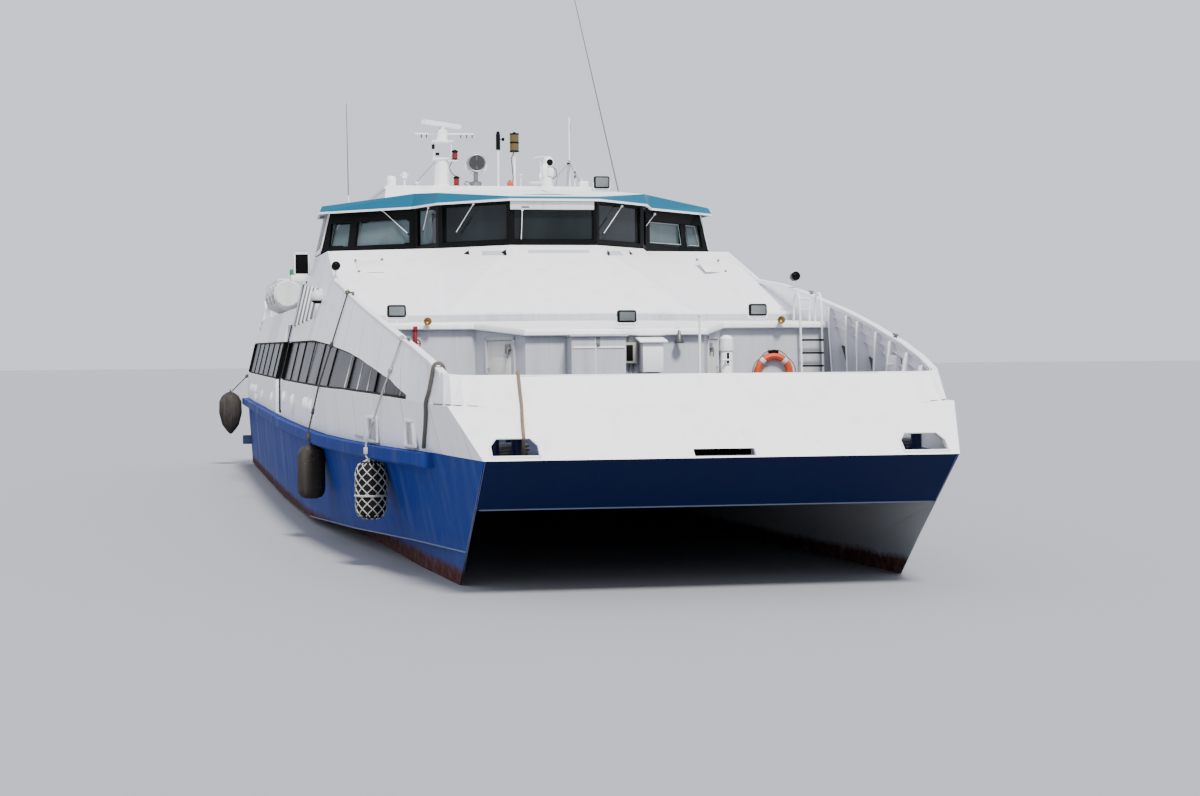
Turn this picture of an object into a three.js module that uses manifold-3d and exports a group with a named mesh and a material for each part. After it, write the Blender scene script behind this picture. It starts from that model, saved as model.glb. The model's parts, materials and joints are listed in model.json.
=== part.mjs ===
// Passenger ferry, a 38.8 m catamaran, in millimetres.
// +X points to the bow, +Y to port, +Z up. The origin is amidships, on the centreline, at the waterline.
import * as THREE from 'three';
import { mergeVertices } from 'three/addons/utils/BufferGeometryUtils.js';
import Module from 'manifold-3d';

const wasm = await Module();
wasm.setup();

// Driving dimensions
const STERN_X = -19400;
const BOW_X = 19400;
const GAP = 0.3;
const RUNNING_GAP = 8;
const LEAN = 0.24;

const SHEER_Z_BOW = 1780;
const SHEER_Z_STERN = 1930;
const BOW_KNUCKLE_Y = 3120;
const STEM_Y = 3105;
const STEM_RADIUS = 12;
const WET_DECK_Z = 1110;
const BILGE_Z = -500;

const SHELL_WALL = 70;
const DECK_WALL = 70;
const CABIN_AFT_X = -18400;
const UPPER_DECK_Z = 4000;
const UPPER_DECK_EDGE_Z = 4150;
const WHEELHOUSE_AFT_X = -1500;
const WING_AFT_X = 900;
const WING_Y = 3925;
const WHEELHOUSE_NECK_Y = 2640;
const WHEELHOUSE_SILL_Z = 5120;
const WHEELHOUSE_TOP_Z = 5960;
const SALOON_AFT_X = -11500;
const SALOON_ROOF_Z = 6780;

const RAIL_HEIGHT = 200;
const RAIL_DEPTH = 170;

// Finishes
const FINISH = {
  hull_blue: { color: 0x2f55b8, roughness: 0.5, metalness: 0.1 },
  bow_navy: { color: 0x15235f, roughness: 0.5, metalness: 0.1 },
  white: { color: 0xe9ecf2, roughness: 0.45, metalness: 0.05 },
  deck_grey: { color: 0x8f979c, roughness: 0.8, metalness: 0.05 },
  panel_grey: { color: 0xc3c7cb, roughness: 0.6, metalness: 0.05 },
  teal: { color: 0x3b94b5, roughness: 0.45, metalness: 0.05 },
  dark_glass: { color: 0x22272b, roughness: 0.1, metalness: 0.0 },
  black: { color: 0x17181a, roughness: 0.5, metalness: 0.0 },
  steel: { color: 0x9a9da0, roughness: 0.4, metalness: 0.8 },
  bronze: { color: 0xa58245, roughness: 0.35, metalness: 0.9 },
  rubber: { color: 0x2b2a28, roughness: 0.9, metalness: 0.0 },
  orange: { color: 0xe2562a, roughness: 0.6, metalness: 0.0 },
  engine: { color: 0x6f7c78, roughness: 0.6, metalness: 0.3 },
  canister: { color: 0xe6e7e4, roughness: 0.4, metalness: 0.0 },
};

// Solids from geometries, and back
function toSolid(geometry) {
  const bare = geometry.clone();
  bare.deleteAttribute('normal');
  bare.deleteAttribute('uv');
  const merged = mergeVertices(bare, 0.001);
  const solid = new wasm.Manifold(new wasm.Mesh({
    numProp: 3,
    vertProperties: new Float32Array(merged.attributes.position.array),
    triVerts: new Uint32Array(merged.index.array),
  }));
  if (solid.volume() < 0) {
    throw new Error('a geometry is inside out');
  }
  return solid;
}

function toGeometry(solid) {
  const mesh = solid.getMesh();
  const geometry = new THREE.BufferGeometry();
  geometry.setAttribute('position', new THREE.BufferAttribute(new Float32Array(mesh.vertProperties), 3));
  geometry.setIndex(new THREE.BufferAttribute(new Uint32Array(mesh.triVerts), 1));
  geometry.computeVertexNormals();
  return geometry;
}

function join(first, ...others) {
  return others.flat().reduce((whole, other) => whole.add(other), first);
}

function cut(first, ...others) {
  return others.flat().reduce((rest, other) => rest.subtract(other), first);
}

// A closed solid through rings of points, every ring with the same number of points
function loft(rings) {
  const count = rings[0].length;
  const positions = rings.flat(2);
  const index = [];
  for (let r = 0; r + 1 < rings.length; r += 1) {
    for (let i = 0; i < count; i += 1) {
      const a = r * count + i;
      const b = r * count + ((i + 1) % count);
      index.push(a, b, b + count, a, b + count, a + count);
    }
  }
  const capTriangles = (ring) => {
    const normal = new THREE.Vector3();
    ring.forEach((p, i) => {
      const q = ring[(i + 1) % count];
      normal.x += (p[1] - q[1]) * (p[2] + q[2]);
      normal.y += (p[2] - q[2]) * (p[0] + q[0]);
      normal.z += (p[0] - q[0]) * (p[1] + q[1]);
    });
    const sizes = [Math.abs(normal.x), Math.abs(normal.y), Math.abs(normal.z)];
    const axis = sizes.indexOf(Math.max(...sizes));
    const [u, v] = [[1, 2], [2, 0], [0, 1]][axis];
    const flat = ring.map((p) => new THREE.Vector2(p[u], p[v]));
    const sign = normal.getComponent(axis) > 0 ? 1 : -1;
    return THREE.ShapeUtils.triangulateShape(flat, []).map((t) => {
      const [a, b, c] = t.map((k) => flat[k]);
      const area = (b.x - a.x) * (c.y - a.y) - (b.y - a.y) * (c.x - a.x);
      return area * sign > 0 ? t : [t[0], t[2], t[1]];
    });
  };
  const last = (rings.length - 1) * count;
  capTriangles(rings[0]).forEach((t) => index.push(t[0], t[2], t[1]));
  capTriangles(rings[rings.length - 1]).forEach((t) => index.push(last + t[0], last + t[1], last + t[2]));
  let volume = 0;
  for (let i = 0; i < index.length; i += 3) {
    const [a, b, c] = [0, 1, 2].map((k) => new THREE.Vector3().fromArray(positions, index[i + k] * 3));
    volume += a.dot(b.cross(c));
  }
  if (volume < 0) {
    for (let i = 0; i < index.length; i += 3) {
      [index[i + 1], index[i + 2]] = [index[i + 2], index[i + 1]];
    }
  }
  const geometry = new THREE.BufferGeometry();
  geometry.setAttribute('position', new THREE.Float32BufferAttribute(positions, 3));
  geometry.setIndex(index);
  return toSolid(geometry);
}

// Prisms: an outline in two axes, carried along the third
function prismX(outlineYZ, x0, x1) {
  return loft([x0, x1].map((x) => outlineYZ.map(([y, z]) => [x, y, z])));
}

function prismY(outlineXZ, y0, y1) {
  return loft([y0, y1].map((y) => outlineXZ.map(([x, z]) => [x, y, z])));
}

function prismZ(outlineXY, z0, z1) {
  return loft([z0, z1].map((z) => outlineXY.map(([x, y]) => [x, y, z])));
}

function box(x0, x1, y0, y1, z0, z1) {
  const geometry = new THREE.BoxGeometry(x1 - x0, y1 - y0, z1 - z0);
  geometry.translate((x0 + x1) / 2, (y0 + y1) / 2, (z0 + z1) / 2);
  return toSolid(geometry);
}

// A round bar from one point to another
function rod(from, to, radius, sides = 8, endRadius = radius) {
  const a = new THREE.Vector3(...from);
  const b = new THREE.Vector3(...to);
  const geometry = new THREE.CylinderGeometry(endRadius, radius, a.distanceTo(b), sides);
  const turn = new THREE.Quaternion().setFromUnitVectors(
    new THREE.Vector3(0, 1, 0), b.clone().sub(a).normalize());
  geometry.applyQuaternion(turn);
  geometry.translate(...a.add(b).multiplyScalar(0.5).toArray());
  return toSolid(geometry);
}

// A turned shape about the vertical axis: profile of radius and height, from axis to axis
function turned(profile, center, sides = 16) {
  const geometry = new THREE.LatheGeometry(profile.map(([r, z]) => new THREE.Vector2(r, z)), sides);
  geometry.rotateX(Math.PI / 2);
  geometry.translate(...center);
  return toSolid(geometry);
}

function mirrored(solid) {
  const geometry = toGeometry(solid);
  geometry.scale(1, -1, 1);
  const index = geometry.index.array;
  for (let i = 0; i < index.length; i += 3) {
    [index[i + 1], index[i + 2]] = [index[i + 2], index[i + 1]];
  }
  return toSolid(geometry);
}

function shifted(solid, x, y, z) {
  const geometry = toGeometry(solid);
  geometry.translate(x, y, z);
  return toSolid(geometry);
}

const flip = ([x, y, z]) => [x, -y, z];
const bothSides = (make) => [make((p) => p), make(flip)];

// Hinge knuckles on a vertical axis, proud of a wall: the leaf's share and the frame's share.
// leafLine and outwards are plan directions, and leafEdge is the leaf's outer corner in plan.
const KNUCKLE = { radius: 12, proud: 14, height: 90, strap: 70, sink: 3 };
function knuckles([edgeX, edgeY], leafLine, outwards, heights) {
  const at = (line, out) => [
    edgeX + leafLine[0] * line + outwards[0] * out, edgeY + leafLine[1] * line + outwards[1] * out,
  ];
  const axis = at(-RUNNING_GAP / 2, KNUCKLE.proud);
  const share = (z, direction) => {
    const strap = [
      at(-RUNNING_GAP / 2, -KNUCKLE.sink), at(-RUNNING_GAP / 2 + direction * KNUCKLE.strap, -KNUCKLE.sink),
      at(-RUNNING_GAP / 2 + direction * KNUCKLE.strap, KNUCKLE.proud), at(-RUNNING_GAP / 2, KNUCKLE.proud),
    ];
    const wall = [at(direction * RUNNING_GAP, -KNUCKLE.sink), ...strap.slice(1, 3),
      at(-RUNNING_GAP / 2, KNUCKLE.proud), at(-RUNNING_GAP / 2, 5)];
    const barrel = rod([...axis, z], [...axis, z + KNUCKLE.height], KNUCKLE.radius, 10);
    return join(barrel, prismZ(wall, z, z + KNUCKLE.height));
  };
  return {
    leaf: heights.map((z) => share(z, 1)),
    frame: heights.map((z) => share(z - KNUCKLE.height - GAP, -1)),
  };
}

const ferry = new THREE.Group();
function place(name, solid, finish) {
  const mesh = new THREE.Mesh(toGeometry(solid), new THREE.MeshStandardMaterial(FINISH[finish]));
  mesh.name = name;
  ferry.add(mesh);
}

// A piece made for starboard (negative y) and its twin for port
function placePair(name, starboardSolid, finish) {
  place(`${name}_starboard`, starboardSolid, finish);
  place(`${name}_port`, mirrored(starboardSolid), finish);
}

function interpolate(table, key, x) {
  let i = 0;
  while (i < table.length - 2 && x > table[i + 1].x) {
    i += 1;
  }
  const part = (x - table[i].x) / (table[i + 1].x - table[i].x);
  return table[i][key] + part * (table[i + 1][key] - table[i][key]);
}

const sheerZ = (x) => SHEER_Z_BOW + ((SHEER_Z_STERN - SHEER_Z_BOW) * (BOW_X - x)) / (BOW_X - STERN_X);

// Side plating: half-breadths at the sheer, the seam and the top edge, and heights of the last two
const SIDE = [
  { x: STERN_X, sheer: 4550, seam: 4550, seamZ: 2660, top: 3955, topZ: WHEELHOUSE_SILL_Z },
  { x: 0, sheer: 4550, seam: 4550, seamZ: 2610, top: 3945, topZ: WHEELHOUSE_SILL_Z },
  { x: 4110, sheer: 4510, seam: 4515, seamZ: 2600, top: 3915, topZ: 5100 },
  { x: 6350, sheer: 4460, seam: 4478, seamZ: 2592, top: 3960, topZ: 4480 },
  { x: 8000, sheer: 4413, seam: 4441, seamZ: 2588, top: 3985, topZ: 4340 },
  { x: 9700, sheer: 4360, seam: 4400, seamZ: 2585, top: 3968, topZ: 4130 },
  { x: 11200, sheer: 4240, seam: 4280, seamZ: 2580, top: 3915, topZ: 3925 },
  { x: 12400, sheer: 4130, seam: 4170, seamZ: 2565, top: 3865, topZ: 3765 },
  { x: 14100, sheer: 3920, seam: 3970, seamZ: 2540, top: 3755, topZ: 3515 },
  { x: 15000, sheer: 3790, seam: 3840, seamZ: 2515, top: 3680, topZ: 3370 },
  { x: 15800, sheer: 3640, seam: 3700, seamZ: 2490, top: 3615, topZ: 3250 },
  { x: 16900, sheer: 3430, seam: 3550, seamZ: 2465, top: 3510, topZ: 3050 },
  { x: 17600, sheer: 3350, seam: 3480, seamZ: 2455, top: 3435, topZ: 2890 },
];
const BOW_SEAM = { x: 18330, y: 3430, z: 2450 };
const BOW_TOP = { x: 17970, y: 3370, z: 2840 };
const BOW_RAKE = 1.3;
const side = (key, x) => interpolate(SIDE, key, x);

// Outer or inner surface of the white shell; inset moves it inwards, and lift carries its open top up,
// first a little along the slope of the plating and then straight
const TOP_EASE = 20;
function shellVolume(inset, lift, sternX, bottomDrop) {
  const topPoints = (x, y, z, lean, rake) => (lift === 0 ? [[x, y, z]] : [
    [x - rake * TOP_EASE, y - lean * TOP_EASE, z + TOP_EASE],
    [x - rake * TOP_EASE, y - lean * lift, z + lift],
  ]);
  const rings = SIDE.map((s) => {
    const x = s.x === STERN_X ? sternX : s.x;
    const lean = (s.seam - s.top) / (s.topZ - s.seamZ);
    return [
      [x, s.sheer - inset, sheerZ(x) + GAP - bottomDrop],
      [x, s.seam - inset, s.seamZ],
      ...topPoints(x, s.top - inset, s.topZ, lean, 0),
    ];
  });
  const rake = inset * BOW_RAKE;
  rings.push([
    [BOW_X - rake, BOW_KNUCKLE_Y - inset, sheerZ(BOW_X) + GAP - bottomDrop],
    [BOW_SEAM.x - rake, BOW_SEAM.y - inset, BOW_SEAM.z],
    ...topPoints(BOW_TOP.x - rake, BOW_TOP.y - inset, BOW_TOP.z, LEAN, BOW_RAKE),
  ]);
  return loft(rings.map((ring) => [
    ...ring.map(([x, y, z]) => [x, -y, z]),
    ...ring.map(([x, y, z]) => [x, y, z]).reverse(),
  ]));
}

const shellOuter = shellVolume(0, 0, STERN_X, 0);
const ROOM_LIFT = 800;
const shellInner = shellVolume(SHELL_WALL, ROOM_LIFT, STERN_X - 50, 20);

// Window band in the side: bottom and top edge of the dark band
const BAND = [
  { x: -19000, bottom: 2660, top: 3510 },
  { x: -2900, bottom: 2615, top: 3440 },
  { x: 1000, bottom: 2610, top: 3420 },
  { x: 5200, bottom: 2600, top: 3410 },
  { x: 7500, bottom: 2590, top: 3350 },
  { x: 9000, bottom: 2585, top: 3300 },
  { x: 10300, bottom: 2582, top: 3230 },
  { x: 11400, bottom: 2580, top: 3160 },
  { x: 12400, bottom: 2565, top: 3070 },
  { x: 13500, bottom: 2550, top: 2940 },
  { x: 14800, bottom: 2520, top: 2770 },
  { x: 15800, bottom: 2495, top: 2560 },
];
const DOOR_FROM_X = -3300;
const DOOR_TO_X = -1100;
const DOOR_TOP_Z = 3800;
const BAND_POST = 120;

function bandOutline(fromX, toX, shrink) {
  const xs = [fromX + shrink, ...BAND.map((b) => b.x).filter((x) => x > fromX && x < toX), toX - shrink];
  const low = xs.map((x) => [x, interpolate(BAND, 'bottom', x) + shrink]);
  const high = xs.map((x) => [x, interpolate(BAND, 'top', x) - shrink]);
  return [...low, ...high.reverse()];
}
const BAND_AFT = [-19000, DOOR_FROM_X - BAND_POST];
const BAND_FORE = [DOOR_TO_X + BAND_POST, 15800];

const bandCutter = ([fromX, toX]) => prismY(bandOutline(fromX, toX, 0), -5000, -2500);
const doorCutter = prismY([
  [DOOR_FROM_X, sheerZ(0) + 30], [DOOR_TO_X, sheerZ(0) + 30],
  [DOOR_TO_X, DOOR_TOP_Z], [DOOR_FROM_X, DOOR_TOP_Z],
], -5000, -2500);

// Fairleads and the scupper slot in the side plating, above the rub rail
const SIDE_OPENINGS = [
  { fromX: 12400, toX: 13050, fromZ: 1840, toZ: 1900 },
  { fromX: 13500, toX: 14150, fromZ: 1840, toZ: 2200 },
  { fromX: 15700, toX: 16200, fromZ: 1840, toZ: 2200 },
];
const sideOpeningCutters = SIDE_OPENINGS.map((o) => box(o.fromX, o.toX, -5000, -2500, o.fromZ, o.toZ));

const shell = shellOuter.subtract(shellInner);
const BOW_SPLIT_X = 17200;
const starboardHalf = box(STERN_X - 100, BOW_SPLIT_X - GAP, -6000, 0, 0, 8000);
const abaftWheelhouse = prismY([
  [STERN_X - 200, 4760], [STERN_X, 4730], [-17400, 4440], [-17300, UPPER_DECK_EDGE_Z],
  [-1350, UPPER_DECK_EDGE_Z], [-1180, 4240], [-790, 4470], [450, 4690], [WING_AFT_X - 10, 4770],
  [WING_AFT_X - 10, 8000], [STERN_X - 200, 8000],
], -6000, 6000);
const sideShell = cut(shell.intersect(starboardHalf), abaftWheelhouse, bandCutter(BAND_AFT),
  bandCutter(BAND_FORE), doorCutter, sideOpeningCutters);
placePair('side_shell', sideShell, 'white');

// Bow bulwark: a lower wall with sharp corners up to the seam, and an upper wall with rounded corners, which
// stands on a ledge. Each row is a place on the way round from the side to the centreline, as the outer face's
// low and high point, and how far in from there the inner face is in plan. Values are for port.
const BOW_TOP_X = 18000;
const BOW_SEAM_X = 18515;
const BOW_WALL = 91;
const SEAM_STEP = 3;
const SEAM_LAP = 20;
const LEDGE_DEPTH = 25;
const bowStart = {
  sheer: side('sheer', BOW_SPLIT_X), seam: side('seam', BOW_SPLIT_X), seamZ: side('seamZ', BOW_SPLIT_X),
  top: side('top', BOW_SPLIT_X), topZ: side('topZ', BOW_SPLIT_X),
};
const LOWER_BOW = [
  {
    low: [BOW_SPLIT_X, bowStart.sheer], high: [BOW_SPLIT_X, bowStart.seam, bowStart.seamZ],
    inward: [0, -SHELL_WALL],
  },
  { low: [17600, 3350], high: [17600, 3480, 2455], inward: [0, -SHELL_WALL] },
  {
    low: [BOW_X, BOW_KNUCKLE_Y], high: [BOW_SEAM.x, BOW_SEAM.y, BOW_SEAM.z], inward: [-BOW_WALL, -SHELL_WALL],
  },
  { low: [BOW_X, 2700], high: [BOW_SEAM_X, 2700, BOW_SEAM.z], inward: [-BOW_WALL, 0] },
  { low: [BOW_X, 0], high: [BOW_SEAM_X, 0, BOW_SEAM.z], inward: [-BOW_WALL, 0] },
].map((row) => ({
  ...row,
  low: [...row.low, sheerZ(row.low[0]) + GAP],
  innerLowZ: sheerZ(row.low[0] + row.inward[0]) + GAP,
}));
const UPPER_BOW = [
  {
    low: [BOW_SPLIT_X, bowStart.seam - SEAM_STEP, bowStart.seamZ - SEAM_LAP],
    high: [BOW_SPLIT_X, bowStart.top, bowStart.topZ],
    inward: [0, -SHELL_WALL],
  },
  { low: [17600, 3477, 2435], high: [17600, 3435, 2890], inward: [0, -SHELL_WALL] },
  { low: [18010, 3442, 2432], high: [17735, 3412, 2868], inward: [-20, -68] },
  { low: [18240, 3367, 2431], high: [17870, 3345, 2852], inward: [-52, -52] },
  { low: [18400, 3217, 2430], high: [17950, 3210, 2843], inward: [-80, -30] },
  { low: [18490, 2960, 2430], high: [17985, 2960, 2840], inward: [-89, -8] },
  { low: [18538, 2500, 2430], high: [BOW_TOP_X, 2500, 2840], inward: [-BOW_WALL, 0] },
  { low: [18538, 0, 2430], high: [BOW_TOP_X, 0, 2840], inward: [-BOW_WALL, 0] },
];
const bowWall = (rows) => loft(rows.map(({ low, high, inward: [dx, dy], innerLowZ = low[2] }) => [
  low, high, [high[0] + dx, high[1] + dy, high[2]], [low[0] + dx, low[1] + dy, innerLowZ],
]));
const bowLedge = prismZ([
  [17800, 3440], [BOW_SEAM.x - 12, BOW_SEAM.y - 12], [BOW_SEAM_X - 8, 2700], [BOW_SEAM_X - 8, 2350],
  [BOW_SEAM_X - 60, 2350], [BOW_SEAM_X - 120, 2900], [18250, 3240], [17980, 3370], [17800, 3400],
], BOW_SEAM.z - LEDGE_DEPTH, BOW_SEAM.z - 1);
const bowHalf = join(bowWall(LOWER_BOW), bowWall(UPPER_BOW), bowLedge);

// Two mooring openings with cut top corners, and a centre slot
const OPENING_CORNER = 90;
const MOORING_OPENINGS = [
  { fromY: -3000, toY: -2390, fromZ: 1835, toZ: 2050, corner: OPENING_CORNER },
  { fromY: 2390, toY: 3000, fromZ: 1835, toZ: 2050, corner: OPENING_CORNER },
  { fromY: -400, toY: 405, fromZ: 1800, toZ: 1890, corner: 10 },
];
const bowCutters = MOORING_OPENINGS.map(({ fromY, toY, fromZ, toZ, corner }) => prismX([
  [fromY, fromZ], [toY, fromZ], [toY, toZ - corner], [toY - corner, toZ],
  [fromY + corner, toZ], [fromY, toZ - corner],
], 18000, 19600));
place('bow_bulwark', cut(join(bowHalf, mirrored(bowHalf)), bowCutters), 'white');

// Hulls: half-breadths along the length, t runs from the transom (0) to the stem (1)
const STEM = { sheer: BOW_X, wet: 18510, knuckle: 17650, bilge: 16350, keel: 14900 };
const HULL = [
  {
    x: 0.0, knuckleZ: 50, outerKnuckle: 4430, under: 4250, outerBilge: 4150,
    keelZ: -600, innerBilge: 2480, innerKnuckle: 2260, wet: 2200,
  },
  {
    x: 0.22, knuckleZ: 50, outerKnuckle: 4430, under: 4250, outerBilge: 4120,
    keelZ: -1250, innerBilge: 2450, innerKnuckle: 2220, wet: 2150,
  },
  {
    x: 0.45, knuckleZ: 50, outerKnuckle: 4420, under: 4180, outerBilge: 4080,
    keelZ: -1600, innerBilge: 2430, innerKnuckle: 2200, wet: 2130,
  },
  {
    x: 0.65, knuckleZ: 120, outerKnuckle: 4330, under: 3850, outerBilge: 3740,
    keelZ: -1600, innerBilge: 2500, innerKnuckle: 2270, wet: 2180,
  },
  {
    x: 0.8, knuckleZ: 300, outerKnuckle: 3970, under: 3520, outerBilge: 3420,
    keelZ: -1600, innerBilge: 2700, innerKnuckle: 2480, wet: 2370,
  },
  {
    x: 0.92, knuckleZ: 440, outerKnuckle: 3480, under: 3330, outerBilge: 3290,
    keelZ: -1560, innerBilge: 2950, innerKnuckle: 2840, wet: 2720,
  },
  {
    x: 1.0, knuckleZ: 500, outerKnuckle: 3117, under: 3117, outerBilge: 3117,
    keelZ: -1500, innerBilge: 3093, innerKnuckle: 3093, wet: 3093,
  },
];
const CHINE_DEPTH = 25;
const KEEL_Y = 3250;
const KEEL_HALF = 60;

const along = (t, stemX) => STERN_X + t * (stemX - STERN_X);
function sideYAtSheer(x) {
  return x > 17600 ? 3350 + ((x - 17600) / (BOW_X - 17600)) * (BOW_KNUCKLE_Y - 3350) : side('sheer', x);
}

// One hull section, as points from the outer sheer round the keel to the inner sheer
function hullRing(row, wetGrow = 0) {
  const last = row.x === 1;
  const keelY = last ? STEM_Y : KEEL_Y - (KEEL_Y - STEM_Y) * row.x;
  const keelHalf = last ? STEM_RADIUS : KEEL_HALF;
  const sheerX = along(row.x, STEM.sheer);
  const wetX = along(row.x, STEM.wet);
  return [
    [sheerX, last ? 3117 : sideYAtSheer(sheerX), sheerZ(sheerX)],
    [along(row.x, STEM.knuckle), row.outerKnuckle, row.knuckleZ],
    [along(row.x, STEM.knuckle) - CHINE_DEPTH, row.under, row.knuckleZ - CHINE_DEPTH],
    [along(row.x, STEM.bilge), row.outerBilge, BILGE_Z],
    [along(row.x, STEM.keel), keelY + keelHalf, row.keelZ],
    [along(row.x, STEM.keel), keelY - keelHalf, row.keelZ],
    [along(row.x, STEM.bilge), row.innerBilge, BILGE_Z],
    [along(row.x, STEM.knuckle), row.innerKnuckle, row.knuckleZ],
    [wetX, row.wet - wetGrow, WET_DECK_Z],
    [sheerX, row.wet - wetGrow, sheerZ(sheerX)],
  ];
}
const HULL_ROWS = HULL.flatMap((row, i) => {
  if (i + 1 === HULL.length) {
    return [row];
  }
  const next = HULL[i + 1];
  const middle = { x: (row.x + next.x) / 2 };
  Object.keys(row).filter((key) => key !== 'x').forEach((key) => {
    middle[key] = (row[key] + next[key]) / 2;
  });
  return [row, middle];
});
const hullPort = loft(HULL_ROWS.map((row) => hullRing(row)));
const hullPortGrown = loft(HULL_ROWS.map((row) => hullRing(row, GAP)));
const hullStarboard = mirrored(hullPort);

// Engine wells open at the deck, each with its engine block under a flush cover
const ENGINE = { fromX: -12400, toX: -9600, innerY: 2700, outerY: 3900, bottomZ: -300, topZ: 1350 };
const engineWell = box(ENGINE.fromX - 300, ENGINE.toX + 300, -ENGINE.outerY - 100, -ENGINE.innerY + 100,
  ENGINE.bottomZ, 2500);
const COVER_DEPTH = 40;
function sheerPlate(x0, x1, y0, y1, fromTop, depth) {
  return loft([x0, x1].map((x) => {
    const top = sheerZ(x) - fromTop;
    return [[x, y0, top], [x, y1, top], [x, y1, top - depth], [x, y0, top - depth]];
  }));
}
const coverPlate = (grow, rise) => sheerPlate(ENGINE.fromX - 400 - grow, ENGINE.toX + 400 + grow,
  -ENGINE.outerY - 200 - grow, ENGINE.outerY + 200 + grow, -rise, COVER_DEPTH + rise - GAP + grow);
const coverSeat = coverPlate(GAP, 100);
place('engine_room_cover', coverPlate(0, 0), 'deck_grey');
const engineBlock = box(ENGINE.fromX, ENGINE.toX, -ENGINE.outerY, -ENGINE.innerY, ENGINE.bottomZ + GAP,
  ENGINE.topZ);

// Bridge deck between the hulls, with the raked front plate and two pairs of bollards
const BOLLARD_X = [15300, 15700];
const BOLLARD_Y = 2150;
const bollards = bothSides((at) => BOLLARD_X.map((x) => (
  rod(at([x, BOLLARD_Y, 1700]), at([x, BOLLARD_Y, 2250]), 70, 10)))).flat();
const bridgeDeck = loft(HULL_ROWS.map((row) => {
  const sheerX = along(row.x, STEM.sheer);
  const wetX = along(row.x, STEM.wet);
  const y = row.wet + (row.x === 1 ? 10 : 30);
  return [
    [wetX, -y, WET_DECK_Z], [wetX, y, WET_DECK_Z], [sheerX, y, sheerZ(sheerX)], [sheerX, -y, sheerZ(sheerX)],
  ];
}));
const betweenStems = STEM_Y - STEM_RADIUS - GAP;
const bridgeRoom = box(STERN_X - 10, BOW_X + 10, -betweenStems, betweenStems, 0, 3000);
place('bridge_deck', cut(join(bridgeDeck, bollards).intersect(bridgeRoom), coverSeat, hullPortGrown,
  mirrored(hullPortGrown)), 'bow_navy');

// Rub rails on the hull sides
const RAIL_X = [STERN_X, -9700, 0, 4110, 6800, 9700, 11200, 12400, 14100, 15000, 15800, 16800];
function hullSideY(x, z) {
  const top = sheerZ(x);
  const t = Math.min(1, (x - STERN_X) / (STEM.knuckle - STERN_X));
  const low = interpolate(HULL, 'outerKnuckle', t);
  const high = sideYAtSheer(x);
  return high + ((top - z) / (top - interpolate(HULL, 'knuckleZ', t))) * (low - high);
}
const rubRail = loft(RAIL_X.map((x) => {
  const top = sheerZ(x) - 5;
  const outer = sideYAtSheer(x) + RAIL_DEPTH;
  const innerTop = hullSideY(x, top) - 250;
  return [
    [x, -innerTop, top], [x, -outer, top], [x, -outer, top - RAIL_HEIGHT + 30],
    [x, -outer + 40, top - RAIL_HEIGHT], [x, -innerTop, top - RAIL_HEIGHT],
  ];
}));
const RUDDER = { x: -18600, bossZ: -720 };
const rudderBoss = rod([RUDDER.x, -KEEL_Y, RUDDER.bossZ], [RUDDER.x, -KEEL_Y, -300], 95, 12);
placePair('hull', cut(join(hullStarboard, rubRail, rudderBoss), engineWell, coverSeat), 'hull_blue');
placePair('engine', engineBlock, 'engine');

// Sloped front roof: named corners of its facets, starboard values are mirrored
const ROOF = {
  wing: [2460, 3925, 5105],
  ledge: [4110, 3915, 5100],
  bayInner: [4210, 2250, 5105],
  bay: [5310, 1950, 5102],
  centre: [6660, 800, 5100],
  crease: [8550, 2210, 3830],
  outer: [8550, 4085, 3830],
  nose: [9350, 800, 3840],
};
const ROOF_WALL = 70;
function slab(points, depth = ROOF_WALL) {
  return loft([points, points.map(([x, y, z]) => [x, y, z - depth])]);
}
const facets = bothSides((at) => [
  slab([at(ROOF.wing), at(ROOF.ledge), at(ROOF.bayInner)]),
  slab([at(ROOF.ledge), at(ROOF.crease), at(ROOF.bay), at(ROOF.bayInner)]),
  slab([at(ROOF.ledge), at(ROOF.outer), at(ROOF.crease)]),
  slab([at(ROOF.bay), at(ROOF.crease), at(ROOF.centre)]),
  slab([at(ROOF.crease), at(ROOF.nose), at(ROOF.centre)]),
]).flat();
const centreFacet = slab([ROOF.centre, ROOF.nose, flip(ROOF.nose), flip(ROOF.centre)]);

// Riser under the facets, and the low roof between it and the bulkhead
const STEP_Z = 3690;
const roofTrim = { wingX: 11000, wingZ: 3620, wingY: 2050, noseX: 12340, noseZ: 3500, noseY: 1440 };
function riser([ax, ay], [bx, by]) {
  return loft([STEP_Z - ROOF_WALL, ROOF.outer[2] - 20].map((z) => [
    [ax, ay, z], [bx, by, z], [bx - ROOF_WALL, by, z], [ax - ROOF_WALL, ay, z],
  ]));
}
const risers = [
  ...bothSides((at) => [
    riser(at(ROOF.outer), at(ROOF.crease)),
    riser(at(ROOF.crease), at(ROOF.nose)),
  ]).flat(),
  riser(ROOF.nose, flip(ROOF.nose)),
];
const stepped = ([x, y]) => [x - ROOF_WALL, y, STEP_Z];
const WING_TRIM_Y = 4200;
const lowRoof = [
  ...bothSides((at) => [
    slab([at(stepped(ROOF.outer)), at([roofTrim.wingX, WING_TRIM_Y, roofTrim.wingZ]),
      at([roofTrim.wingX, roofTrim.wingY, roofTrim.wingZ]), at(stepped(ROOF.crease))]),
    slab([at(stepped(ROOF.crease)), at([roofTrim.wingX, roofTrim.wingY, roofTrim.wingZ]),
      at([roofTrim.noseX, roofTrim.noseY, roofTrim.noseZ]), at(stepped(ROOF.nose))]),
  ]).flat(),
  slab([stepped(ROOF.nose), [roofTrim.noseX, roofTrim.noseY, roofTrim.noseZ],
    [roofTrim.noseX, -roofTrim.noseY, roofTrim.noseZ], flip(stepped(ROOF.nose))]),
];
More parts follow.
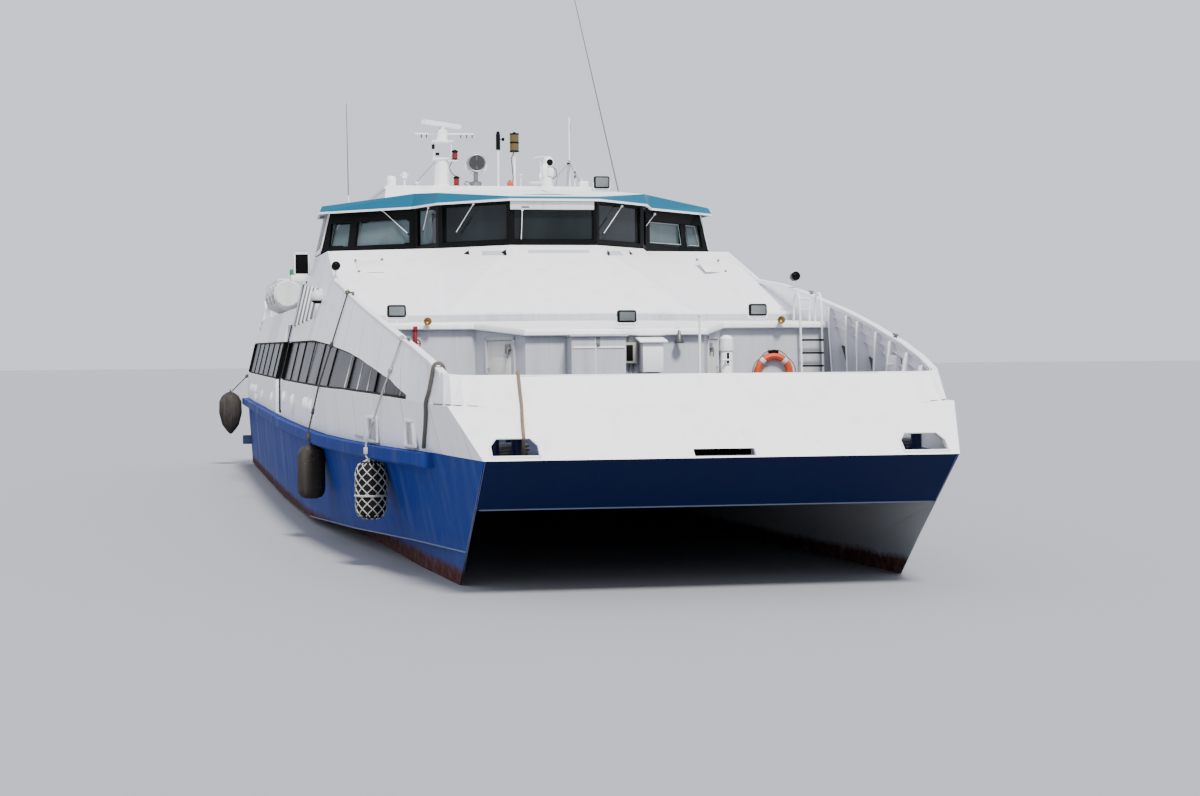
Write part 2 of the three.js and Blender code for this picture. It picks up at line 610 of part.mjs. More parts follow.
const shellRoomHalf = shellVolume(SHELL_WALL + GAP, ROOM_LIFT, STERN_X - 50, 20)
  .intersect(box(-20000, 20000, -6000, 0, 0, 8000));
const shellRoom = join(shellRoomHalf, mirrored(shellRoomHalf));
const ROOF_SEAM_X = 2460 + GAP;
const frontRoof = join(centreFacet, facets, risers, lowRoof)
  .intersect(shellRoom)
  .subtract(box(-5000, ROOF_SEAM_X, -6000, 6000, 0, 8000));
place('front_roof', frontRoof, 'white');

// Upper deck, from the stern to under the wheelhouse
const UPPER_DECK_FORE_X = 6400;
const upperDeck = prismZ([
  [STERN_X + 20, -4800], [4000, -4800], [UPPER_DECK_FORE_X, -3000], [UPPER_DECK_FORE_X, 3000], [4000, 4800],
  [STERN_X + 20, 4800],
], UPPER_DECK_Z - DECK_WALL, UPPER_DECK_Z).intersect(shellRoom);
const STAIR_WELL = { fromX: -17900, toX: -15200, fromY: 2300, toY: 3300 };
const leafInset = SHELL_WALL + 20 + RUNNING_GAP;
const LEAF = 50;
const LEAF_TOP_Z = DOOR_TOP_Z + 30;
const leafY = (z) => -(SIDE[0].seam - leafInset - LEAN * Math.max(0, z - SIDE[1].seamZ - 30));
const DOOR_TRAVEL = 2200;
const doorRunner = box(DOOR_FROM_X - DOOR_TRAVEL - 100, DOOR_TO_X + 60,
  leafY(LEAF_TOP_Z), leafY(LEAF_TOP_Z) + LEAF,
  LEAF_TOP_Z + GAP, UPPER_DECK_Z - 20).intersect(shellRoom);
place('upper_deck', join(upperDeck.subtract(box(STAIR_WELL.fromX, STAIR_WELL.toX, STAIR_WELL.fromY,
  STAIR_WELL.toY, 3000, 5000)), doorRunner, mirrored(doorRunner)), 'deck_grey');

// Foredeck bulkhead in plan, with a doorway in each angled length
const BULKHEAD_PLAN = [
  [roofTrim.wingX, -4400], [roofTrim.wingX, -roofTrim.wingY], [roofTrim.noseX, -roofTrim.noseY],
  [roofTrim.noseX, roofTrim.noseY], [roofTrim.wingX, roofTrim.wingY], [roofTrim.wingX, 4400],
];
const BULKHEAD_SET_BACK = 60;
const bulkheadFront = BULKHEAD_PLAN.map(([x, y]) => [x - BULKHEAD_SET_BACK, y]);
const bulkheadBack = bulkheadFront.map(([x, y]) => [x - SHELL_WALL, y]).reverse();
const lowRoofUnderside = prismY([
  [8000, STEP_Z - ROOF_WALL - GAP - 0.5], [roofTrim.wingX, roofTrim.wingZ - ROOF_WALL - GAP - 0.5],
  [roofTrim.noseX, roofTrim.noseZ - ROOF_WALL - GAP - 0.5], [13000, 3300], [13000, 5000], [8000, 5000],
], -6000, 6000);
const bulkheadFloor = prismY([
  [8000, 0], [13000, 0], [13000, sheerZ(13000) + GAP], [8000, sheerZ(8000) + GAP],
], -6000, 6000);
const glassSlot = shellVolume(SHELL_WALL - 20, ROOM_LIFT, STERN_X - 50, 20)
  .subtract(shellVolume(SHELL_WALL + 22, ROOM_LIFT + 100, STERN_X - 80, 60))
  .intersect(prismY(bandOutline(BAND[0].x, BAND[BAND.length - 1].x, -62), -5000, -2000));
const glassSlots = [glassSlot, mirrored(glassSlot)];
const roofBlank = join(centreFacet, facets, risers, lowRoof);
const bulkheadBlank = cut(prismZ([...bulkheadFront, ...bulkheadBack], 1700, 3700).intersect(shellRoom),
  roofBlank, shifted(roofBlank, 0, 0, -0.5), lowRoofUnderside, bulkheadFloor, glassSlots);

// Door leaf in the angled length: along runs from the outboard hinge side to the nose
const DOOR_WALL_START = new THREE.Vector2(roofTrim.wingX - BULKHEAD_SET_BACK, roofTrim.wingY);
const DOOR_WALL_END = new THREE.Vector2(roofTrim.noseX - BULKHEAD_SET_BACK, roofTrim.noseY);
const doorWallLine = DOOR_WALL_END.clone().sub(DOOR_WALL_START).normalize();
const doorWallOut = new THREE.Vector2(-doorWallLine.y, doorWallLine.x);
function onDoorWall(alongLine, outwards) {
  const p = DOOR_WALL_START.clone().addScaledVector(doorWallLine, alongLine).addScaledVector(doorWallOut, outwards);
  return [p.x, p.y];
}
function doorBlock(from, to, inner, outer, z0, z1) {
  return prismZ([onDoorWall(from, inner), onDoorWall(to, inner), onDoorWall(to, outer), onDoorWall(from, outer)],
    z0, z1);
}
const FORE_DOOR = { from: 380, to: 1120, bottomZ: 1960, topZ: 3330, thickness: 45 };
const foreDoorwayPort = doorBlock(FORE_DOOR.from - RUNNING_GAP, FORE_DOOR.to + RUNNING_GAP, -400, 300,
  FORE_DOOR.bottomZ - RUNNING_GAP, FORE_DOOR.topZ + RUNNING_GAP);
const foreDoorPort = doorBlock(FORE_DOOR.from, FORE_DOOR.to, -FORE_DOOR.thickness, 0, FORE_DOOR.bottomZ,
  FORE_DOOR.topZ);
const foreKnuckles = knuckles(onDoorWall(FORE_DOOR.from, 0), doorWallLine.toArray(), doorWallOut.toArray(),
  [2250, 2900]);
place('foredeck_bulkhead', join(cut(bulkheadBlank, foreDoorwayPort, mirrored(foreDoorwayPort)),
  foreKnuckles.frame, foreKnuckles.frame.map(mirrored)), 'panel_grey');
placePair('foredeck_door', mirrored(join(foreDoorPort, foreKnuckles.leaf)), 'panel_grey');

// Boarding doors, which slide aft inside the side shell
function boardingLeaf() {
  const heights = [sheerZ(STERN_X) + RUNNING_GAP, SIDE[1].seamZ + 30, LEAF_TOP_Z];
  return loft([DOOR_FROM_X - 60, DOOR_TO_X + 60].map((x) => [
    ...heights.map((z) => [x, leafY(z), z]),
    ...[...heights].reverse().map((z) => [x, leafY(z) + LEAF, z]),
  ]));
}
placePair('boarding_door', boardingLeaf(), 'black');

// Side glass, bonded inside the band
function bandGlass([fromX, toX]) {
  const grown = bandOutline(fromX, toX, -60);
  const slabVolume = shellVolume(SHELL_WALL + GAP, ROOM_LIFT, STERN_X - 50, 20)
    .subtract(shellVolume(SHELL_WALL + 20, ROOM_LIFT + 100, STERN_X - 80, 60));
  return slabVolume.intersect(prismY(grown, -5000, -2000));
}
const aftGlass = bandGlass(BAND_AFT);
const foreGlass = bandGlass(BAND_FORE);
placePair('side_glass_aft', aftGlass, 'dark_glass');
placePair('side_glass_fore', foreGlass, 'dark_glass');

// Stern bulkhead of the main cabin with a sliding door on each side of the centre
const STERN_DOOR = { innerY: 700, outerY: 1700, topZ: 3750 };
const sternWall = box(CABIN_AFT_X, CABIN_AFT_X + SHELL_WALL, -4800, 4800, 1700, UPPER_DECK_Z - DECK_WALL - GAP)
  .intersect(shellRoom);
const sternDeck = prismY([
  [STERN_X - 100, 0], [0, 0], [0, sheerZ(0) + GAP], [STERN_X - 100, sheerZ(STERN_X - 100) + GAP],
], -6000, 6000);
const sternDoorway = box(CABIN_AFT_X - 100, CABIN_AFT_X + 200, -STERN_DOOR.outerY, -STERN_DOOR.innerY, 1990,
  STERN_DOOR.topZ);
const sternRunner = box(CABIN_AFT_X - RUNNING_GAP - 45, CABIN_AFT_X + 10, -2800, -600, STERN_DOOR.topZ + 40 + GAP,
  STERN_DOOR.topZ + 85);
place('stern_bulkhead', join(cut(sternWall, sternDeck, sternDoorway, glassSlots), sternRunner), 'white');
place('stern_door', box(CABIN_AFT_X - RUNNING_GAP - 45, CABIN_AFT_X - RUNNING_GAP, -STERN_DOOR.outerY - 40,
  -STERN_DOOR.innerY + 40, sheerZ(STERN_X) + RUNNING_GAP, STERN_DOOR.topZ + 40), 'panel_grey');

// Wheelhouse plan, one side from aft to the centre window: a neck, then the wing with its aft wall
const WHEELHOUSE_PLAN = [
  [WHEELHOUSE_AFT_X, WHEELHOUSE_NECK_Y], [WING_AFT_X, WHEELHOUSE_NECK_Y], [WING_AFT_X, WING_Y], [2460, WING_Y],
  [4210, 2250], [5310, 1950], [6660, 800],
];
const WHEELHOUSE_WALL = 60;
const fullPlan = (half) => [...half.map(([x, y]) => [x, -y]), ...[...half].reverse()];
function offsetOutline(points, distance) {
  const count = points.length;
  return points.map((p, i) => {
    const before = new THREE.Vector2(...points[(i + count - 1) % count]);
    const here = new THREE.Vector2(...p);
    const after = new THREE.Vector2(...points[(i + 1) % count]);
    const d1 = here.clone().sub(before).normalize();
    const d2 = after.clone().sub(here).normalize();
    const n1 = new THREE.Vector2(-d1.y, d1.x);
    const n2 = new THREE.Vector2(-d2.y, d2.x);
    const bisector = n1.clone().add(n2).normalize();
    return here.addScaledVector(bisector, distance / bisector.dot(n1)).toArray();
  });
}
function topPlan(half) {
  const lean = LEAN * (WHEELHOUSE_TOP_Z - WHEELHOUSE_SILL_Z);
  return half.map(([x, y]) => (y === WING_Y ? [x, y - lean] : [x, y]));
}
function wheelhouseVolume(inset, z0, z1) {
  const low = offsetOutline(fullPlan(WHEELHOUSE_PLAN), inset);
  const high = offsetOutline(fullPlan(topPlan(WHEELHOUSE_PLAN)), inset);
  const at = (z) => low.map(([x, y], i) => {
    const part = (z - WHEELHOUSE_SILL_Z) / (WHEELHOUSE_TOP_Z - WHEELHOUSE_SILL_Z);
    return [x + part * (high[i][0] - x), y + part * (high[i][1] - y), z];
  });
  return loft([at(z0), at(z1)]);
}

// Window openings: each wall length gets panes, as fractions of its length
const PANE_LOW = WHEELHOUSE_SILL_Z + 70;
const PANE_HIGH = WHEELHOUSE_TOP_Z - 90;
const PANES = [
  { wall: 2, low: 5250, high: 5710, spans: [[0.14, 0.86]] },
  { wall: 3, low: 5250, high: 5710, spans: [[0.08, 0.3], [0.38, 0.94]] },
  { wall: 4, low: PANE_LOW, high: PANE_HIGH, spans: [[0.08, 0.9]] },
  { wall: 5, low: PANE_LOW, high: PANE_HIGH, spans: [[0.06, 0.95]] },
];
function paneCutter(wall, [from, to], z0, z1) {
  const [ax, ay] = WHEELHOUSE_PLAN[wall];
  const [bx, by] = WHEELHOUSE_PLAN[wall + 1];
  const direction = new THREE.Vector2(bx - ax, by - ay);
  const normal = new THREE.Vector2(-direction.y, direction.x).normalize();
  const at = (part, offset) => [
    ax + direction.x * part + normal.x * offset, -(ay + direction.y * part + normal.y * offset),
  ];
  return prismZ([at(from, -450), at(to, -450), at(to, 300), at(from, 300)], z0, z1);
}
const paneCutters = PANES.flatMap(({ wall, low, high, spans }) => spans.flatMap((span) => {
  const one = paneCutter(wall, span, low, high);
  return [one, mirrored(one)];
}));
paneCutters.push(box(6000, 7000, -740, 740, PANE_LOW, PANE_HIGH));

const wheelhouseSolid = (inset) => wheelhouseVolume(inset, UPPER_DECK_Z - 100, WHEELHOUSE_TOP_Z + 100);
const level = (x0, z0, z1) => box(x0, 9000, -6000, 6000, z0, z1);
const wheelhouseWalls = wheelhouseSolid(0).subtract(wheelhouseSolid(WHEELHOUSE_WALL));
const wheelhouseRing = wheelhouseWalls.intersect(level(-3000, WHEELHOUSE_SILL_Z + GAP, WHEELHOUSE_TOP_Z));
const wallsToDeck = wheelhouseWalls.intersect(box(-3000, WING_AFT_X + WHEELHOUSE_WALL, -6000, 6000,
  UPPER_DECK_Z + GAP, WHEELHOUSE_SILL_Z + 40)).intersect(shellRoom);
const WHEELHOUSE_DOOR = { fromY: -3500, toY: -2800, bottomZ: 4070, topZ: 5850 };
const wheelhouseDoorway = box(WING_AFT_X - 200, WING_AFT_X + 200, WHEELHOUSE_DOOR.fromY - RUNNING_GAP,
  WHEELHOUSE_DOOR.toY + RUNNING_GAP, WHEELHOUSE_DOOR.bottomZ - RUNNING_GAP, WHEELHOUSE_DOOR.topZ + RUNNING_GAP);
const saloonPassage = box(WHEELHOUSE_AFT_X - 200, WHEELHOUSE_AFT_X + 200, -450, 450, UPPER_DECK_Z - 100, 5900);
const wheelhouseKnuckles = knuckles([WING_AFT_X, WHEELHOUSE_DOOR.fromY], [0, 1], [-1, 0], [4400, 5400]);
place('wheelhouse', join(cut(join(wheelhouseRing, wallsToDeck), paneCutters, wheelhouseDoorway,
  mirrored(wheelhouseDoorway), saloonPassage), wheelhouseKnuckles.frame, wheelhouseKnuckles.frame.map(mirrored)),
'black');
placePair('wheelhouse_door', join(box(WING_AFT_X, WING_AFT_X + 45, WHEELHOUSE_DOOR.fromY, WHEELHOUSE_DOOR.toY,
  WHEELHOUSE_DOOR.bottomZ, WHEELHOUSE_DOOR.topZ), wheelhouseKnuckles.leaf), 'white');
const glassRing = wheelhouseSolid(WHEELHOUSE_WALL + GAP)
  .subtract(wheelhouseSolid(WHEELHOUSE_WALL + 15))
  .intersect(level(WING_AFT_X + 150, PANE_LOW - 40, PANE_HIGH + 40));
place('wheelhouse_glass', glassRing, 'dark_glass');

// Wheelhouse roof: the drooping brim, its teal face leaning in, and the white top with its ridge.
// Each row gives the height of the face's top, of the white top inside it and the ridge's point
const BRIM = [
  { x: WHEELHOUSE_AFT_X, y: 2720, top: 6180, inner: 6270, ridge: [WHEELHOUSE_AFT_X, 6300] },
  { x: WING_AFT_X - 40, y: 2720, top: 6180, inner: 6270, ridge: [1460, 6300] },
  { x: WING_AFT_X - 40, y: 3880, top: 6060, inner: 6110, ridge: [1700, 6300] },
  { x: 2560, y: 3960, top: 6055, inner: 6105, ridge: [2500, 6290] },
  { x: 4330, y: 2330, top: 6190, inner: 6240, ridge: [4100, 6270] },
  { x: 5420, y: 2010, top: 6130, inner: 6190, ridge: [5200, 6210] },
  { x: 6760, y: 840, top: 5985, inner: 6050, ridge: [6160, 6070] },
];
const BRIM_DROOP = 35;
const BRIM_LOW_Z = 5905;
const BRIM_LIP_Z = 5935;
const BRIM_LEAN = 60;
const BRIM_TO_CROWN = 600;
const RIDGE_HALF = 60;
const brimOuter = fullPlan(BRIM.map((b) => [b.x, b.y]));
const brimRows = [...BRIM, ...[...BRIM].reverse()];
const brimRing = (inset, height) => offsetOutline(brimOuter, inset).map(([x, y], i) => [
  brimRows[i].x === WHEELHOUSE_AFT_X ? WHEELHOUSE_AFT_X : x, y, height(brimRows[i]),
]);
const ridgeRing = brimOuter.map(([, y], i) => {
  const [x, z] = brimRows[i].ridge;
  return [x, Math.sign(y) * RIDGE_HALF, z];
});
const wheelhouseRoof = loft([
  brimRing(BRIM_DROOP, () => WHEELHOUSE_TOP_Z + GAP),
  brimRing(0, () => BRIM_LOW_Z),
  brimRing(0, () => BRIM_LIP_Z),
  brimRing(BRIM_LEAN, (b) => b.top),
  brimRing(BRIM_TO_CROWN, (b) => b.inner),
  ridgeRing,
]);
const WHIPS = [
  { from: [1600, -3300, 6060], to: [1600, -3330, 8190], radius: 14 },
  { from: [2000, 2220, 6120], to: [2000, 1000, 11500], radius: 16 },
];
place('wheelhouse_roof', join(wheelhouseRoof, WHIPS.map((w) => rod(w.from, w.to, w.radius, 6, 6))), 'teal');

// Upper saloon abaft the wheelhouse
const SALOON = { halfLow: 2650, halfHigh: 2230, wall: 60, roof: 80 };
const SALOON_FORE_X = WHEELHOUSE_AFT_X - 2 * GAP;
const saloonOutline = (inset, z0, z1) => {
  const lean = (SALOON.halfLow - SALOON.halfHigh) / (SALOON_ROOF_Z - UPPER_DECK_Z);
  const half = (z) => SALOON.halfLow - inset - lean * (z - UPPER_DECK_Z);
  return [[-half(z0), z0], [half(z0), z0], [half(z1), z1], [-half(z1), z1]];
};
const saloonBody = prismX(saloonOutline(0, UPPER_DECK_Z + GAP, SALOON_ROOF_Z - SALOON.roof),
  SALOON_AFT_X, SALOON_FORE_X);
const saloonRoom = prismX(saloonOutline(SALOON.wall, UPPER_DECK_Z - 100, SALOON_ROOF_Z + 100),
  SALOON_AFT_X + SALOON.wall, SALOON_FORE_X - SALOON.wall);
const SALOON_WINDOWS = [-10900, -9500, -8100, -6700, -5300, -3900].map((x) => ({ fromX: x, toX: x + 1150 }));
const SALOON_WINDOW_Z = [4850, 5650];
const saloonWindowCutters = SALOON_WINDOWS.map((w) => box(w.fromX, w.toX, -4000, 4000, ...SALOON_WINDOW_Z));
const SALOON_DOOR = { fromY: -450, toY: 450, bottomZ: 4070, topZ: 6050 };
const saloonDoorway = box(SALOON_AFT_X - 200, SALOON_AFT_X + 200, SALOON_DOOR.fromY - RUNNING_GAP,
  SALOON_DOOR.toY + RUNNING_GAP, SALOON_DOOR.bottomZ - RUNNING_GAP, SALOON_DOOR.topZ + RUNNING_GAP);
const saloonKnuckles = knuckles([SALOON_AFT_X, SALOON_DOOR.fromY], [0, 1], [-1, 0], [4400, 5500]);
place('upper_saloon', join(cut(saloonBody, saloonRoom, saloonWindowCutters, saloonDoorway, saloonPassage),
  saloonKnuckles.frame), 'white');
place('upper_saloon_door', join(box(SALOON_AFT_X, SALOON_AFT_X + 45, SALOON_DOOR.fromY, SALOON_DOOR.toY,
  SALOON_DOOR.bottomZ, SALOON_DOOR.topZ), saloonKnuckles.leaf), 'panel_grey');
const saloonGlassVolume = prismX(saloonOutline(SALOON.wall + GAP, SALOON_WINDOW_Z[0] - 40, SALOON_WINDOW_Z[1] + 40),
  SALOON_WINDOWS[0].fromX - 60, SALOON_WINDOWS[5].toX + 60)
  .subtract(prismX(saloonOutline(SALOON.wall + 15, 4000, 6600), -12000, 0));
placePair('upper_saloon_glass', saloonGlassVolume.intersect(box(-13000, 0, -4000, 0, 4000, 7000)), 'dark_glass');

// Saloon roof, with the poles, aerials and lamps that stand on it
const saloonRoof = loft([
  { z: SALOON_ROOF_Z - SALOON.roof + GAP, grow: 60 },
  { z: SALOON_ROOF_Z - 25, grow: 60 },
  { z: SALOON_ROOF_Z, grow: 10 },
].map(({ z, grow }) => {
  const half = SALOON.halfHigh + grow - 20;
  return [
    [SALOON_AFT_X - grow, -half, z], [SALOON_FORE_X, -half, z],
    [SALOON_FORE_X, half, z], [SALOON_AFT_X - grow, half, z],
  ];
}));
const ROOF_POLES = [
  { x: -1900, y: 620, top: 7600, radius: 28 },
  { x: -1900, y: 260, top: 7620, radius: 24 },
  { x: -2100, y: 1880, top: 8360, radius: 18 },
  { x: -2300, y: 1440, top: 7250, radius: 80 },
  { x: -1800, y: -1810, top: 6980, radius: 20 },
];
const poles = ROOF_POLES.map((p) => rod([p.x, p.y, SALOON_ROOF_Z - 20], [p.x, p.y, p.top], p.radius));
const ROOF_HEADS = [
  { x: -1900, y: 620, bottom: 7560, height: 400, radius: 95 },
  { x: -1900, y: 260, bottom: 7600, height: 400, radius: 45 },
  { x: -2300, y: 1440, bottom: 7200, height: 300, radius: 110 },
  { x: -1800, y: -1810, bottom: 6960, height: 130, radius: 60 },
  { x: -1800, y: -2100, bottom: SALOON_ROOF_Z - 10, height: 230, radius: 100 },
];
const heads = ROOF_HEADS.map((h) => turned(
  [[0, 0], [h.radius, 0], [h.radius, h.height * 0.8], [h.radius * 0.6, h.height], [0, h.height]],
  [h.x, h.y, h.bottom], 10));
place('upper_saloon_roof', join(saloonRoof, poles, heads), 'white');

// Radar mast: a column, a cage of four posts, a platform with the gearbox, and a yard
const MAST = { x: -2200, y: -945 };
const MAST_PLATFORM_Z = 7780;
const GEARBOX_TOP_Z = 8050;
const cageCorners = [[-150, -190], [-150, 190], [150, -190], [150, 190]];
const mastBody = join(
  turned([[0, 0], [210, 0], [180, 70], [165, 650], [0, 650]], [MAST.x, MAST.y, SALOON_ROOF_Z + GAP], 12),
  box(MAST.x - 190, MAST.x + 190, MAST.y - 220, MAST.y + 220, 7400, 7430),
  ...cageCorners.map(([dx, dy]) => (
    rod([MAST.x + dx, MAST.y + dy, 7410], [MAST.x + dx, MAST.y + dy, MAST_PLATFORM_Z + 10], 16, 6))),
  box(MAST.x - 210, MAST.x + 210, MAST.y - 235, MAST.y + 235, MAST_PLATFORM_Z, MAST_PLATFORM_Z + 25),
  rod([MAST.x, MAST.y, MAST_PLATFORM_Z + 10], [MAST.x, MAST.y, GEARBOX_TOP_Z], 130, 12),
  rod([MAST.x, -1530, 7965], [MAST.x, -240, 7965], 18, 6),
);
place('radar_mast', mastBody, 'white');
const SCANNER = {
  halfLength: 700, halfWidth: 60, bottomZ: GEARBOX_TOP_Z + 75, topZ: GEARBOX_TOP_Z + 170, turn: -0.709,
};
const scannerOutline = [[-1, -1], [1, -1], [1, 1], [-1, 1]].map(([l, w]) => {
  const [u, v] = [l * SCANNER.halfLength, w * SCANNER.halfWidth];
  return [
    MAST.x + u * Math.cos(SCANNER.turn) - v * Math.sin(SCANNER.turn),
    MAST.y + u * Math.sin(SCANNER.turn) + v * Math.cos(SCANNER.turn),
  ];
});
place('radar_scanner', join(
  rod([MAST.x, MAST.y, GEARBOX_TOP_Z + GAP], [MAST.x, MAST.y, SCANNER.bottomZ + 20], 60, 10),
  prismZ(scannerOutline, SCANNER.bottomZ, SCANNER.topZ),
), 'white');

// Searchlight on its drum and stem
const SEARCHLIGHT = { x: -1950, y: -230, z: 7300 };
place('searchlight', join(
  rod([SEARCHLIGHT.x, SEARCHLIGHT.y, SALOON_ROOF_Z + GAP], [SEARCHLIGHT.x, SEARCHLIGHT.y, 6880], 125, 12),
  rod([SEARCHLIGHT.x, SEARCHLIGHT.y, 6860], [SEARCHLIGHT.x, SEARCHLIGHT.y, 7150], 50, 10),
  rod([SEARCHLIGHT.x - 170, SEARCHLIGHT.y, SEARCHLIGHT.z], [SEARCHLIGHT.x + 180, SEARCHLIGHT.y, SEARCHLIGHT.z],
    190, 14, 200),
), 'steel');

// Side light screens on shelves, set on the raked edge of the side plating
const SCREEN = { fromX: -250, toX: 250, shelfZ: 4690, boxZ: 4780, topZ: 5250 };
const rakedEdgeZ = (x) => 4470 + ((x + 790) * (4690 - 4470)) / (450 + 790);
placePair('side_light_screen', join(
  box(SCREEN.fromX, SCREEN.toX, -4380, -4000, SCREEN.shelfZ, SCREEN.boxZ),
  box(SCREEN.fromX + 50, SCREEN.toX - 50, -4300, -4010, SCREEN.boxZ - 10, SCREEN.topZ),
  prismY([
    [SCREEN.fromX, rakedEdgeZ(SCREEN.fromX) + GAP], [SCREEN.toX, rakedEdgeZ(SCREEN.toX) + GAP],
    [SCREEN.toX, SCREEN.shelfZ + 10], [SCREEN.fromX, SCREEN.shelfZ + 10],
  ], -4060, -4010),
), 'black');

// Life raft canisters on cradles at the deck edge
const RAFT = { y: -4100, z: 4590, radius: 330, length: 1200 };
function liferaft(x) {
  const profile = [
    [0, 0], [RAFT.radius - 40, 0], [RAFT.radius, 40], [RAFT.radius, RAFT.length - 40],
    [RAFT.radius - 40, RAFT.length], [0, RAFT.length],
  ];
  const barrel = new THREE.LatheGeometry(profile.map(([r, z]) => new THREE.Vector2(r, z)), 16);
  barrel.rotateZ(-Math.PI / 2);
  barrel.translate(x, RAFT.y, RAFT.z);
  const feet = [200, 900].map((dx) => prismX([
    [-4090, UPPER_DECK_Z + GAP], [-3720, UPPER_DECK_Z + GAP], [-3800, 4450], [-4380, 4450], [-4380, 4320], [-4090, 4180],
  ], x + dx, x + dx + 80));
  return join(toSolid(barrel), feet);
}
const RAFT_X = [-7500, -9000, -10500];
const raftRunner = box(RAFT_X[2], RAFT_X[0] + RAFT.length, -3900, -3780, UPPER_DECK_Z + GAP, UPPER_DECK_Z + 80);
placePair('liferafts', join(raftRunner, RAFT_X.map(liferaft)), 'canister');

// Guard rail of the upper deck: its route in plan from the centre of the stern to the wheelhouse, one side
const RAIL_ROUTE = [
  [-18900, 20], [-18900, -3940], [-17250, -3940], [-17250, -4060],
  [-11100, -4060], [-11100, -3640], [-1300, -3640],
];
const RAIL_LEVELS = [4500, 4800, 5080];
const RAIL_POST_SPACING = 1600;
const railLegs = RAIL_ROUTE.slice(1).map((to, i) => ({ from: RAIL_ROUTE[i], to }));
const deckRail = join(...railLegs.flatMap(({ from, to }, leg) => {
  const length = Math.hypot(to[0] - from[0], to[1] - from[1]);
  const bays = Math.max(1, Math.round(length / RAIL_POST_SPACING));
  const posts = Array.from({ length: bays }, (_, i) => {
    const part = (i + 1) / bays;
    const [x, y] = [from[0] + part * (to[0] - from[0]), from[1] + part * (to[1] - from[1])];
    return rod([x, y, UPPER_DECK_Z + GAP], [x, y, RAIL_LEVELS[2]], 22 - leg * 0.1, 6);
  });
  const rails = RAIL_LEVELS.map((z) => rod([...from, z], [...to, z], 20 - leg * 0.1, 6));
  return [...posts, ...rails];
}));
place('guard_rail', join(deckRail, mirrored(deckRail)), 'white');

// Stairs from the stern deck to the upper deck, port side
const stairTreads = Array.from({ length: 8 }, (_, i) => box(-17700 + i * 300, -17400 + i * 300, 2400, 3200,
  2100 + i * 240, 2130 + i * 240));
const stairFoot = (x) => [x, sheerZ(x) + GAP];
const STAIR_HEAD_X = STAIR_WELL.toX - GAP;
const stairSides = [2370, 3200].map((y) => prismY([
  stairFoot(-17900), stairFoot(-17650), [STAIR_HEAD_X, UPPER_DECK_Z - 120], [STAIR_HEAD_X, UPPER_DECK_Z - 10],
  [STAIR_HEAD_X - 250, UPPER_DECK_Z - 10],
], y, y + 30));
place('stairs', join(stairSides[0], stairTreads, stairSides[1]), 'panel_grey');

// Helm console and two chairs, seen through the wheelhouse glass
const helmConsole = prismY([
  [3700, UPPER_DECK_Z + GAP], [5400, UPPER_DECK_Z + GAP], [5500, 5000], [4800, 5080], [4700, 4060], [3700, 4060],
], -1500, 1500);
const helmChair = join(
  rod([3900, -650, UPPER_DECK_Z + GAP], [3900, -650, 4600], 50, 8),
  box(3620, 4150, -930, -370, 4580, 4720),
  box(3560, 3680, -930, -370, 4700, 5400),
);
place('helm_station', join(helmConsole, helmChair, mirrored(helmChair)), 'black');

// Main cabin seats, rows on rails seen through the side glass, in a group abaft the boarding doors and one forward
const SEAT_GROUPS = [
  { name: 'cabin_seats_aft', fromX: -14500, rows: 9 },
  { name: 'cabin_seats_fore', fromX: 1250, rows: 8 },
];
const SEAT_PITCH = 1050;
const SEAT_Y = { inner: -2750, outer: -4150 };
SEAT_GROUPS.forEach(({ name, fromX, rows }) => {
  const middle = (SEAT_Y.inner + SEAT_Y.outer) / 2;
  const at = Array.from({ length: rows }, (_, i) => fromX + i * SEAT_PITCH);
  const seats = at.map((x) => prismY([
    [x, 2300], [x + 520, 2300], [x + 520, 2420], [x + 120, 2420], [x + 40, 3080], [x - 60, 3080],
  ], SEAT_Y.outer, SEAT_Y.inner));
  const supports = at.map((x) => prismY([
    [x + 100, sheerZ(x) + 60], [x + 400, sheerZ(x) + 60], [x + 400, 2320], [x + 100, 2320],
  ], middle - 60, middle + 60));
  const rail = sheerPlate(fromX, at[rows - 1] + 500, middle - 90, middle + 90, -70, 70 - GAP);
  placePair(name, join(rail, supports, seats), 'black');
});

// Foredeck gear: locker, lifebuoy and windlass
const lockerBack = roofTrim.noseX - BULKHEAD_SET_BACK + GAP;
const LOCKER = { fromY: -780, toY: 80, topZ: 3380 };
function standing(x0, x1, y0, y1, topZ) {
  return prismY([[x0, sheerZ(x0) + GAP], [x1, sheerZ(x1) + GAP], [x1, topZ], [x0, topZ]], y0, y1);
}
const LID_SET_FORWARD = 75;
const lidSeat = box(lockerBack, lockerBack + LID_SET_FORWARD - GAP, LOCKER.fromY, LOCKER.toY, LOCKER.topZ - 20,
  LOCKER.topZ + 35);
place('foredeck_locker', join(standing(lockerBack, lockerBack + 420, LOCKER.fromY, LOCKER.toY, LOCKER.topZ),
  lidSeat), 'panel_grey');
place('foredeck_locker_lid', box(lockerBack + LID_SET_FORWARD, lockerBack + 470, LOCKER.fromY - 30, LOCKER.toY + 30,
  LOCKER.topZ + RUNNING_GAP, LOCKER.topZ + 40), 'panel_grey');
const BUOY = { y: 2930, z: 2790, radius: 270, tube: 60 };
const buoyRing = new THREE.TorusGeometry(BUOY.radius, BUOY.tube, 8, 24);
buoyRing.rotateY(Math.PI / 2);
buoyRing.translate(roofTrim.wingX - BULKHEAD_SET_BACK + BUOY.tube + GAP, BUOY.y, BUOY.z);
place('lifebuoy', toSolid(buoyRing), 'orange');
place('windlass', join(
  sheerPlate(15000, 15900, -450, 450, -40, 40 - GAP),
  box(15150, 15700, -120, 120, 1820, 2250),
  rod([15420, -420, 2150], [15420, 420, 2150], 160, 12),
), 'steel');

